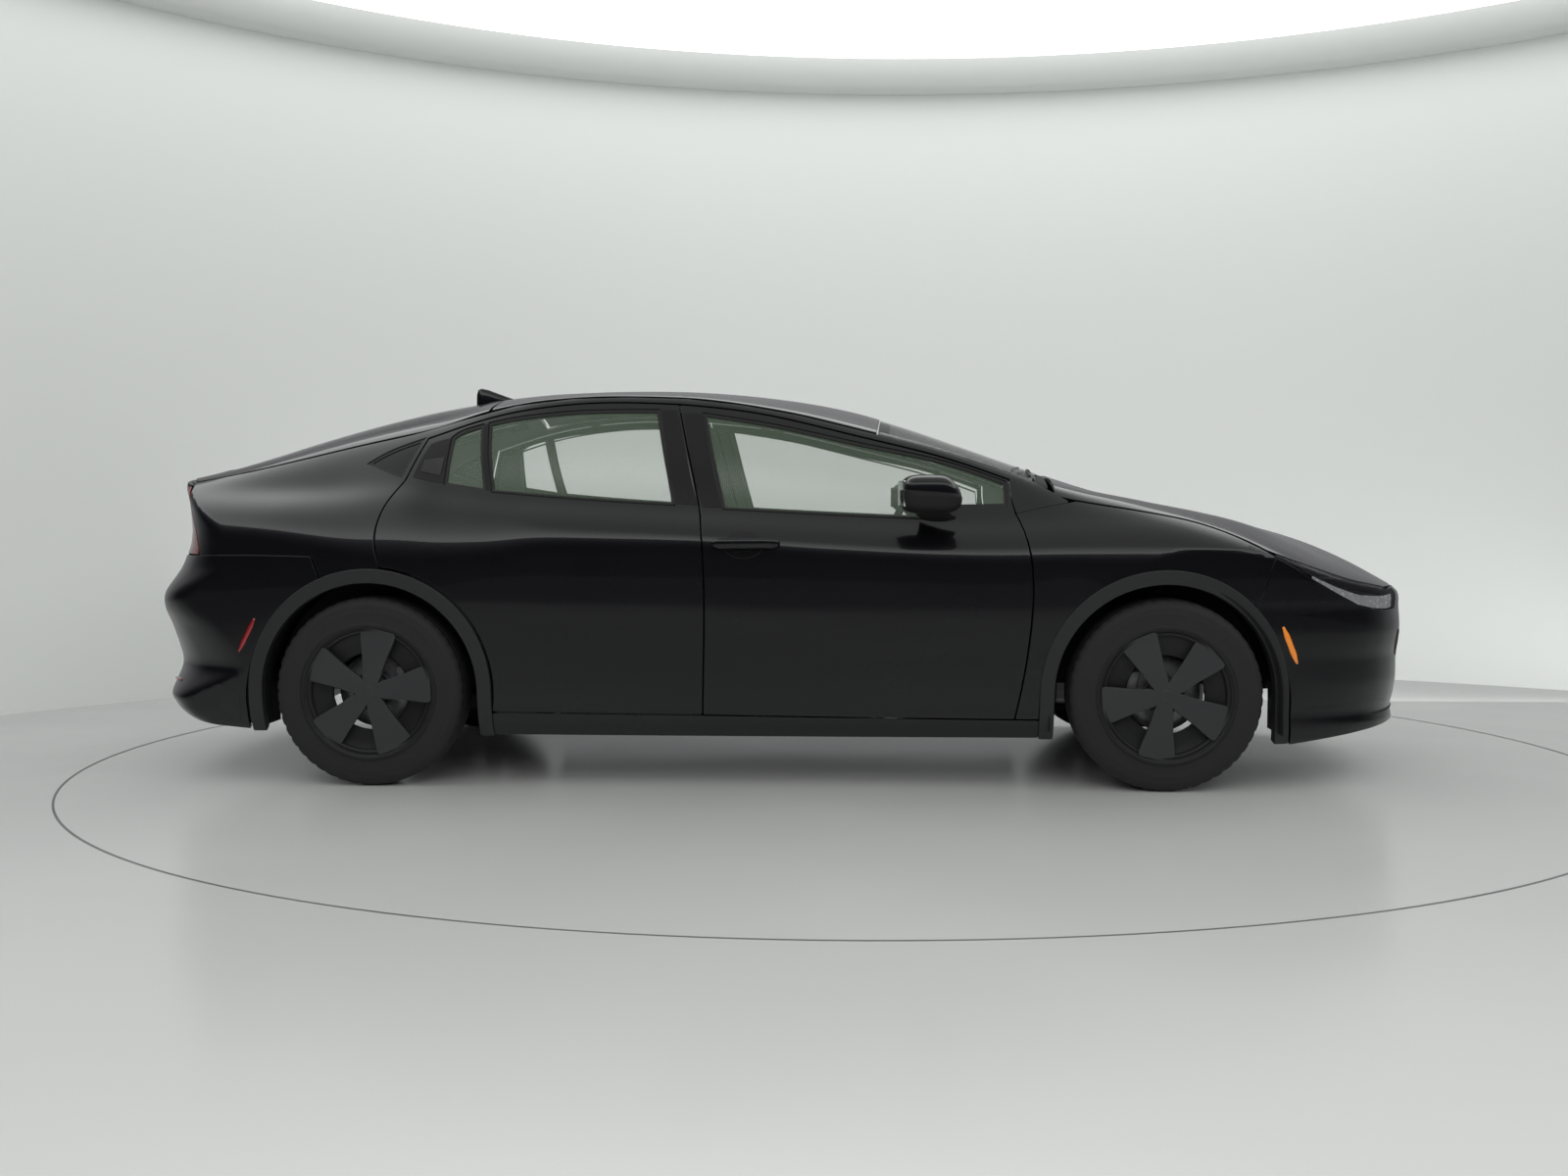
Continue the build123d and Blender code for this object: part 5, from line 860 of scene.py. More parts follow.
def skin_all():
    st = 17.0
    bs = 11.0
    panel(both("side_pressing"), [loop(BODYSIDE, SH, step=bs), loop(QWIN, 2.0 + ER, step=8)], m_side, "paint", ("body", "body"), st, back_mat="pillar",
          replaces=(("roof_rails", "rear_quarter_panels"), ()), **paint)
    panel(both("fender_skin"), [loop(FENDER, SH, step=bs)], m_side, "paint", ("body", "body"), st, replaces=(("front_fenders",), ()), **paint)
    panel(both("sill_skin"), [loop(SILL, SH, step=bs)], m_side, "paint", ("body", "body"), st, r=ER, depth=20.0, replaces=(("sill_panels",), ()))
    panel(both("front_door_skin"), [loop(FDOOR, SH, step=bs), loop(FWIN, 1.5 + ER, step=9)], m_side, "paint", ("door_front_left", "door_front_right"), st,
          replaces=(("door_front_left",), ("door_front_right",)), **paint)
    panel(both("rear_door_skin"), [loop(RDOOR, SH, step=bs), loop(RWIN, 1.5 + ER, step=9), loop(RVENT, 1.5 + ER, step=9)], m_side, "paint",
          ("door_rear_left", "door_rear_right"), st, replaces=(("door_rear_left",), ("door_rear_right",)), **paint)
    # inner door boxes
    for nm, ol, wins in (("front", FDOOR, [FWIN]), ("rear", RDOOR, [RWIN, RVENT])):
        panel(both(nm + "_door_card"), [loop(ol, -30, step=16)] + [loop(w, 5.0, step=12) for w in wins], m_side, "rubber",
              ("door_%s_left" % nm, "door_%s_right" % nm), 26.0, r=3.0, lift=-14.0, back_mat="dash",
              depth=lambda P: door_depth(P) - 14.0)


def door_depth(P, low=58.0, high=30.0):
    t = np.clip((P[..., 2] - (Z_B(P[..., 0]) - 45)) / 70.0, 0, 1)
    t = t * t * (3 - 2 * t)
    tuck = np.clip(868 - P[..., 1], 0, 60) * (1 - t)
    return (low - tuck * 0.75) * (1 - t) + high * t


def top_all():
    st = 18.0
    c = dict(r=ER, depth=12.0, both=False)
    panel(("hood_skin",), [loop(HOOD, SH, step=12)], m_top, "paint", ("hood",), st, replaces=(("hood",),), back_mat="black", **c)
    panel(("roof_skin",), [loop(ROOF, SH, step=14)], m_top, "paint", ("body",), st, replaces=(("roof_panel",),), back_mat="headliner", **c)
    panel(("windscreen",), [loop(WSHIELD, -3.0, step=14)], m_top, "screen", ("body",), 30.0, r=0.6, depth=5.0, lift=-2.0, replaces=(("windshield",),), both=False)
    CC = Outline([(908, -662), (951, -330), (963, 0), (951, 330), (908, 662)], [(908, 662), (955, 664)], [(955, 664), (968, 0), (955, -664)], [(955, -664), (908, -662)])
    panel(("cowl_cover",), [loop(CC, 0.0, step=12)], m_top, "black", ("body",), 30.0, r=1.5, depth=6.0, lift=-5.0, both=False)
    panel(("windscreen_border",), [loop(WSHIELD, -4.0, step=14), loop(WSHIELD, -42.0, step=14)], m_top, "gloss_black", ("body",), 30.0, r=0.4, depth=1.2, lift=-8.0, both=False)
    rear = [(-2122, 603), (-2156, 500), (-2184, 300), (-2196, 0), (-2184, -300), (-2156, -500), (-2122, -603)]
    side = [(float(x), float(YI(x)) + 1.5) for x in (GATE_F, -1200, -1400, -1600, -1800, -1960, -2060, -2106)]
    G_ = Outline([(GATE_F, -side[0][1]), (GATE_F, side[0][1])], side, [side[-1], (-2122, 603)], rear, [(-2122, -603), (side[-1][0], -side[-1][1])], sym(side))
    panel(("tailgate_skin",), [loop(G_, SH, step=12), loop(RGLASS, 1.0 + ER, step=12)], m_top, "paint", ("tailgate",), st, replaces=(("tailgate",),),
          back_mat="pillar", r=ER, depth=26.0, both=False)
    panel(("rear_screen",), [loop(RGLASS, -2.0, step=14)], m_top, "glass_dark", ("tailgate",), 30.0, r=0.6, depth=4.5, lift=-3.0, replaces=(("rear_window",),), both=False)
    panel(("rear_screen_border",), [loop(RGLASS, -3.0, step=14), loop(RGLASS, -38.0, step=14)], m_top, "gloss_black", ("tailgate",), 30.0, r=0.4, depth=1.2, lift=-8.5, both=False)


def glass_all():
    for nm, ol, body, mat in (("front_pane", FWIN, "door_front", "glass"), ("rear_pane", RWIN, "door_rear", "glass"), ("vent_pane", RVENT, "door_rear", "glass")):
        rep = (("door_glass_%s_left" % body[5:],), ("door_glass_%s_right" % body[5:],)) if nm != "vent_pane" else ((), ())
        panel(both(nm), [loop(ol, -1.0, step=14)], m_side, mat, (body + "_left", body + "_right"), 32.0, r=0.5, depth=4.0, lift=-8.0, replaces=rep)
        panel(both(nm + "_seal"), [loop(ol, 1.0, step=10), loop(ol, -8.0, step=10)], m_side, "rubber", (body + "_left", body + "_right"), 30.0, r=1.5, depth=6.0, lift=-4.0)
    panel(both("quarter_pane"), [loop(QWIN, -1.0, step=10)], m_side, "glass_quarter", ("body", "body"), 24.0, r=0.5, depth=4.0, lift=-6.0, replaces=(("quarter_windows",), ()))
    panel(both("quarter_seal"), [loop(QWIN, 1.5, step=8), loop(QWIN, -6.0, step=8)], m_side, "rubber", ("body", "body"), 24.0, r=1.2, depth=6.0, lift=-3.0)
    # pillar garnishes and belt mouldings stand a hair proud of the paint
    PF = Outline([(-262, 1309), (-225, 1140), (-182, 967)], [(-182, 967), (-256, 970)], [(-256, 970), (-274, 1016), (-312, 1170), (-340, 1312)], [(-340, 1312), (-262, 1309)])
    PR = Outline([(-352, 981), (-390, 1160), (-422, 1322)], [(-422, 1322), (-352, 1322)], [(-352, 1322), (-316, 1170), (-279, 1016), (-262, 975)], [(-262, 975), (-352, 981)])
    panel(both("pillar_garnish_a"), [loop(PF, -5.0, step=12)], m_side, "black", ("door_front_left", "door_front_right"), 30.0, r=1.0, depth=3.0, lift=1.2)
    panel(both("pillar_garnish_b"), [loop(PR, -5.0, step=12)], m_side, "black", ("door_rear_left", "door_rear_right"), 30.0, r=1.0, depth=3.0, lift=1.2)
    DV = Outline([(-1026, 1031), (-1050, 1160), (-1062, 1273)], [(-1062, 1273), (-1040, 1277)], [(-1040, 1277), (-1030, 1160), (-1003, 1028)], [(-1003, 1028), (-1026, 1031)])
    panel(both("division_bar"), [loop(DV, -2.0, step=10)], m_side, "black", ("door_rear_left", "door_rear_right"), 30.0, r=0.8, depth=3.0, lift=1.0)
    # C-pillar garnish behind the vent pane, where the handle hides
    CG = Outline([(-1180, 1055), (-1180, 1140), (-1176, 1225)], [(-1176, 1225), (-1215, 1216), (-1254, 1203)], [(-1254, 1203), (-1282, 1140), (-1300, 1079)], [(-1300, 1079), (-1240, 1064), (-1180, 1055)])
    panel(both("c_garnish"), [loop(CG, -3.0, step=10)], m_side, "black", ("door_rear_left", "door_rear_right"), 24.0, r=1.0, depth=3.0, lift=1.2)
    bl = line((-182, 967), (200, 947), (560, 931), (650, 976), (806, 979))
    for nm, pts, body in (("front_belt", FWIN.d[0], "door_front"), ("rear_belt", RWIN.d[0], "door_rear")):
        p = resample(pts, 14.0)
        for s, sd in ((1, "left"), (-1, "right")):
            q = side_pts(p[:, 0][:, None], (p[:, 1] + 1.5)[:, None])[:, 0]
            n = normal(q)
            q = q - n * 2.0
            q[:, 1] *= s
            tube(nm + "_" + sd, q, 5.0, "rubber", body + "_" + sd, sides=8)


# ================================================================ both ends
XC_F, XC_R = 1480.0, -1500.0
EDGE_Y = [0, 180, 340, 480, 586, 676, 742, 786, 796]
EDGE_X = [2256, 2250, 2232, 2200, 2147, 2030, 1896, 1765, 1700]
edge_x = line(*zip(EDGE_Y, EDGE_X))


def ang_f(x, y):
    return math.degrees(math.atan2(y, x - XC_F)) * 10.0


def ang_r(x, y):
    return (math.degrees(math.atan2(y, x - XC_R)) % 360.0) * 10.0


def side_f(pts):
    return [(ang_f(x, at_side(x, z)), z) for x, z in pts]


def side_r(pts):
    return [(ang_r(x, at_side(x, z)), z) for x, z in pts]


def sym_f(seg):
    return [(-a, z) for a, z in seg][::-1]


def sym_r(seg):
    return [(3600.0 - a, z) for a, z in seg][::-1]


def hood_line(y0, y1, n):
    out = []
    for y in np.linspace(y0, y1, n):
        x = float(edge_x(y))
        out.append((ang_f(x, y), on_skin(x, y)))
    return out


LAMP_LO = [(1713, 806), (1790, 766), (1861, 722), (1950, 673), (2033, 632), (2100, 618), (2150, 614), (2196, 618)]


def ends_all():
    st = 16.0
    lo = side_f(LAMP_LO)
    h_in = hood_line(0, 520, 12)          # over the bumper
    h_out = hood_line(520, 796, 12)       # over the lamp
    tip_z = lo[-1][1]
    edge = side_f([(1771, 152), (1771, 240), (1771, 332)] + arc(FRONT_AXLE, 332, 424, 11, 44, 6)[1:])
    seam = side_f(BUMP_BK)
    half_b = [(edge[0][0], 152.0), (620.0, 166.0), (550.0, 180.0), (410.0, 203.0), (200.0, 222.0)]
    bottom = [(-a_, z_) for a_, z_ in half_b] + [(0.0, 224.0)] + half_b[::-1]
    low = lo[::-1]                        # from the centre outwards
    low = [(p[0], p[1]) for p in low]
    inner = [(low[0][0], low[0][1]), (h_in[-1][0], h_in[-1][1])]
    fb = Outline(bottom, edge + seam[:1], seam, low[::-1], inner, h_in[::-1] + sym_f(h_in[::-1])[1:], sym_f(inner), sym_f(low[::-1]), sym_f(seam), sym_f(edge + seam[:1]))
    zg0, zg1 = 250.0, 428.0

    def gpt(y, z):
        return (ang_f(float(nose(y, z)), y), z)
    gl = [gpt(400, zg0), gpt(420, 300), gpt(380, zg1)]
    gr = Outline([gpt(-400, zg0), gpt(0, zg0 - 6), gpt(400, zg0)], gl, [gpt(380, zg1), gpt(0, zg1 + 8), gpt(-380, zg1)], sym_f(gl))
    panel(("front_bumper_skin",), [loop(fb, SH, step=11), loop(gr, ER + 2, step=9)], m_front, "paint", ("body",), st, r=ER, depth=16.0, both=False,
          replaces=(("front_bumper",),))
    # grille: fine slats in a dark frame
    panel(("grille_back",), [loop(gr, 4.0, step=14)], m_front, "black", ("body",), 30.0, r=1.0, depth=6.0, lift=-48.0, both=False, replaces=(("front_grille",),))
    panel(("grille_frame",), [loop(gr, 5.0, step=12), loop(gr, -14.0, step=12)], m_front, "gloss_black", ("body",), 26.0, r=3.0, depth=40.0, lift=-6.0, both=False)
    for i, z in enumerate(np.linspace(zg0 + 28, zg1 - 26, 7)):
        half = float(np.interp(z, [zg0, 300, zg1], [398, 416, 380]))
        ys = np.linspace(-half, half, 60)
        p = np.stack([nose(ys, np.full(60, z)) - 22, ys, np.full(60, z)], 1)
        tube("grille_slat_%d" % i, p, 9.0, "gloss_black", "body", sides=8, flat=0.35)
    # lamps: clear lens, dark bowl, bright strip
    lampO = Outline(low[::-1], [low[0], h_out[0]], h_out, [h_out[-1], lo[0]])
    panel(both("headlamp_lens"), [loop(lampO, SH + 1.0, step=9)], m_front, "lens_clear", ("body", "body"), 14.0, r=1.5, depth=3.0, replaces=(("headlamps",), ()))
    panel(both("headlamp_bowl"), [loop(lampO, SH + 1.5, step=10)], m_front, "gloss_black", ("body", "body"), 16.0, r=1.5, depth=4.0, lift=-34.0)
    a = np.array([p[0] for p in low])
    zl = np.array([p[1] for p in low])
    ha = np.array([p[0] for p in h_out])
    hz_ = np.array([p[1] for p in h_out])
    aw = np.linspace(max(a.min(), ha.min()) + 6, min(a.max(), ha.max()) - 95, 22)
    z0, z1 = np.interp(aw, a, zl) + 3.0, np.interp(aw, ha, hz_)
    ft = np.linspace(0.66, 0.12, 22)
    ztop = z0 + np.maximum(ft * (z1 - z0), 6.0)
    wedge = Outline(list(zip(aw, z0)), [(aw[-1], z0[-1]), (aw[-1], ztop[-1])], list(zip(aw, ztop))[::-1], [(aw[0], ztop[0]), (aw[0], z0[0])])
    panel(both("lamp_wedge"), [loop(wedge, 0.0, step=7)], m_front, "lens_inner", ("body", "body"), 12.0, r=2.0, depth=4.0, lift=-9.0)
    # lower lip crease, drawn as a black tube that marks the lip's joint line and paints the crease's shadow, and side
    # vents of the front bumper
    for s, sd in ((1, "left"), (-1, "right")):
        aa = np.linspace(22, 50, 30)
        q = radial_pts(XC_F, aa[:, None], np.linspace(262, 246, 30)[:, None])[:, 0]
        q = q - normal(q) * 1.5
        q[:, 1] *= s
        # black tube along the lip: its joint line with a painted crease shadow
        tube("lip_joint_shadow_line_" + sd, q, 5.0 * np.clip(np.minimum(np.linspace(0.2, 5, 30), np.linspace(5, 0.2, 30)), 0, 1), "black", "body", sides=8)
    vo_ = Outline([gpt(440, 440), gpt(500, 446)], [gpt(500, 446), gpt(520, 490), gpt(505, 536)], [gpt(505, 536), gpt(452, 530)], [gpt(452, 530), gpt(440, 440)])
    panel(both("bumper_vent"), [loop(vo_, 0.0, step=8)], m_front, "black", ("body", "body"), 14.0, r=1.5, depth=3.0, lift=1.0)
    # rear bumper
    eb = side_r([(-1843, 188), (-1843, 260), (-1843, 332)] + arc(REAR_AXLE, 332, 424, 166, 113, 8)[1:])
    sr = side_r([(-1606, 803.6), (-1820, 808.6), (-2034, 805.6)])
    zt = [(512, 738), (548, 782), (566, 800)]

    def bpt(y, z):
        p = back_pts(np.array([[float(y)]]), np.array([[float(z)]]))[0, 0]
        return (ang_r(p[0], p[1]), z)
    top = [sr[-1], bpt(600, 803), bpt(566, 800)]
    notch = [bpt(566, 800), bpt(545, 778), bpt(512, 738), bpt(468, 722)]
    mid = [bpt(468, 722), (1800.0, 722.0), (3600.0 - bpt(468, 722)[0], 722)]
    hb = [(1800.0, 268.0), (1500.0, 260.0), (1350.0, 240.0), (1240.0, 212.0), (eb[0][0], 190.0)]
    rbo = Outline([(3600.0 - p_, q_) for p_, q_ in hb[::-1]] + hb[1:], eb, [eb[-1], sr[0]], sr, top, notch, mid, sym_r(notch), sym_r(top), sym_r(sr), sym_r([eb[-1], sr[0]]), sym_r(eb))
    panel(("rear_bumper_skin",), [loop(rbo, SH, step=11)], m_rear, "paint", ("body",), st, r=ER, depth=16.0, both=False, replaces=(("rear_bumper",),))
    # tailgate lower panel with its lamp bar
    HZ = line((725, 468), (745, 515), (790, 556), (870, 600), (950, 622), (1060, 622))
    zs = np.linspace(726, 1062, 14)
    edgeL = [(float(HZ(z)), float(z)) for z in zs]
    lipz = [(y, on_skin(float(line((0, -2196), (300, -2184), (500, -2156), (600, -2128))(abs(y))), y) - 3.0) for y in np.linspace(603, -603, 13)]
    tpo = Outline([(-468, 724), (0, 722), (468, 724)], edgeL, [edgeL[-1], lipz[0]], lipz, [lipz[-1], (-edgeL[-1][0], edgeL[-1][1])], [(-y, z) for y, z in edgeL][::-1])
    bar = Outline([(-608, 931), (0, 931), (608, 931)], [(608, 931), (612, 987)], [(612, 987), (0, 987), (-612, 987)], [(-612, 987), (-608, 931)])
    plate = Outline([(-250, 762), (0, 762), (250, 762)], [(250, 762), (262, 880)], [(262, 880), (0, 884), (-262, 880)], [(-262, 880), (-250, 762)])
    panel(("tailgate_lower_skin",), [loop(tpo, SH, step=12), loop(bar, 2 + ER, step=12), loop(plate, ER, step=12)], m_back, "paint", ("tailgate",), st, r=ER, depth=26.0,
          both=False, replaces=(("tailgate_panel",),), back_mat="pillar")
    panel(("lamp_bar",), [loop(bar, -1.5, step=12)], m_back, "bar", ("tailgate",), 18.0, r=2.0, depth=16.0, lift=-1.0, both=False, replaces=(("tail_lamp_bar",),))
    panel(("plate_recess",), [loop(plate, 2.0, step=16)], m_back, "black", ("tailgate",), 30.0, r=1.0, depth=4.0, lift=-22.0, both=False)
    p = back_pts(np.linspace(-596, 596, 60)[:, None], np.full((60, 1), 959.0))[:, 0]
    p = p + normal(p) * 0.6
    tube("bar_line", p, 2.6, "lens_red", "tailgate", sides=6)
    # corner lamps
    zc = np.linspace(806, 1050, 10)
    outer = side_r([(float(RQ(z)), float(z)) for z in zc])
    inn = [bpt(float(HZ(z)) + 0 if z > 870 else 600 - (870 - z) * 0.4, z) for z in zc]
    tlo = Outline(outer[::-1], [outer[0], inn[0]], inn, [inn[-1], outer[-1]])
    panel(both("tail_lamp"), [loop(tlo, SH + 1.0, step=10)], m_rear, "bar", ("body", "body"), 16.0, r=1.5, depth=14.0, replaces=(("tail_lamps",), ()))


def trims_all():
    for nm, cx, zf, zr in (("front", FRONT_AXLE, 160, 174), ("rear", REAR_AXLE, 174, 188)):
        o = [(cx + TRIM_RO, zf), (cx + TRIM_RO, 332)] + arc(cx, 332, TRIM_RO, 0, 180, 33)[1:] + [(cx - TRIM_RO, zr)]
        i = [(cx + TRIM_RI, zf), (cx + TRIM_RI, 332)] + arc(cx, 332, TRIM_RI, 0, 180, 33)[1:] + [(cx - TRIM_RI, zr)]
        ol = Outline([i[0], o[0]], o, [o[-1], i[-1]], i[::-1], n=120)
        panel(both(nm + "_arch_moulding"), [loop(ol, -4.0, step=9)], m_side, "trim", ("body", "body"), 13.0, r=4.0, depth=30.0, lift=6.0,
              replaces=((("wheel_arch_trims",) if nm == "front" else ()), ()))
        # liner
        prof = [(cx + 396, 196.0)] + [(cx + 396 * math.cos(t), 332 + 396 * math.sin(t)) for t in np.radians(np.linspace(0, 180, 40))] + [(cx - 396, 204.0)]
        npf = len(prof)
        for s, sd in ((1, "left"), (-1, "right")):
            V = []
            for y in (858, 640) if nm == "front" else (815, 645):
                for px, pz in prof:
                    V.append((px, s * y, pz))
            F = [(k, k + 1, npf + k + 1, npf + k) for k in range(npf - 1)]
            ob = add_obj("%s_liner_%s" % (nm, sd), V, F, "black", "body")
            so = ob.modifiers.new("t", "SOLIDIFY")
            so.thickness = 0.003
            so.offset = -1.0 if s > 0 else 1.0
    # small reflectors low on the rear corners
    for s, sd in ((1, "left"), (-1, "right")):
        ys = np.linspace(640, 735, 14)
        q = back_pts(ys[:, None], np.full((14, 1), 356.0))[:, 0]
        q = q + normal(q) * 0.5
        q[:, 1] *= s
        tube("corner_reflector_" + sd, q, 11.0 * np.clip(np.minimum(np.linspace(0.4, 4, 14), np.linspace(4, 0.4, 14)), 0, 1), "lens_red", "body", sides=10, flat=0.4)
    for s, sd in ((1, "left"), (-1, "right")):
        bevel_box("sill_tread_" + sd, (-40, s * 738, 248), (1800, 104, 26), "rubber", "body", bev=5)
    # dark strips behind the lower ends of the arch mouldings
    for nm, x0, x1, z0 in (("front", 1758, 1792, 168), ("rear", -1828, -1864, 206)):
        fo = Outline([(x0, z0), (x0, 345)], [(x0, 345), (x1, 345)], [(x1, 345), (x1, z0)], [(x1, z0), (x0, z0)])
        panel(both("arch_filler_" + nm), [loop(fo, 0.0, step=10)], m_side, "black", ("body", "body"), 14.0, r=1.0, depth=3.0, lift=-14.0)
    # side markers
    for nm, p0, p1, w, mat in (("front_marker", (1743, 564), (1796, 436), 10.5, "lens_amber"), ("rear_marker", (-1810, 586), (-1870, 468), 8.0, "lens_red")):
        p = np.linspace(p0, p1, 14)
        q = side_pts(p[:, 0][:, None], p[:, 1][:, None])[:, 0]
        q = q + normal(q) * 0.5
        rad = w * np.clip(np.minimum(np.linspace(0.35, 3, 14), np.linspace(3, 0.35, 14)), 0, 1)
        for s, sd in ((1, "left"), (-1, "right")):
            k = q.copy()
            k[:, 1] *= s
            tube("%s_%s" % (nm, sd), k, rad, mat, "body", sides=10, flat=0.4, up=(0, 1, 0))


def back_pts(Y, Z, x0=-1700.0):
    o = np.stack([np.full_like(Y, x0), Y, Z], -1)
    return cast(o, np.array([-1.0, 0.0, 0.0]), 900)


# ================================================================ outer fittings
def superell(name, c, half, e1, e2, mat, body, nu=40, nv=24, warp=None, replaces=(), rotz=0.0, cut=None):
    """Rounded block. e near 0.3 is boxy, 1 is a ball. warp maps unit-ish points before placing."""
    u = np.linspace(-math.pi / 2, math.pi / 2, nv)
    v = np.linspace(-math.pi, math.pi, nu, endpoint=False)
    f = lambda a, e: np.sign(a) * np.abs(a) ** e
    P = np.stack([f(np.cos(u), e1)[:, None] * f(np.cos(v), e2)[None], f(np.cos(u), e1)[:, None] * f(np.sin(v), e2)[None],
                  np.broadcast_to(f(np.sin(u), e1)[:, None], (nv, nu))], -1).reshape(-1, 3)
    if warp:
        P = warp(P)
    P = P * np.array(half)
    a = math.radians(rotz)
    R = np.array([[math.cos(a), -math.sin(a), 0], [math.sin(a), math.cos(a), 0], [0, 0, 1]])
    P = P @ R.T + np.array(c)
    F = []
    for i in range(nv - 1):
        for j in range(nu):
            k = (j + 1) % nu
            F.append((i * nu + j, i * nu + k, (i + 1) * nu + k, (i + 1) * nu + j))
    F = [q for q in F]
    return add_obj(name, P, F, mat, body, replaces=replaces)


def fittings():
    for s, sd in ((1, "left"), (-1, "right")):
        # mirror: fuller at the front, sheared flat towards the rear where the glass sits
        def w(P, s=s):
            P = P.copy()
            t = (P[:, 1] * s + 1) / 2
            up = np.clip(P[:, 2], 0, 1)
            # the top stops short of the front, the rear is sheared flat for the glass
            P[:, 0] = np.where(P[:, 0] > 0, P[:, 0] * (1.0 - 0.36 * up), P[:, 0] * 0.97)
            P[:, 2] *= 1.0 - 0.10 * t
            P[:, 0] -= 0.08 * t
            return P
        superell("mirror_shell_" + sd, (538, s * 925, 1022), (101, 101, 64), 0.55, 0.5, "paint", "door_front_" + sd, warp=w, rotz=-6.0 * s, replaces=("mirror_" + sd,), nu=72, nv=44)

        def wl(P, s=s):
            P = w(P)
            P[:, 2] = np.minimum(P[:, 2], 0.10 - 0.10 * P[:, 0])
            P[:, 2] *= 1.12
            return P * np.array([1.02, 1.012, 1.0])
        superell("mirror_base_" + sd, (538, s * 925, 1017), (102, 101, 61), 0.55, 0.5, "black", "door_front_" + sd, warp=wl, rotz=-6.0 * s, nu=64, nv=36)
        bevel_box("mirror_glass_" + sd, (536 - 98, s * 925, 1018), (8, 158, 88), "mirror_glass", "door_front_" + sd, bev=3.9, seg=3, rot=(0, 0, -6 * s))
        p = np.array([(566, s * 790, 938), (556, s * 830, 943), (545, s * 870, 951), (540, s * 905, 964)])
        p = cspline(p, 14)
        tube("mirror_foot_" + sd, p, np.linspace(64, 56, 14), "black", "door_front_" + sd, sides=20, flat=0.24, up=(0, 0, 1))
        # front door handle: a bar over a cup
        xs = np.linspace(20, -212, 30)
        q = side_pts(xs[:, None], np.full((30, 1), 845.0))[:, 0]
        n = normal(q)
        arch_ = 1 - (2 * np.linspace(0, 1, 30) - 1) ** 4
        q = q + n * (4 + 16 * arch_)[:, None]
        q[:, 1] *= s
        rad = 18.5 * np.clip(np.minimum(np.linspace(0.55, 6, 30), np.linspace(6, 0.45, 30)), 0, 1)
        tube("front_handle_" + sd, q, rad, "paint", "door_front_" + sd, sides=14, flat=0.5, up=(0, 1, 0) if s > 0 else (0, -1, 0))
        cup = []
        for t in np.linspace(0, 2 * math.pi, 40, endpoint=False):
            cup.append((-104 + 68 * math.cos(t), 844 + 46 * math.sin(t)))
        cup = np.array(cup)
    panel(both("handle_cup"), [cup], m_side, "gloss_black", ("door_front_left", "door_front_right"), 12.0, r=2.0, depth=3.0, lift=0.7)
    for x, nm in ((9, "lock_a"), ):
        ring = np.array([(x + 9 * math.cos(t), 859 + 9 * math.sin(t)) for t in np.linspace(0, 2 * math.pi, 20, endpoint=False)])
    # filler flap line on the left quarter is left out: only the right side is seen
    # belt of the rear door: hidden pull in the garnish
    hp = Outline([(-1192, 1150), (-1262, 1140)], [(-1262, 1140), (-1270, 1100)], [(-1270, 1100), (-1200, 1086)], [(-1200, 1086), (-1192, 1150)])
    panel(both("rear_pull"), [loop(hp, 0, step=8)], m_side, "gloss_black", ("door_rear_left", "door_rear_right"), 14.0, r=2.0, depth=3.0, lift=3.0)
    # antenna fin
    xs = np.linspace(-1225, -1064, 26)
    zt_ = np.interp(xs, [-1225, -1219, -1206, -1180, -1110, -1064], [1418, 1438, 1443, 1438, 1412, 1396])
    wdt = 15 * np.clip(np.minimum((xs + 1225) / 18.0 + 0.25, (-1064 - xs) / 70.0 + 0.06), 0, 1)
    V, F = [], []
    na = 13
    for i, x in enumerate(xs):
        z0 = on_skin(x, 0) - 1
        for a in np.linspace(0, math.pi, na):
            V.append((x, wdt[i] * math.cos(a), z0 + max(zt_[i] - z0, 1.0) * abs(math.sin(a)) ** 0.75))
    for i in range(25):
        for j in range(na - 1):
            F.append((i * na + j, (i + 1) * na + j, (i + 1) * na + j + 1, i * na + j + 1))
    F.append(tuple(range(na)))
    F.append(tuple(range(25 * na, 26 * na))[::-1])
    fin_ = add_obj("antenna_cover", V, F, "paint", "tailgate")
    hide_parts("antenna_fin")
    # wipers
    for k, (x0, y0, x1, y1) in enumerate(((925, 480, 900, -120), (938, -160, 898, -600))):
        tt = np.linspace(0, 1, 26)
        P = np.array([(x0 + (x1 - x0) * a - 10 * math.sin(math.pi * a), y0 + (y1 - y0) * a) for a in tt])
        z = np.array([on_skin(a, b) for a, b in P])
        q = np.stack([P[:, 0], P[:, 1], z - 1], 1)
        tube("wiper_blade_%d" % k, q, 4.5, "rubber", "body", sides=8, replaces=("wipers",) if k == 0 else ())
        ax, ay = (x0 + 22, y0 + (30 if k else 40))
        mid = len(q) // 2
        arm = cspline(np.array([(962, ay, on_skin(962, ay) - 40), (938, ay - 60, on_skin(938, ay - 60) - 9), tuple(q[mid] + np.array([0, 0, 3]))]), 16)
        tube("wiper_arm_%d" % k, arm, np.linspace(7, 4.5, 16), "black", "body", sides=8, flat=0.6)


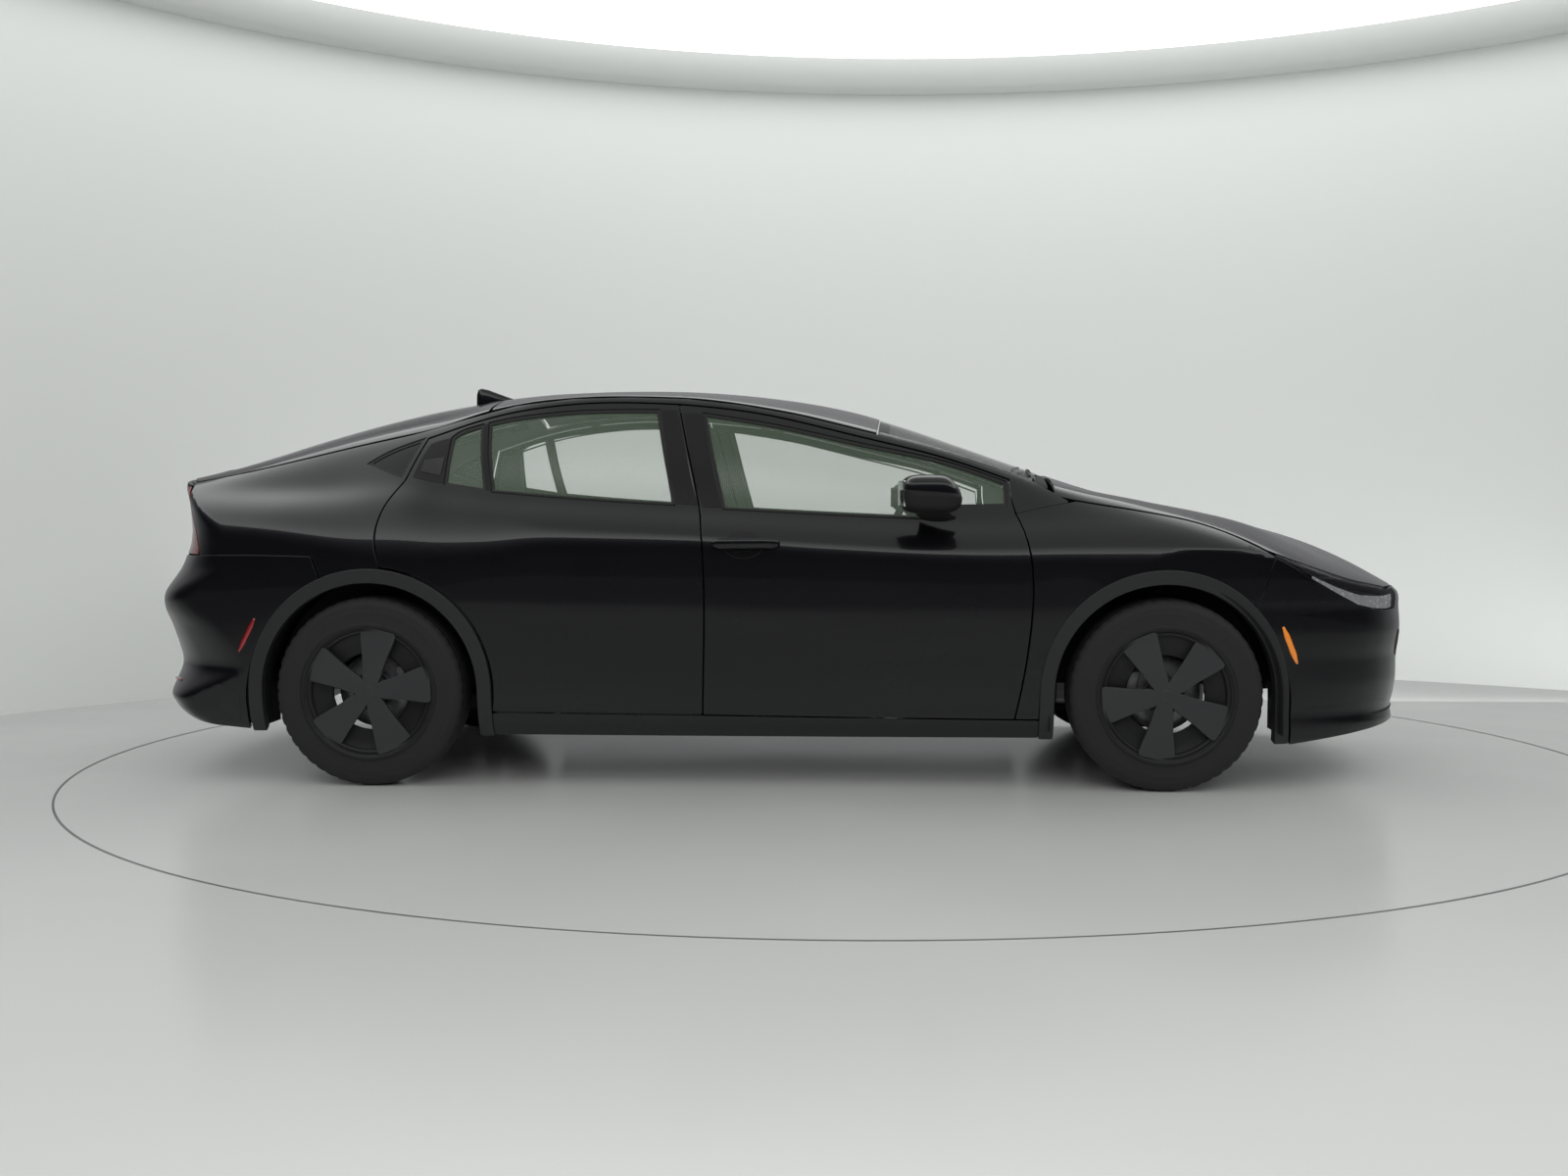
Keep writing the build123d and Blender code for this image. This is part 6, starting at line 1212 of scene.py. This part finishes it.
# ================================================================ wheels
def wheel_all():
    hub = {"front": TRACK_F / 2, "rear": TRACK_R / 2}
    seg = 192
    for nm, cx, phase in (("front", FRONT_AXLE, 45.0), ("rear", REAR_AXLE, 80.0)):
        for s, sd in ((1, "left"), (-1, "right")):
            y = hub[nm]
            body = "wheel_%s_%s" % (nm, sd)
            tag = "%s_%s" % (nm, sd)
            # tyre
            pr = [(214, -86, 0), (222, -92, 0), (232, -95.5, 0), (236, -97, 0), (240, -96, 0), (258, -97, 0), (276, -97, 0), (279, -97.6, 0), (282, -97, 0), (296, -94.5, 0), (299, -95, 0), (302, -94, 0),
                  (312, -90, 1), (320, -84, 1), (325.5, -77, 2), (328, -70, 2)]
            for c in (-50, -18, 18, 50):
                w_ = 4.5
                crown = lambda o: 331 - 2.6 * (o / 70.0) ** 2
                sh = 2 if abs(c) == 50 else 0
                pr += [(crown(c - w_), c - w_, 3 if c == -50 else (0 if c == -18 else 0)), (crown(c) - 7, c - w_ + 1, 0), (crown(c) - 7, c + w_ - 1, 0), (crown(c + w_), c + w_, 0)]
                if c != 50:
                    for o in np.linspace(c + w_ + 4, c + 32 - w_ - 4, 3):
                        pr.append((crown(o), o, 0))
            pr += [(r, -o, f) for r, o, f in [(328, -70, 2), (325.5, -77, 2), (320, -84, 1), (312, -90, 1), (302, -94, 0), (299, -95, 0), (296, -94.5, 0), (282, -97, 0), (279, -97.6, 0),
                                              (276, -97, 0), (258, -97, 0), (240, -96, 0), (236, -97, 0), (232, -95.5, 0), (222, -92, 0), (214, -86, 0)]]
            pr = np.array(pr, float)
            a = np.linspace(0, 2 * math.pi, seg, endpoint=False)
            R = np.repeat(pr[None, :, 0], seg, 0)
            gr_ = (np.arange(seg) % 4 == 0)[:, None]
            R = R - gr_ * ((pr[:, 2] == 2) * 4.5 + (pr[:, 2] == 1) * 1.6)[None]
            V = np.stack([cx + R * np.cos(a)[:, None], np.broadcast_to(s * (y + pr[:, 1])[None], R.shape), TYRE_R + R * np.sin(a)[:, None]], -1).reshape(-1, 3)
            n = len(pr)
            F = []
            for i in range(seg):
                m = (i + 1) % seg
                for j in range(n):
                    k = (j + 1) % n
                    q = (i * n + j, i * n + k, m * n + k, m * n + j)
                    F.append(q if s > 0 else q[::-1])
            add_obj("tyre_skin_" + tag, V, F, "tyre", body, replaces=("tyre_" + tag,))
            # rim barrel and outer ring
            lathe("rim_barrel_" + tag, [(204, -86), (213, -88), (215, -84), (210, -78), (206, -40), (204, 40), (208, 80), (216, 90), (214, 92), (203, 84), (200, 40), (200, -40), (204, -86)],
                  cx, y, "cover_dark", body, seg=72, sy=s, replaces=("wheel_" + tag,))
            lathe("cover_ring_" + tag, [(221, 84), (224, 95.5), (229, 98.5), (235, 99), (239.5, 97.5), (240, 94), (236, 90), (228, 84), (221, 84)], cx, y, "cover_dark", body, seg=seg, sy=s)
            # dark dish behind the blades, open near the hub
            lathe("cover_dish_" + tag, [(223, 86), (219, 80), (200, 68), (168, 60), (140, 56), (134, 54), (134, 48), (168, 54), (204, 62), (223, 80), (223, 86)], cx, y, "cover_dark", body, seg=96, sy=s)
            lathe("hub_face_" + tag, [(0, 70), (30, 70), (58, 66), (64, 60), (64, 30), (0, 30)], cx, y, "cover_dark", body, seg=64, sy=s)
            lathe("centre_cap_" + tag, [(0, 87.5), (16, 87.3), (22, 86.5), (25, 84), (25, 76), (0, 76)], cx, y, "cover", body, seg=64, sy=s)
            lathe("brake_disc_" + tag, [(64, -8), (70, -6), (128, -6), (130, -8), (130, -24), (128, -26), (64, -26), (64, -8)], cx, y, "alloy", body, seg=96, sy=s)
            lathe("disc_bell_" + tag, [(0, 28), (58, 28), (63, 24), (66, -10), (60, -12), (0, -12)], cx, y, "alloy", body, seg=64, sy=s)
            # blades
            pts = []
            for k in range(5):
                c = math.radians(phase + 72 * k)
                e = (math.cos(c), math.sin(c))
                t = (-math.sin(c), math.cos(c))
                half = [(56, 31.0), (80, 33.5), (105, 38), (130, 43.5), (155, 50), (182, 57), (206, 62)]
                va = c - math.radians(36)
                pts.append((36 * math.cos(va), 36 * math.sin(va)))
                lo_ = [(r * e[0] - h * t[0], r * e[1] - h * t[1]) for r, h in half]
                top = [((218 + 0.07 * u) * e[0] + u * t[0], (218 + 0.07 * u) * e[1] + u * t[1]) for u in (-64, -42, -21, 0, 21, 42, 64)]
                hi_ = [(r * e[0] + h * t[0], r * e[1] + h * t[1]) for r, h in half][::-1]
                pts += lo_ + top + hi_
            star = np.array(pts)
            # smooth closed walk
            cl = np.vstack([star[-6:], star, star[:6]])
            star = polyloop(star, 8.0)
            for _ in range(3):
                star = 0.25 * np.roll(star, 1, 0) + 0.5 * star + 0.25 * np.roll(star, -1, 0)

            def hgt(x, z, phase=phase):
                r = np.hypot(x, z)
                th = np.degrees(np.arctan2(z, x))
                ph = np.radians((th - phase + 36) % 72 - 36)
                k = np.clip((r - 45) / 90, 0, 1)
                k = k * k * (3 - 2 * k)
                return 94.0 - 9.0 * np.clip((190 - r) / 190, 0, 1) ** 1.5 - 3.0 * np.clip((r - 195) / 30, 0, 1) ** 2 - 0.075 * k * r * np.sin(ph)

            def f3(q, s=s, cx=cx, y=y):
                return np.stack([cx + q[:, 0], s * (y + hgt(q[:, 0], q[:, 1])), TYRE_R + q[:, 1]], -1)

            def n3(q, s=s):
                e = 0.8
                dx = (hgt(q[:, 0] + e, q[:, 1]) - hgt(q[:, 0] - e, q[:, 1])) / (2 * e)
                dz = (hgt(q[:, 0], q[:, 1] + e) - hgt(q[:, 0], q[:, 1] - e)) / (2 * e)
                n_ = np.stack([-dx, np.full(len(q), 1.0 * s), -dz], -1)
                return n_ / np.linalg.norm(n_, axis=1)[:, None]
            panel(("cover_blades_" + tag,), [star], f3, "cover", (body,), 12.0, r=2.5, depth=14.0, both=False, nf=n3)
            # caliper, held by the knuckle in front and by the axle behind
            hold = ("knuckle_" + sd) if nm == "front" else "body"
            ca = math.radians(165 if nm == "front" else 20)
            for i, (rr, dr, y0, y1) in enumerate(((118, 50, 0, 22), (154, 26, -48, 22), (118, 50, -48, -32))):
                bevel_box("caliper_%d_%s" % (i, tag), (cx + rr * math.cos(ca), s * (y + (y0 + y1) / 2), TYRE_R + rr * math.sin(ca)), (dr, y1 - y0, 104 if i != 1 else 96), "alloy", hold,
                          bev=7.0, seg=3, rot=(0, -math.degrees(ca), 0))


# ================================================================ cabin
def soft(name, c, size, rot, mats, body, shape=None, cap=24.0, vox=9.0, pressure=4.0):
    """A stuffed cushion: rounded block, remeshed, blown up as cloth, its growth capped."""
    import bmesh
    from mathutils import Euler
    bm = bmesh.new()
    bmesh.ops.create_cube(bm, size=1.0)
    bmesh.ops.subdivide_edges(bm, edges=bm.edges[:], cuts=11, use_grid_fill=True)
    for v in bm.verts:
        x, y, z = v.co * 2
        # soften the corners
        k = 0.20
        m = max(abs(x), abs(y), abs(z))
        p = Vector((x, y, z))
        q = p.normalized() * m
        p = p.lerp(q, k)
        v.co = Vector((p.x * size[0] / 2, p.y * size[1] / 2, p.z * size[2] / 2)) * 0.001
        if shape:
            v.co = Vector(shape(v.co * 1000.0)) * 0.001
    me = bpy.data.meshes.new(name)
    bm.to_mesh(me)
    bm.free()
    o = bpy.data.objects.new(name, me)
    bpy.context.scene.collection.objects.link(o)
    me.materials.append(M[mats])
    rm = o.modifiers.new("r", "REMESH")
    rm.mode = "VOXEL"
    rm.voxel_size = vox * MM
    dg = bpy.context.evaluated_depsgraph_get()
    me2 = bpy.data.meshes.new_from_object(o.evaluated_get(dg))
    o.modifiers.clear()
    o.data = me2
    rest = np.empty(len(me2.vertices) * 3)
    me2.vertices.foreach_get("co", rest)
    rest = rest.reshape(-1, 3)
    cl = o.modifiers.new("c", "CLOTH")
    cl.settings.use_pressure = True
    cl.settings.uniform_pressure_force = pressure
    cl.settings.effector_weights.gravity = 0.0
    cl.settings.quality = 4
    cl.settings.tension_stiffness = 30
    cl.settings.shear_stiffness = 10
    cl.settings.bending_stiffness = 1.0
    cl.collision_settings.use_collision = False
    cl.point_cache.frame_start = 1
    cl.point_cache.frame_end = 20
    for f in range(1, 21):
        bpy.context.scene.frame_set(f)
    dg = bpy.context.evaluated_depsgraph_get()
    me3 = bpy.data.meshes.new_from_object(o.evaluated_get(dg))
    o.modifiers.clear()
    now = np.empty(len(me3.vertices) * 3)
    me3.vertices.foreach_get("co", now)
    now = now.reshape(-1, 3)
    if len(now) == len(rest):
        d = now - rest
        L = np.linalg.norm(d, axis=1)[:, None] + 1e-9
        d *= np.minimum(1.0, cap * MM / L)
        now = rest + d
        me3.vertices.foreach_set("co", now.ravel())
    o.data = me3
    bpy.context.scene.frame_set(1)
    o.data.polygons.foreach_set("use_smooth", np.ones(len(o.data.polygons), bool))
    R = Euler([math.radians(q) for q in rot]).to_matrix().to_4x4()
    from mathutils import Matrix
    o.data.transform(Matrix.Translation(Vector(c) * MM) @ R)
    return o


def copy_at(o, name, dy):
    me = o.data.copy()
    from mathutils import Matrix
    me.transform(Matrix.Translation((0, dy * MM, 0)))
    c = bpy.data.objects.new(name, me)
    bpy.context.scene.collection.objects.link(c)
    return c


def seam(name, o, pts, r, mat, body):
    tube(name, pts, r, mat, body, sides=6)


def cabin():
    def cush(p):
        x, y, z = p
        z += 10 * (abs(y) / 250.0) ** 3 * (1 if z > 0 else 0) + (6 if z > 0 else 0) * (1 - (y / 250.0) ** 2) * 0.5
        return (x, y, z)

    def back(p):
        x, y, z = p
        w = 1.0 - 0.13 * np.clip((z + 40) / 300.0, 0, 1) ** 1.5
        y *= w
        if x > 0:
            x += 16 * (abs(y) / 240.0) ** 3
        return (x, y, z)
    x0 = -160.0
    parts = []
    a = soft("seat_cushion_right", (x0 + 235, -375, 436), (470, 470, 96), (0, -6, 0), "seat", "body", cush)
    b = soft("seat_back_right", (x0 - 95, -375, 738), (88, 452, 560), (0, -20, 0), "seat", "body", back)
    h = soft("head_rest_right", (x0 - 215, -375, 1098), (74, 232, 132), (0, -14, 0), "seat", "body", None, cap=12, vox=9.0)
    first = True
    for o in (a, b, h):
        c = copy_at(o, o.name.replace("right", "left"), 750)
        for q in (o, c):
            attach(q, "body")
            parts.append(q)
    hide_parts("front_seats")
    for s, sd in ((1, "left"), (-1, "right")):
        for dy in (60, -60):
            tube("rest_post_%s_%d" % (sd, dy), np.array([(x0 - 222, s * 375 + dy, 1060), (x0 - 180, s * 375 + dy, 950)]), 6.5, "steel", "body", sides=12)
        for dy in (-180, 180):
            bevel_box("seat_rail_%s_%d" % (sd, dy), (x0 + 220, s * 375 + dy, 200), (440, 46, 40), "alloy", "body", bev=6)
            bevel_box("seat_riser_%s_%d" % (sd, dy), (x0 + 220, s * 375 + dy, 300), (380, 22, 170), "black", "body", bev=6)
        bevel_box("seat_shell_%s" % sd, (x0 + 220, s * 375, 372), (430, 440, 26), "black", "body", bev=10)
        # sewn channels
        for dy in (-118, 118):
            t = np.linspace(-1, 1, 24)
            P = np.stack([x0 + 235 + t * 200, np.full(24, s * 375.0 + dy), 436 + 60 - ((-8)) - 10 * t ** 2 + t * 21], 1)
            seam("cushion_seam_%s_%d" % (sd, dy), None, P, 2.2, "rubber", "body")
    r1 = soft("bench_cushion", (-985, 0, 432), (430, 1180, 96), (0, -5, 0), "seat", "body", None, vox=11.0)
    r2 = soft("bench_back", (-1272, 0, 720), (76, 1140, 520), (0, -24, 0), "seat", "body", None, vox=11.0)
    for o in (r1, r2):
        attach(o, "body")
    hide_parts("rear_seat")
    base_h = soft("bench_rest_mid", (-1412, 0, 1032), (66, 220, 96), (0, -18, 0), "seat", "body", None, cap=10, vox=9.0)
    hs_ = [base_h, copy_at(base_h, "bench_rest_right", -360), copy_at(base_h, "bench_rest_left", 360)]
    for o in hs_:
        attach(o, "body")
    for y in (-360, 0, 360):
        tube("bench_post_%d" % y, np.array([(-1420, y, 1002), (-1382, y, 932)]), 7.0, "steel", "body", sides=12)
    # steering wheel
    SWc = np.array([388.0, 372.0, 818.0])
    tl = math.radians(64.0)
    ax = np.array([-math.sin(tl), 0, math.cos(tl)])
    e1 = np.array([0, 1.0, 0])
    e2 = np.cross(ax, e1)
    t = np.linspace(0, 2 * math.pi, 72, endpoint=False)
    ring = SWc + 182 * (np.cos(t)[:, None] * e1 + np.sin(t)[:, None] * e2)
    tube("wheel_rim_grip", ring, 13.5, "dash", "steering_wheel", sides=16, closed=True, up=tuple(ax), replaces=("steering_wheel",))

    def rot_pts(P):
        return P @ np.array([e2, e1, ax]) + SWc
    u = superell("wheel_pad", (0, 0, 0), (1, 1, 1), 0.6, 0.7, "dash", None, nu=40, nv=20)
    V = np.array([tuple(v.co) for v in u.data.vertices]) / MM
    V = V * np.array([62, 78, 24])
    V = rot_pts(V) * MM
    u.data.vertices.foreach_set("co", V.ravel())
    u.data.update()
    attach(u, "steering_wheel")
    for k, (a0, ln_) in enumerate(((0, 176), (180, 176), (90, 176))):
        r = np.linspace(50, ln_, 10)
        d = math.cos(math.radians(a0)) * e1 - math.sin(math.radians(a0)) * e2
        # third spoke points down the column side
        P = SWc + r[:, None] * d - ax * (6 * np.sin(np.linspace(0, math.pi, 10)))[:, None]
        tube("wheel_spoke_%d" % k, P, np.linspace(17, 13, 10), "gloss_black" if k < 2 else "dash", "steering_wheel", sides=12, flat=0.4, up=tuple(ax))
    # dashboard fittings
    bevel_box("binnacle", (620, 372, 925), (190, 330, 66), "dash", "body", bev=22, rot=(0, 8, 0))
    bevel_box("instrument_screen", (528, 372, 930), (10, 230, 60), "gloss_black", "body", bev=4, rot=(0, -14, 0))
    bevel_box("centre_screen", (470, 0, 850), (14, 270, 170), "gloss_black", "body", bev=5, rot=(0, -18, 0))
    for y in (-560, -250, 560, 210):
        bevel_box("vent_%d" % y, (476, y, 800), (16, 120, 46), "black", "body", bev=6, rot=(0, -10, 0))
    bevel_box("selector", (300, -40, 530), (56, 44, 70), "gloss_black", "body", bev=14)
    bevel_box("arm_rest", (-150, 0, 520), (260, 170, 60), "seat", "body", bev=20)
    # inner mirror
    bevel_box("inner_mirror", (470, 0, 1196), (26, 210, 60), "black", "body", bev=10, rot=(0, 12, 0))
    bevel_box("parcel_shelf", (-1640, 0, 930), (560, 980, 14), "carpet", "body", bev=5)
    bevel_box("floor_carpet", (-60, 0, 184), (1700, 1260, 6), "carpet", "body", bev=2) if False else None


# ================================================================ bare frame nodes
def frame_looks():
    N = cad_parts
    use = {"floor_pan": "chassis", "body_frame": "chassis", "engine_block": "alloy", "cowl_panel": "black", "dashboard": "dash", "steering_column": "black",
           "front_subframe": "chassis", "rear_axle": "chassis", "exhaust": "steel", "knuckle_left": "chassis", "knuckle_right": "chassis", "front_wheel_houses": "black", "rear_wheel_houses": "black", "front_rails": "chassis"}
    for k, mt in use.items():
        o = N.get(k)
        if o is None:
            continue
        o.data.materials.clear()
        o.data.materials.append(M[mt])
    # engine dressing
    bevel_box("engine_cover", (1290, -20, 858), (400, 480, 34), "black", "body", bev=12)
    for i in range(4):
        bevel_box("cover_rib_%d" % i, (1290, -140 + 80 * i, 878), (320, 16, 8), "gloss_black", "body", bev=3)
    bevel_box("inverter_case", (1180, -300, 872), (280, 260, 50), "alloy", "body", bev=10)
    tube("coolant_hose", cspline(np.array([(1500, 260, 870), (1620, 300, 862), (1780, 260, 800), (1900, 180, 720)]), 24), 22, "rubber", "body", sides=14)
    bevel_box("radiator", (1960, 0, 500), (36, 900, 420), "alloy", "body", bev=5)
    for i in range(8):
        bevel_box("radiator_tank_%d" % i, (1984, 0, 330 + 48 * i), (8, 860, 10), "black", "body", bev=2)
    bevel_box("bottle", (1620, 500, 700), (160, 150, 200), "headliner", "body", bev=26)
    bevel_box("fuse_box", (1480, 500, 800), (200, 140, 70), "black", "body", bev=12)


# ================================================================ studio
def studio():
    sc = bpy.context.scene
    m, nt, b = new_mat("studio_floor")
    n = noise(nt, 0.35, 2.0)
    r = ramp(nt, n.outputs["Fac"], (0.55, 0.56, 0.545), (0.59, 0.60, 0.585))
    nt.links.new(r.outputs["Color"], b.inputs["Base Color"])
    n2 = noise(nt, 0.8, 3.0)
    rough_from(nt, b, n2.outputs["Fac"], 0.16, 0.24)
    b.inputs["Specular IOR Level"].default_value = 0.5
    V = [(-24, -22, 0), (24, -22, 0), (24, 12, 0), (-24, 12, 0)]
    me = bpy.data.meshes.new("floor")
    me.from_pydata(V, [], [(0, 1, 2, 3)])
    me.materials.append(m)
    fl = bpy.data.objects.new("floor", me)
    sc.collection.objects.link(fl)
    m2, nt2, b2 = new_mat("studio_wall")
    n = noise(nt2, 0.2, 1.0)
    r = ramp(nt2, n.outputs["Fac"], (0.66, 0.675, 0.665), (0.69, 0.705, 0.695))
    nt2.links.new(r.outputs["Color"], b2.inputs["Base Color"])
    b2.inputs["Roughness"].default_value = 0.9

    def sweep(name, prof, a0, a1, n, mat, cx=0.76, cy=-1.5):
        """Surface of (radius, height) pairs turned about an upright axis."""
        V, F = [], []
        k = len(prof)
        for t in np.radians(np.linspace(a0, a1, n)):
            for rr, z in prof:
                V.append((cx + rr * math.cos(t), cy + rr * math.sin(t), z))
        for i in range(n - 1):
            for j in range(k - 1):
                F.append((i * k + j, (i + 1) * k + j, (i + 1) * k + j + 1, i * k + j + 1))
        me = bpy.data.meshes.new(name)
        me.from_pydata(V, [], F)
        me.polygons.foreach_set("use_smooth", [True] * len(me.polygons))
        me.materials.append(mat)
        o = bpy.data.objects.new(name, me)
        sc.collection.objects.link(o)
        return o
    def one_sided(nt, shader, inside):
        """Room surfaces are seen from inside the room only, so the car shows from every side."""
        out_ = next(n for n in nt.nodes if n.type == "OUTPUT_MATERIAL")
        ge = nt.nodes.new("ShaderNodeNewGeometry")
        tr = nt.nodes.new("ShaderNodeBsdfTransparent")
        mx = nt.nodes.new("ShaderNodeMixShader")
        nt.links.new(ge.outputs["Backfacing"], mx.inputs[0])
        nt.links.new(shader, mx.inputs[inside])
        nt.links.new(tr.outputs[0], mx.inputs[3 - inside])
        nt.links.new(mx.outputs[0], out_.inputs["Surface"])
    one_sided(nt2, b2.outputs[0], 2)
    for o in (sweep("wall", [(5.14, 0.0), (5.14, 3.46)], -6, 186, 90, m2),
              sweep("cove", [(5.14, 3.46), (5.0, 3.47), (4.93, 3.62)], -6, 186, 90, m2)):
        o.visible_glossy = False
    # soft light: a round ceiling panel, brighter towards its rim
    n_ = 120
    V = [(0, 0, 0)] + [(5.4 * math.cos(t), 4.55 * math.sin(t), 0) for t in np.linspace(0, 2 * math.pi, n_, endpoint=False)]
    me = bpy.data.meshes.new("ceiling_light")
    me.from_pydata(V, [], [(0, 1 + (i + 1) % n_, 1 + i) for i in range(n_)])
    m4 = bpy.data.materials.new("ceiling_light")
    m4.use_nodes = True
    t4 = m4.node_tree
    t4.nodes.clear()
    out = t4.nodes.new("ShaderNodeOutputMaterial")
    em = t4.nodes.new("ShaderNodeEmission")
    tc = t4.nodes.new("ShaderNodeTexCoord")
    mp = t4.nodes.new("ShaderNodeMapping")
    mp.inputs["Scale"].default_value = (1 / 5.4, 1 / 4.55, 1.0)
    ln = t4.nodes.new("ShaderNodeVectorMath")
    ln.operation = "LENGTH"
    mr = t4.nodes.new("ShaderNodeMapRange")
    mr.inputs["From Min"].default_value = 0.45
    mr.inputs["From Max"].default_value = 0.92
    mr.inputs["To Min"].default_value = 0.62
    mr.inputs["To Max"].default_value = 2.35
    t4.links.new(tc.outputs["Object"], mp.inputs["Vector"])
    t4.links.new(mp.outputs["Vector"], ln.inputs[0])
    t4.links.new(ln.outputs["Value"], mr.inputs["Value"])
    t4.links.new(mr.outputs["Result"], em.inputs["Strength"])
    em.inputs["Color"].default_value = (0.985, 1.0, 0.99, 1)
    one_sided(t4, em.outputs["Emission"], 1)
    me.materials.append(m4)
    o = bpy.data.objects.new("ceiling_light", me)
    o.location = (0.76, -1.05, 3.622)
    sc.collection.objects.link(o)
    # turntable line
    t = np.linspace(0, 2 * math.pi, 200, endpoint=False)
    V = [(0.22 + rr * math.cos(a), -0.01 + rr * math.sin(a), 0.0012) for a in t for rr in (2.852, 2.860)]
    F = [(2 * i, 2 * i + 1, (2 * i + 3) % 400, (2 * i + 2) % 400) for i in range(200)]
    me = bpy.data.meshes.new("turntable_line")
    me.from_pydata(V, [], F)
    m3, nt3, b3 = new_mat("floor_line")
    n = noise(nt3, 3.0, 1.0)
    r = ramp(nt3, n.outputs["Fac"], (0.10, 0.11, 0.11), (0.16, 0.17, 0.17))
    nt3.links.new(r.outputs["Color"], b3.inputs["Base Color"])
    me.materials.append(m3)
    o = bpy.data.objects.new("turntable_line", me)
    sc.collection.objects.link(o)
    w = bpy.data.worlds.new("studio")
    sc.world = w
    w.use_nodes = True
    wt = w.node_tree
    bg = wt.nodes["Background"]
    tc = wt.nodes.new("ShaderNodeTexCoord")
    sx = wt.nodes.new("ShaderNodeSeparateXYZ")
    wt.links.new(tc.outputs["Generated"], sx.inputs["Vector"])

    def sky(stops):
        rp = wt.nodes.new("ShaderNodeValToRGB")
        els = rp.color_ramp.elements
        els[0].position, els[0].color = stops[0][0], (*stops[0][1], 1)
        els[1].position, els[1].color = stops[-1][0], (*stops[-1][1], 1)
        for p_, q_ in stops[1:-1]:
            e = els.new(p_)
            e.color = (*q_, 1)
        wt.links.new(sx.outputs["Z"], rp.inputs["Fac"])
        return rp
    near = sky([(0.0, (0.02, 0.02, 0.025)), (0.22, (0.035, 0.035, 0.042)), (0.5, (0.13, 0.125, 0.15)), (1.0, (0.45, 0.44, 0.48))])
    far = sky([(0.0, (0.30, 0.31, 0.31)), (0.4, (0.34, 0.34, 0.35)), (1.0, (0.45, 0.44, 0.48))])
    my = wt.nodes.new("ShaderNodeMapRange")
    my.inputs["From Min"].default_value = -0.1
    my.inputs["From Max"].default_value = 0.5
    wt.links.new(sx.outputs["Y"], my.inputs["Value"])
    mixw = wt.nodes.new("ShaderNodeMix")
    mixw.data_type = "RGBA"
    wt.links.new(my.outputs["Result"], mixw.inputs[0])
    wt.links.new(near.outputs["Color"], mixw.inputs[6])
    wt.links.new(far.outputs["Color"], mixw.inputs[7])
    wt.links.new(mixw.outputs[2], bg.inputs["Color"])
    bg.inputs["Strength"].default_value = 1.0

    def area(name, loc, look, sx, sy, power, shape="RECTANGLE", col=(1, 1, 1), glossy=True):
        L = bpy.data.lights.new(name, "AREA")
        L.shape = shape
        L.size, L.size_y = sx, sy
        L.energy = power
        L.color = col
        o = bpy.data.objects.new(name, L)
        sc.collection.objects.link(o)
        o.location = loc
        d = Vector(look) - Vector(loc)
        o.rotation_euler = d.to_track_quat("-Z", "Y").to_euler()
        o.visible_glossy = glossy
        return o
    area("front_wash", (0.5, -8.5, 3.6), (0.3, -1.0, 0.0), 9.0, 3.0, 330, glossy=False)
    area("back_wash", (0.4, 1.9, 0.04), (0.4, 3.9, 0.9), 7.4, 0.5, 26, glossy=False)

    cam = bpy.data.cameras.new("cam")
    co = bpy.data.objects.new("cam", cam)
    sc.collection.objects.link(co)
    cam.sensor_width = 36.0
    cam.lens = 38.2
    cam.clip_end = 200
    yaw, pitch = 0.049, 0.048
    co.location = (0.316, -6.56, 0.97)
    fwd = Vector((-math.sin(yaw) * math.cos(pitch), math.cos(yaw) * math.cos(pitch), -math.sin(pitch)))
    co.rotation_euler = fwd.to_track_quat("-Z", "Y").to_euler()
    sc.camera = co
    sc.view_settings.view_transform = "Standard"
    sc.view_settings.look = "None"
    sc.view_settings.exposure = 0.0


skin_all()
top_all()
glass_all()
ends_all()
trims_all()
fittings()
wheel_all()
cabin()
frame_looks()
studio()
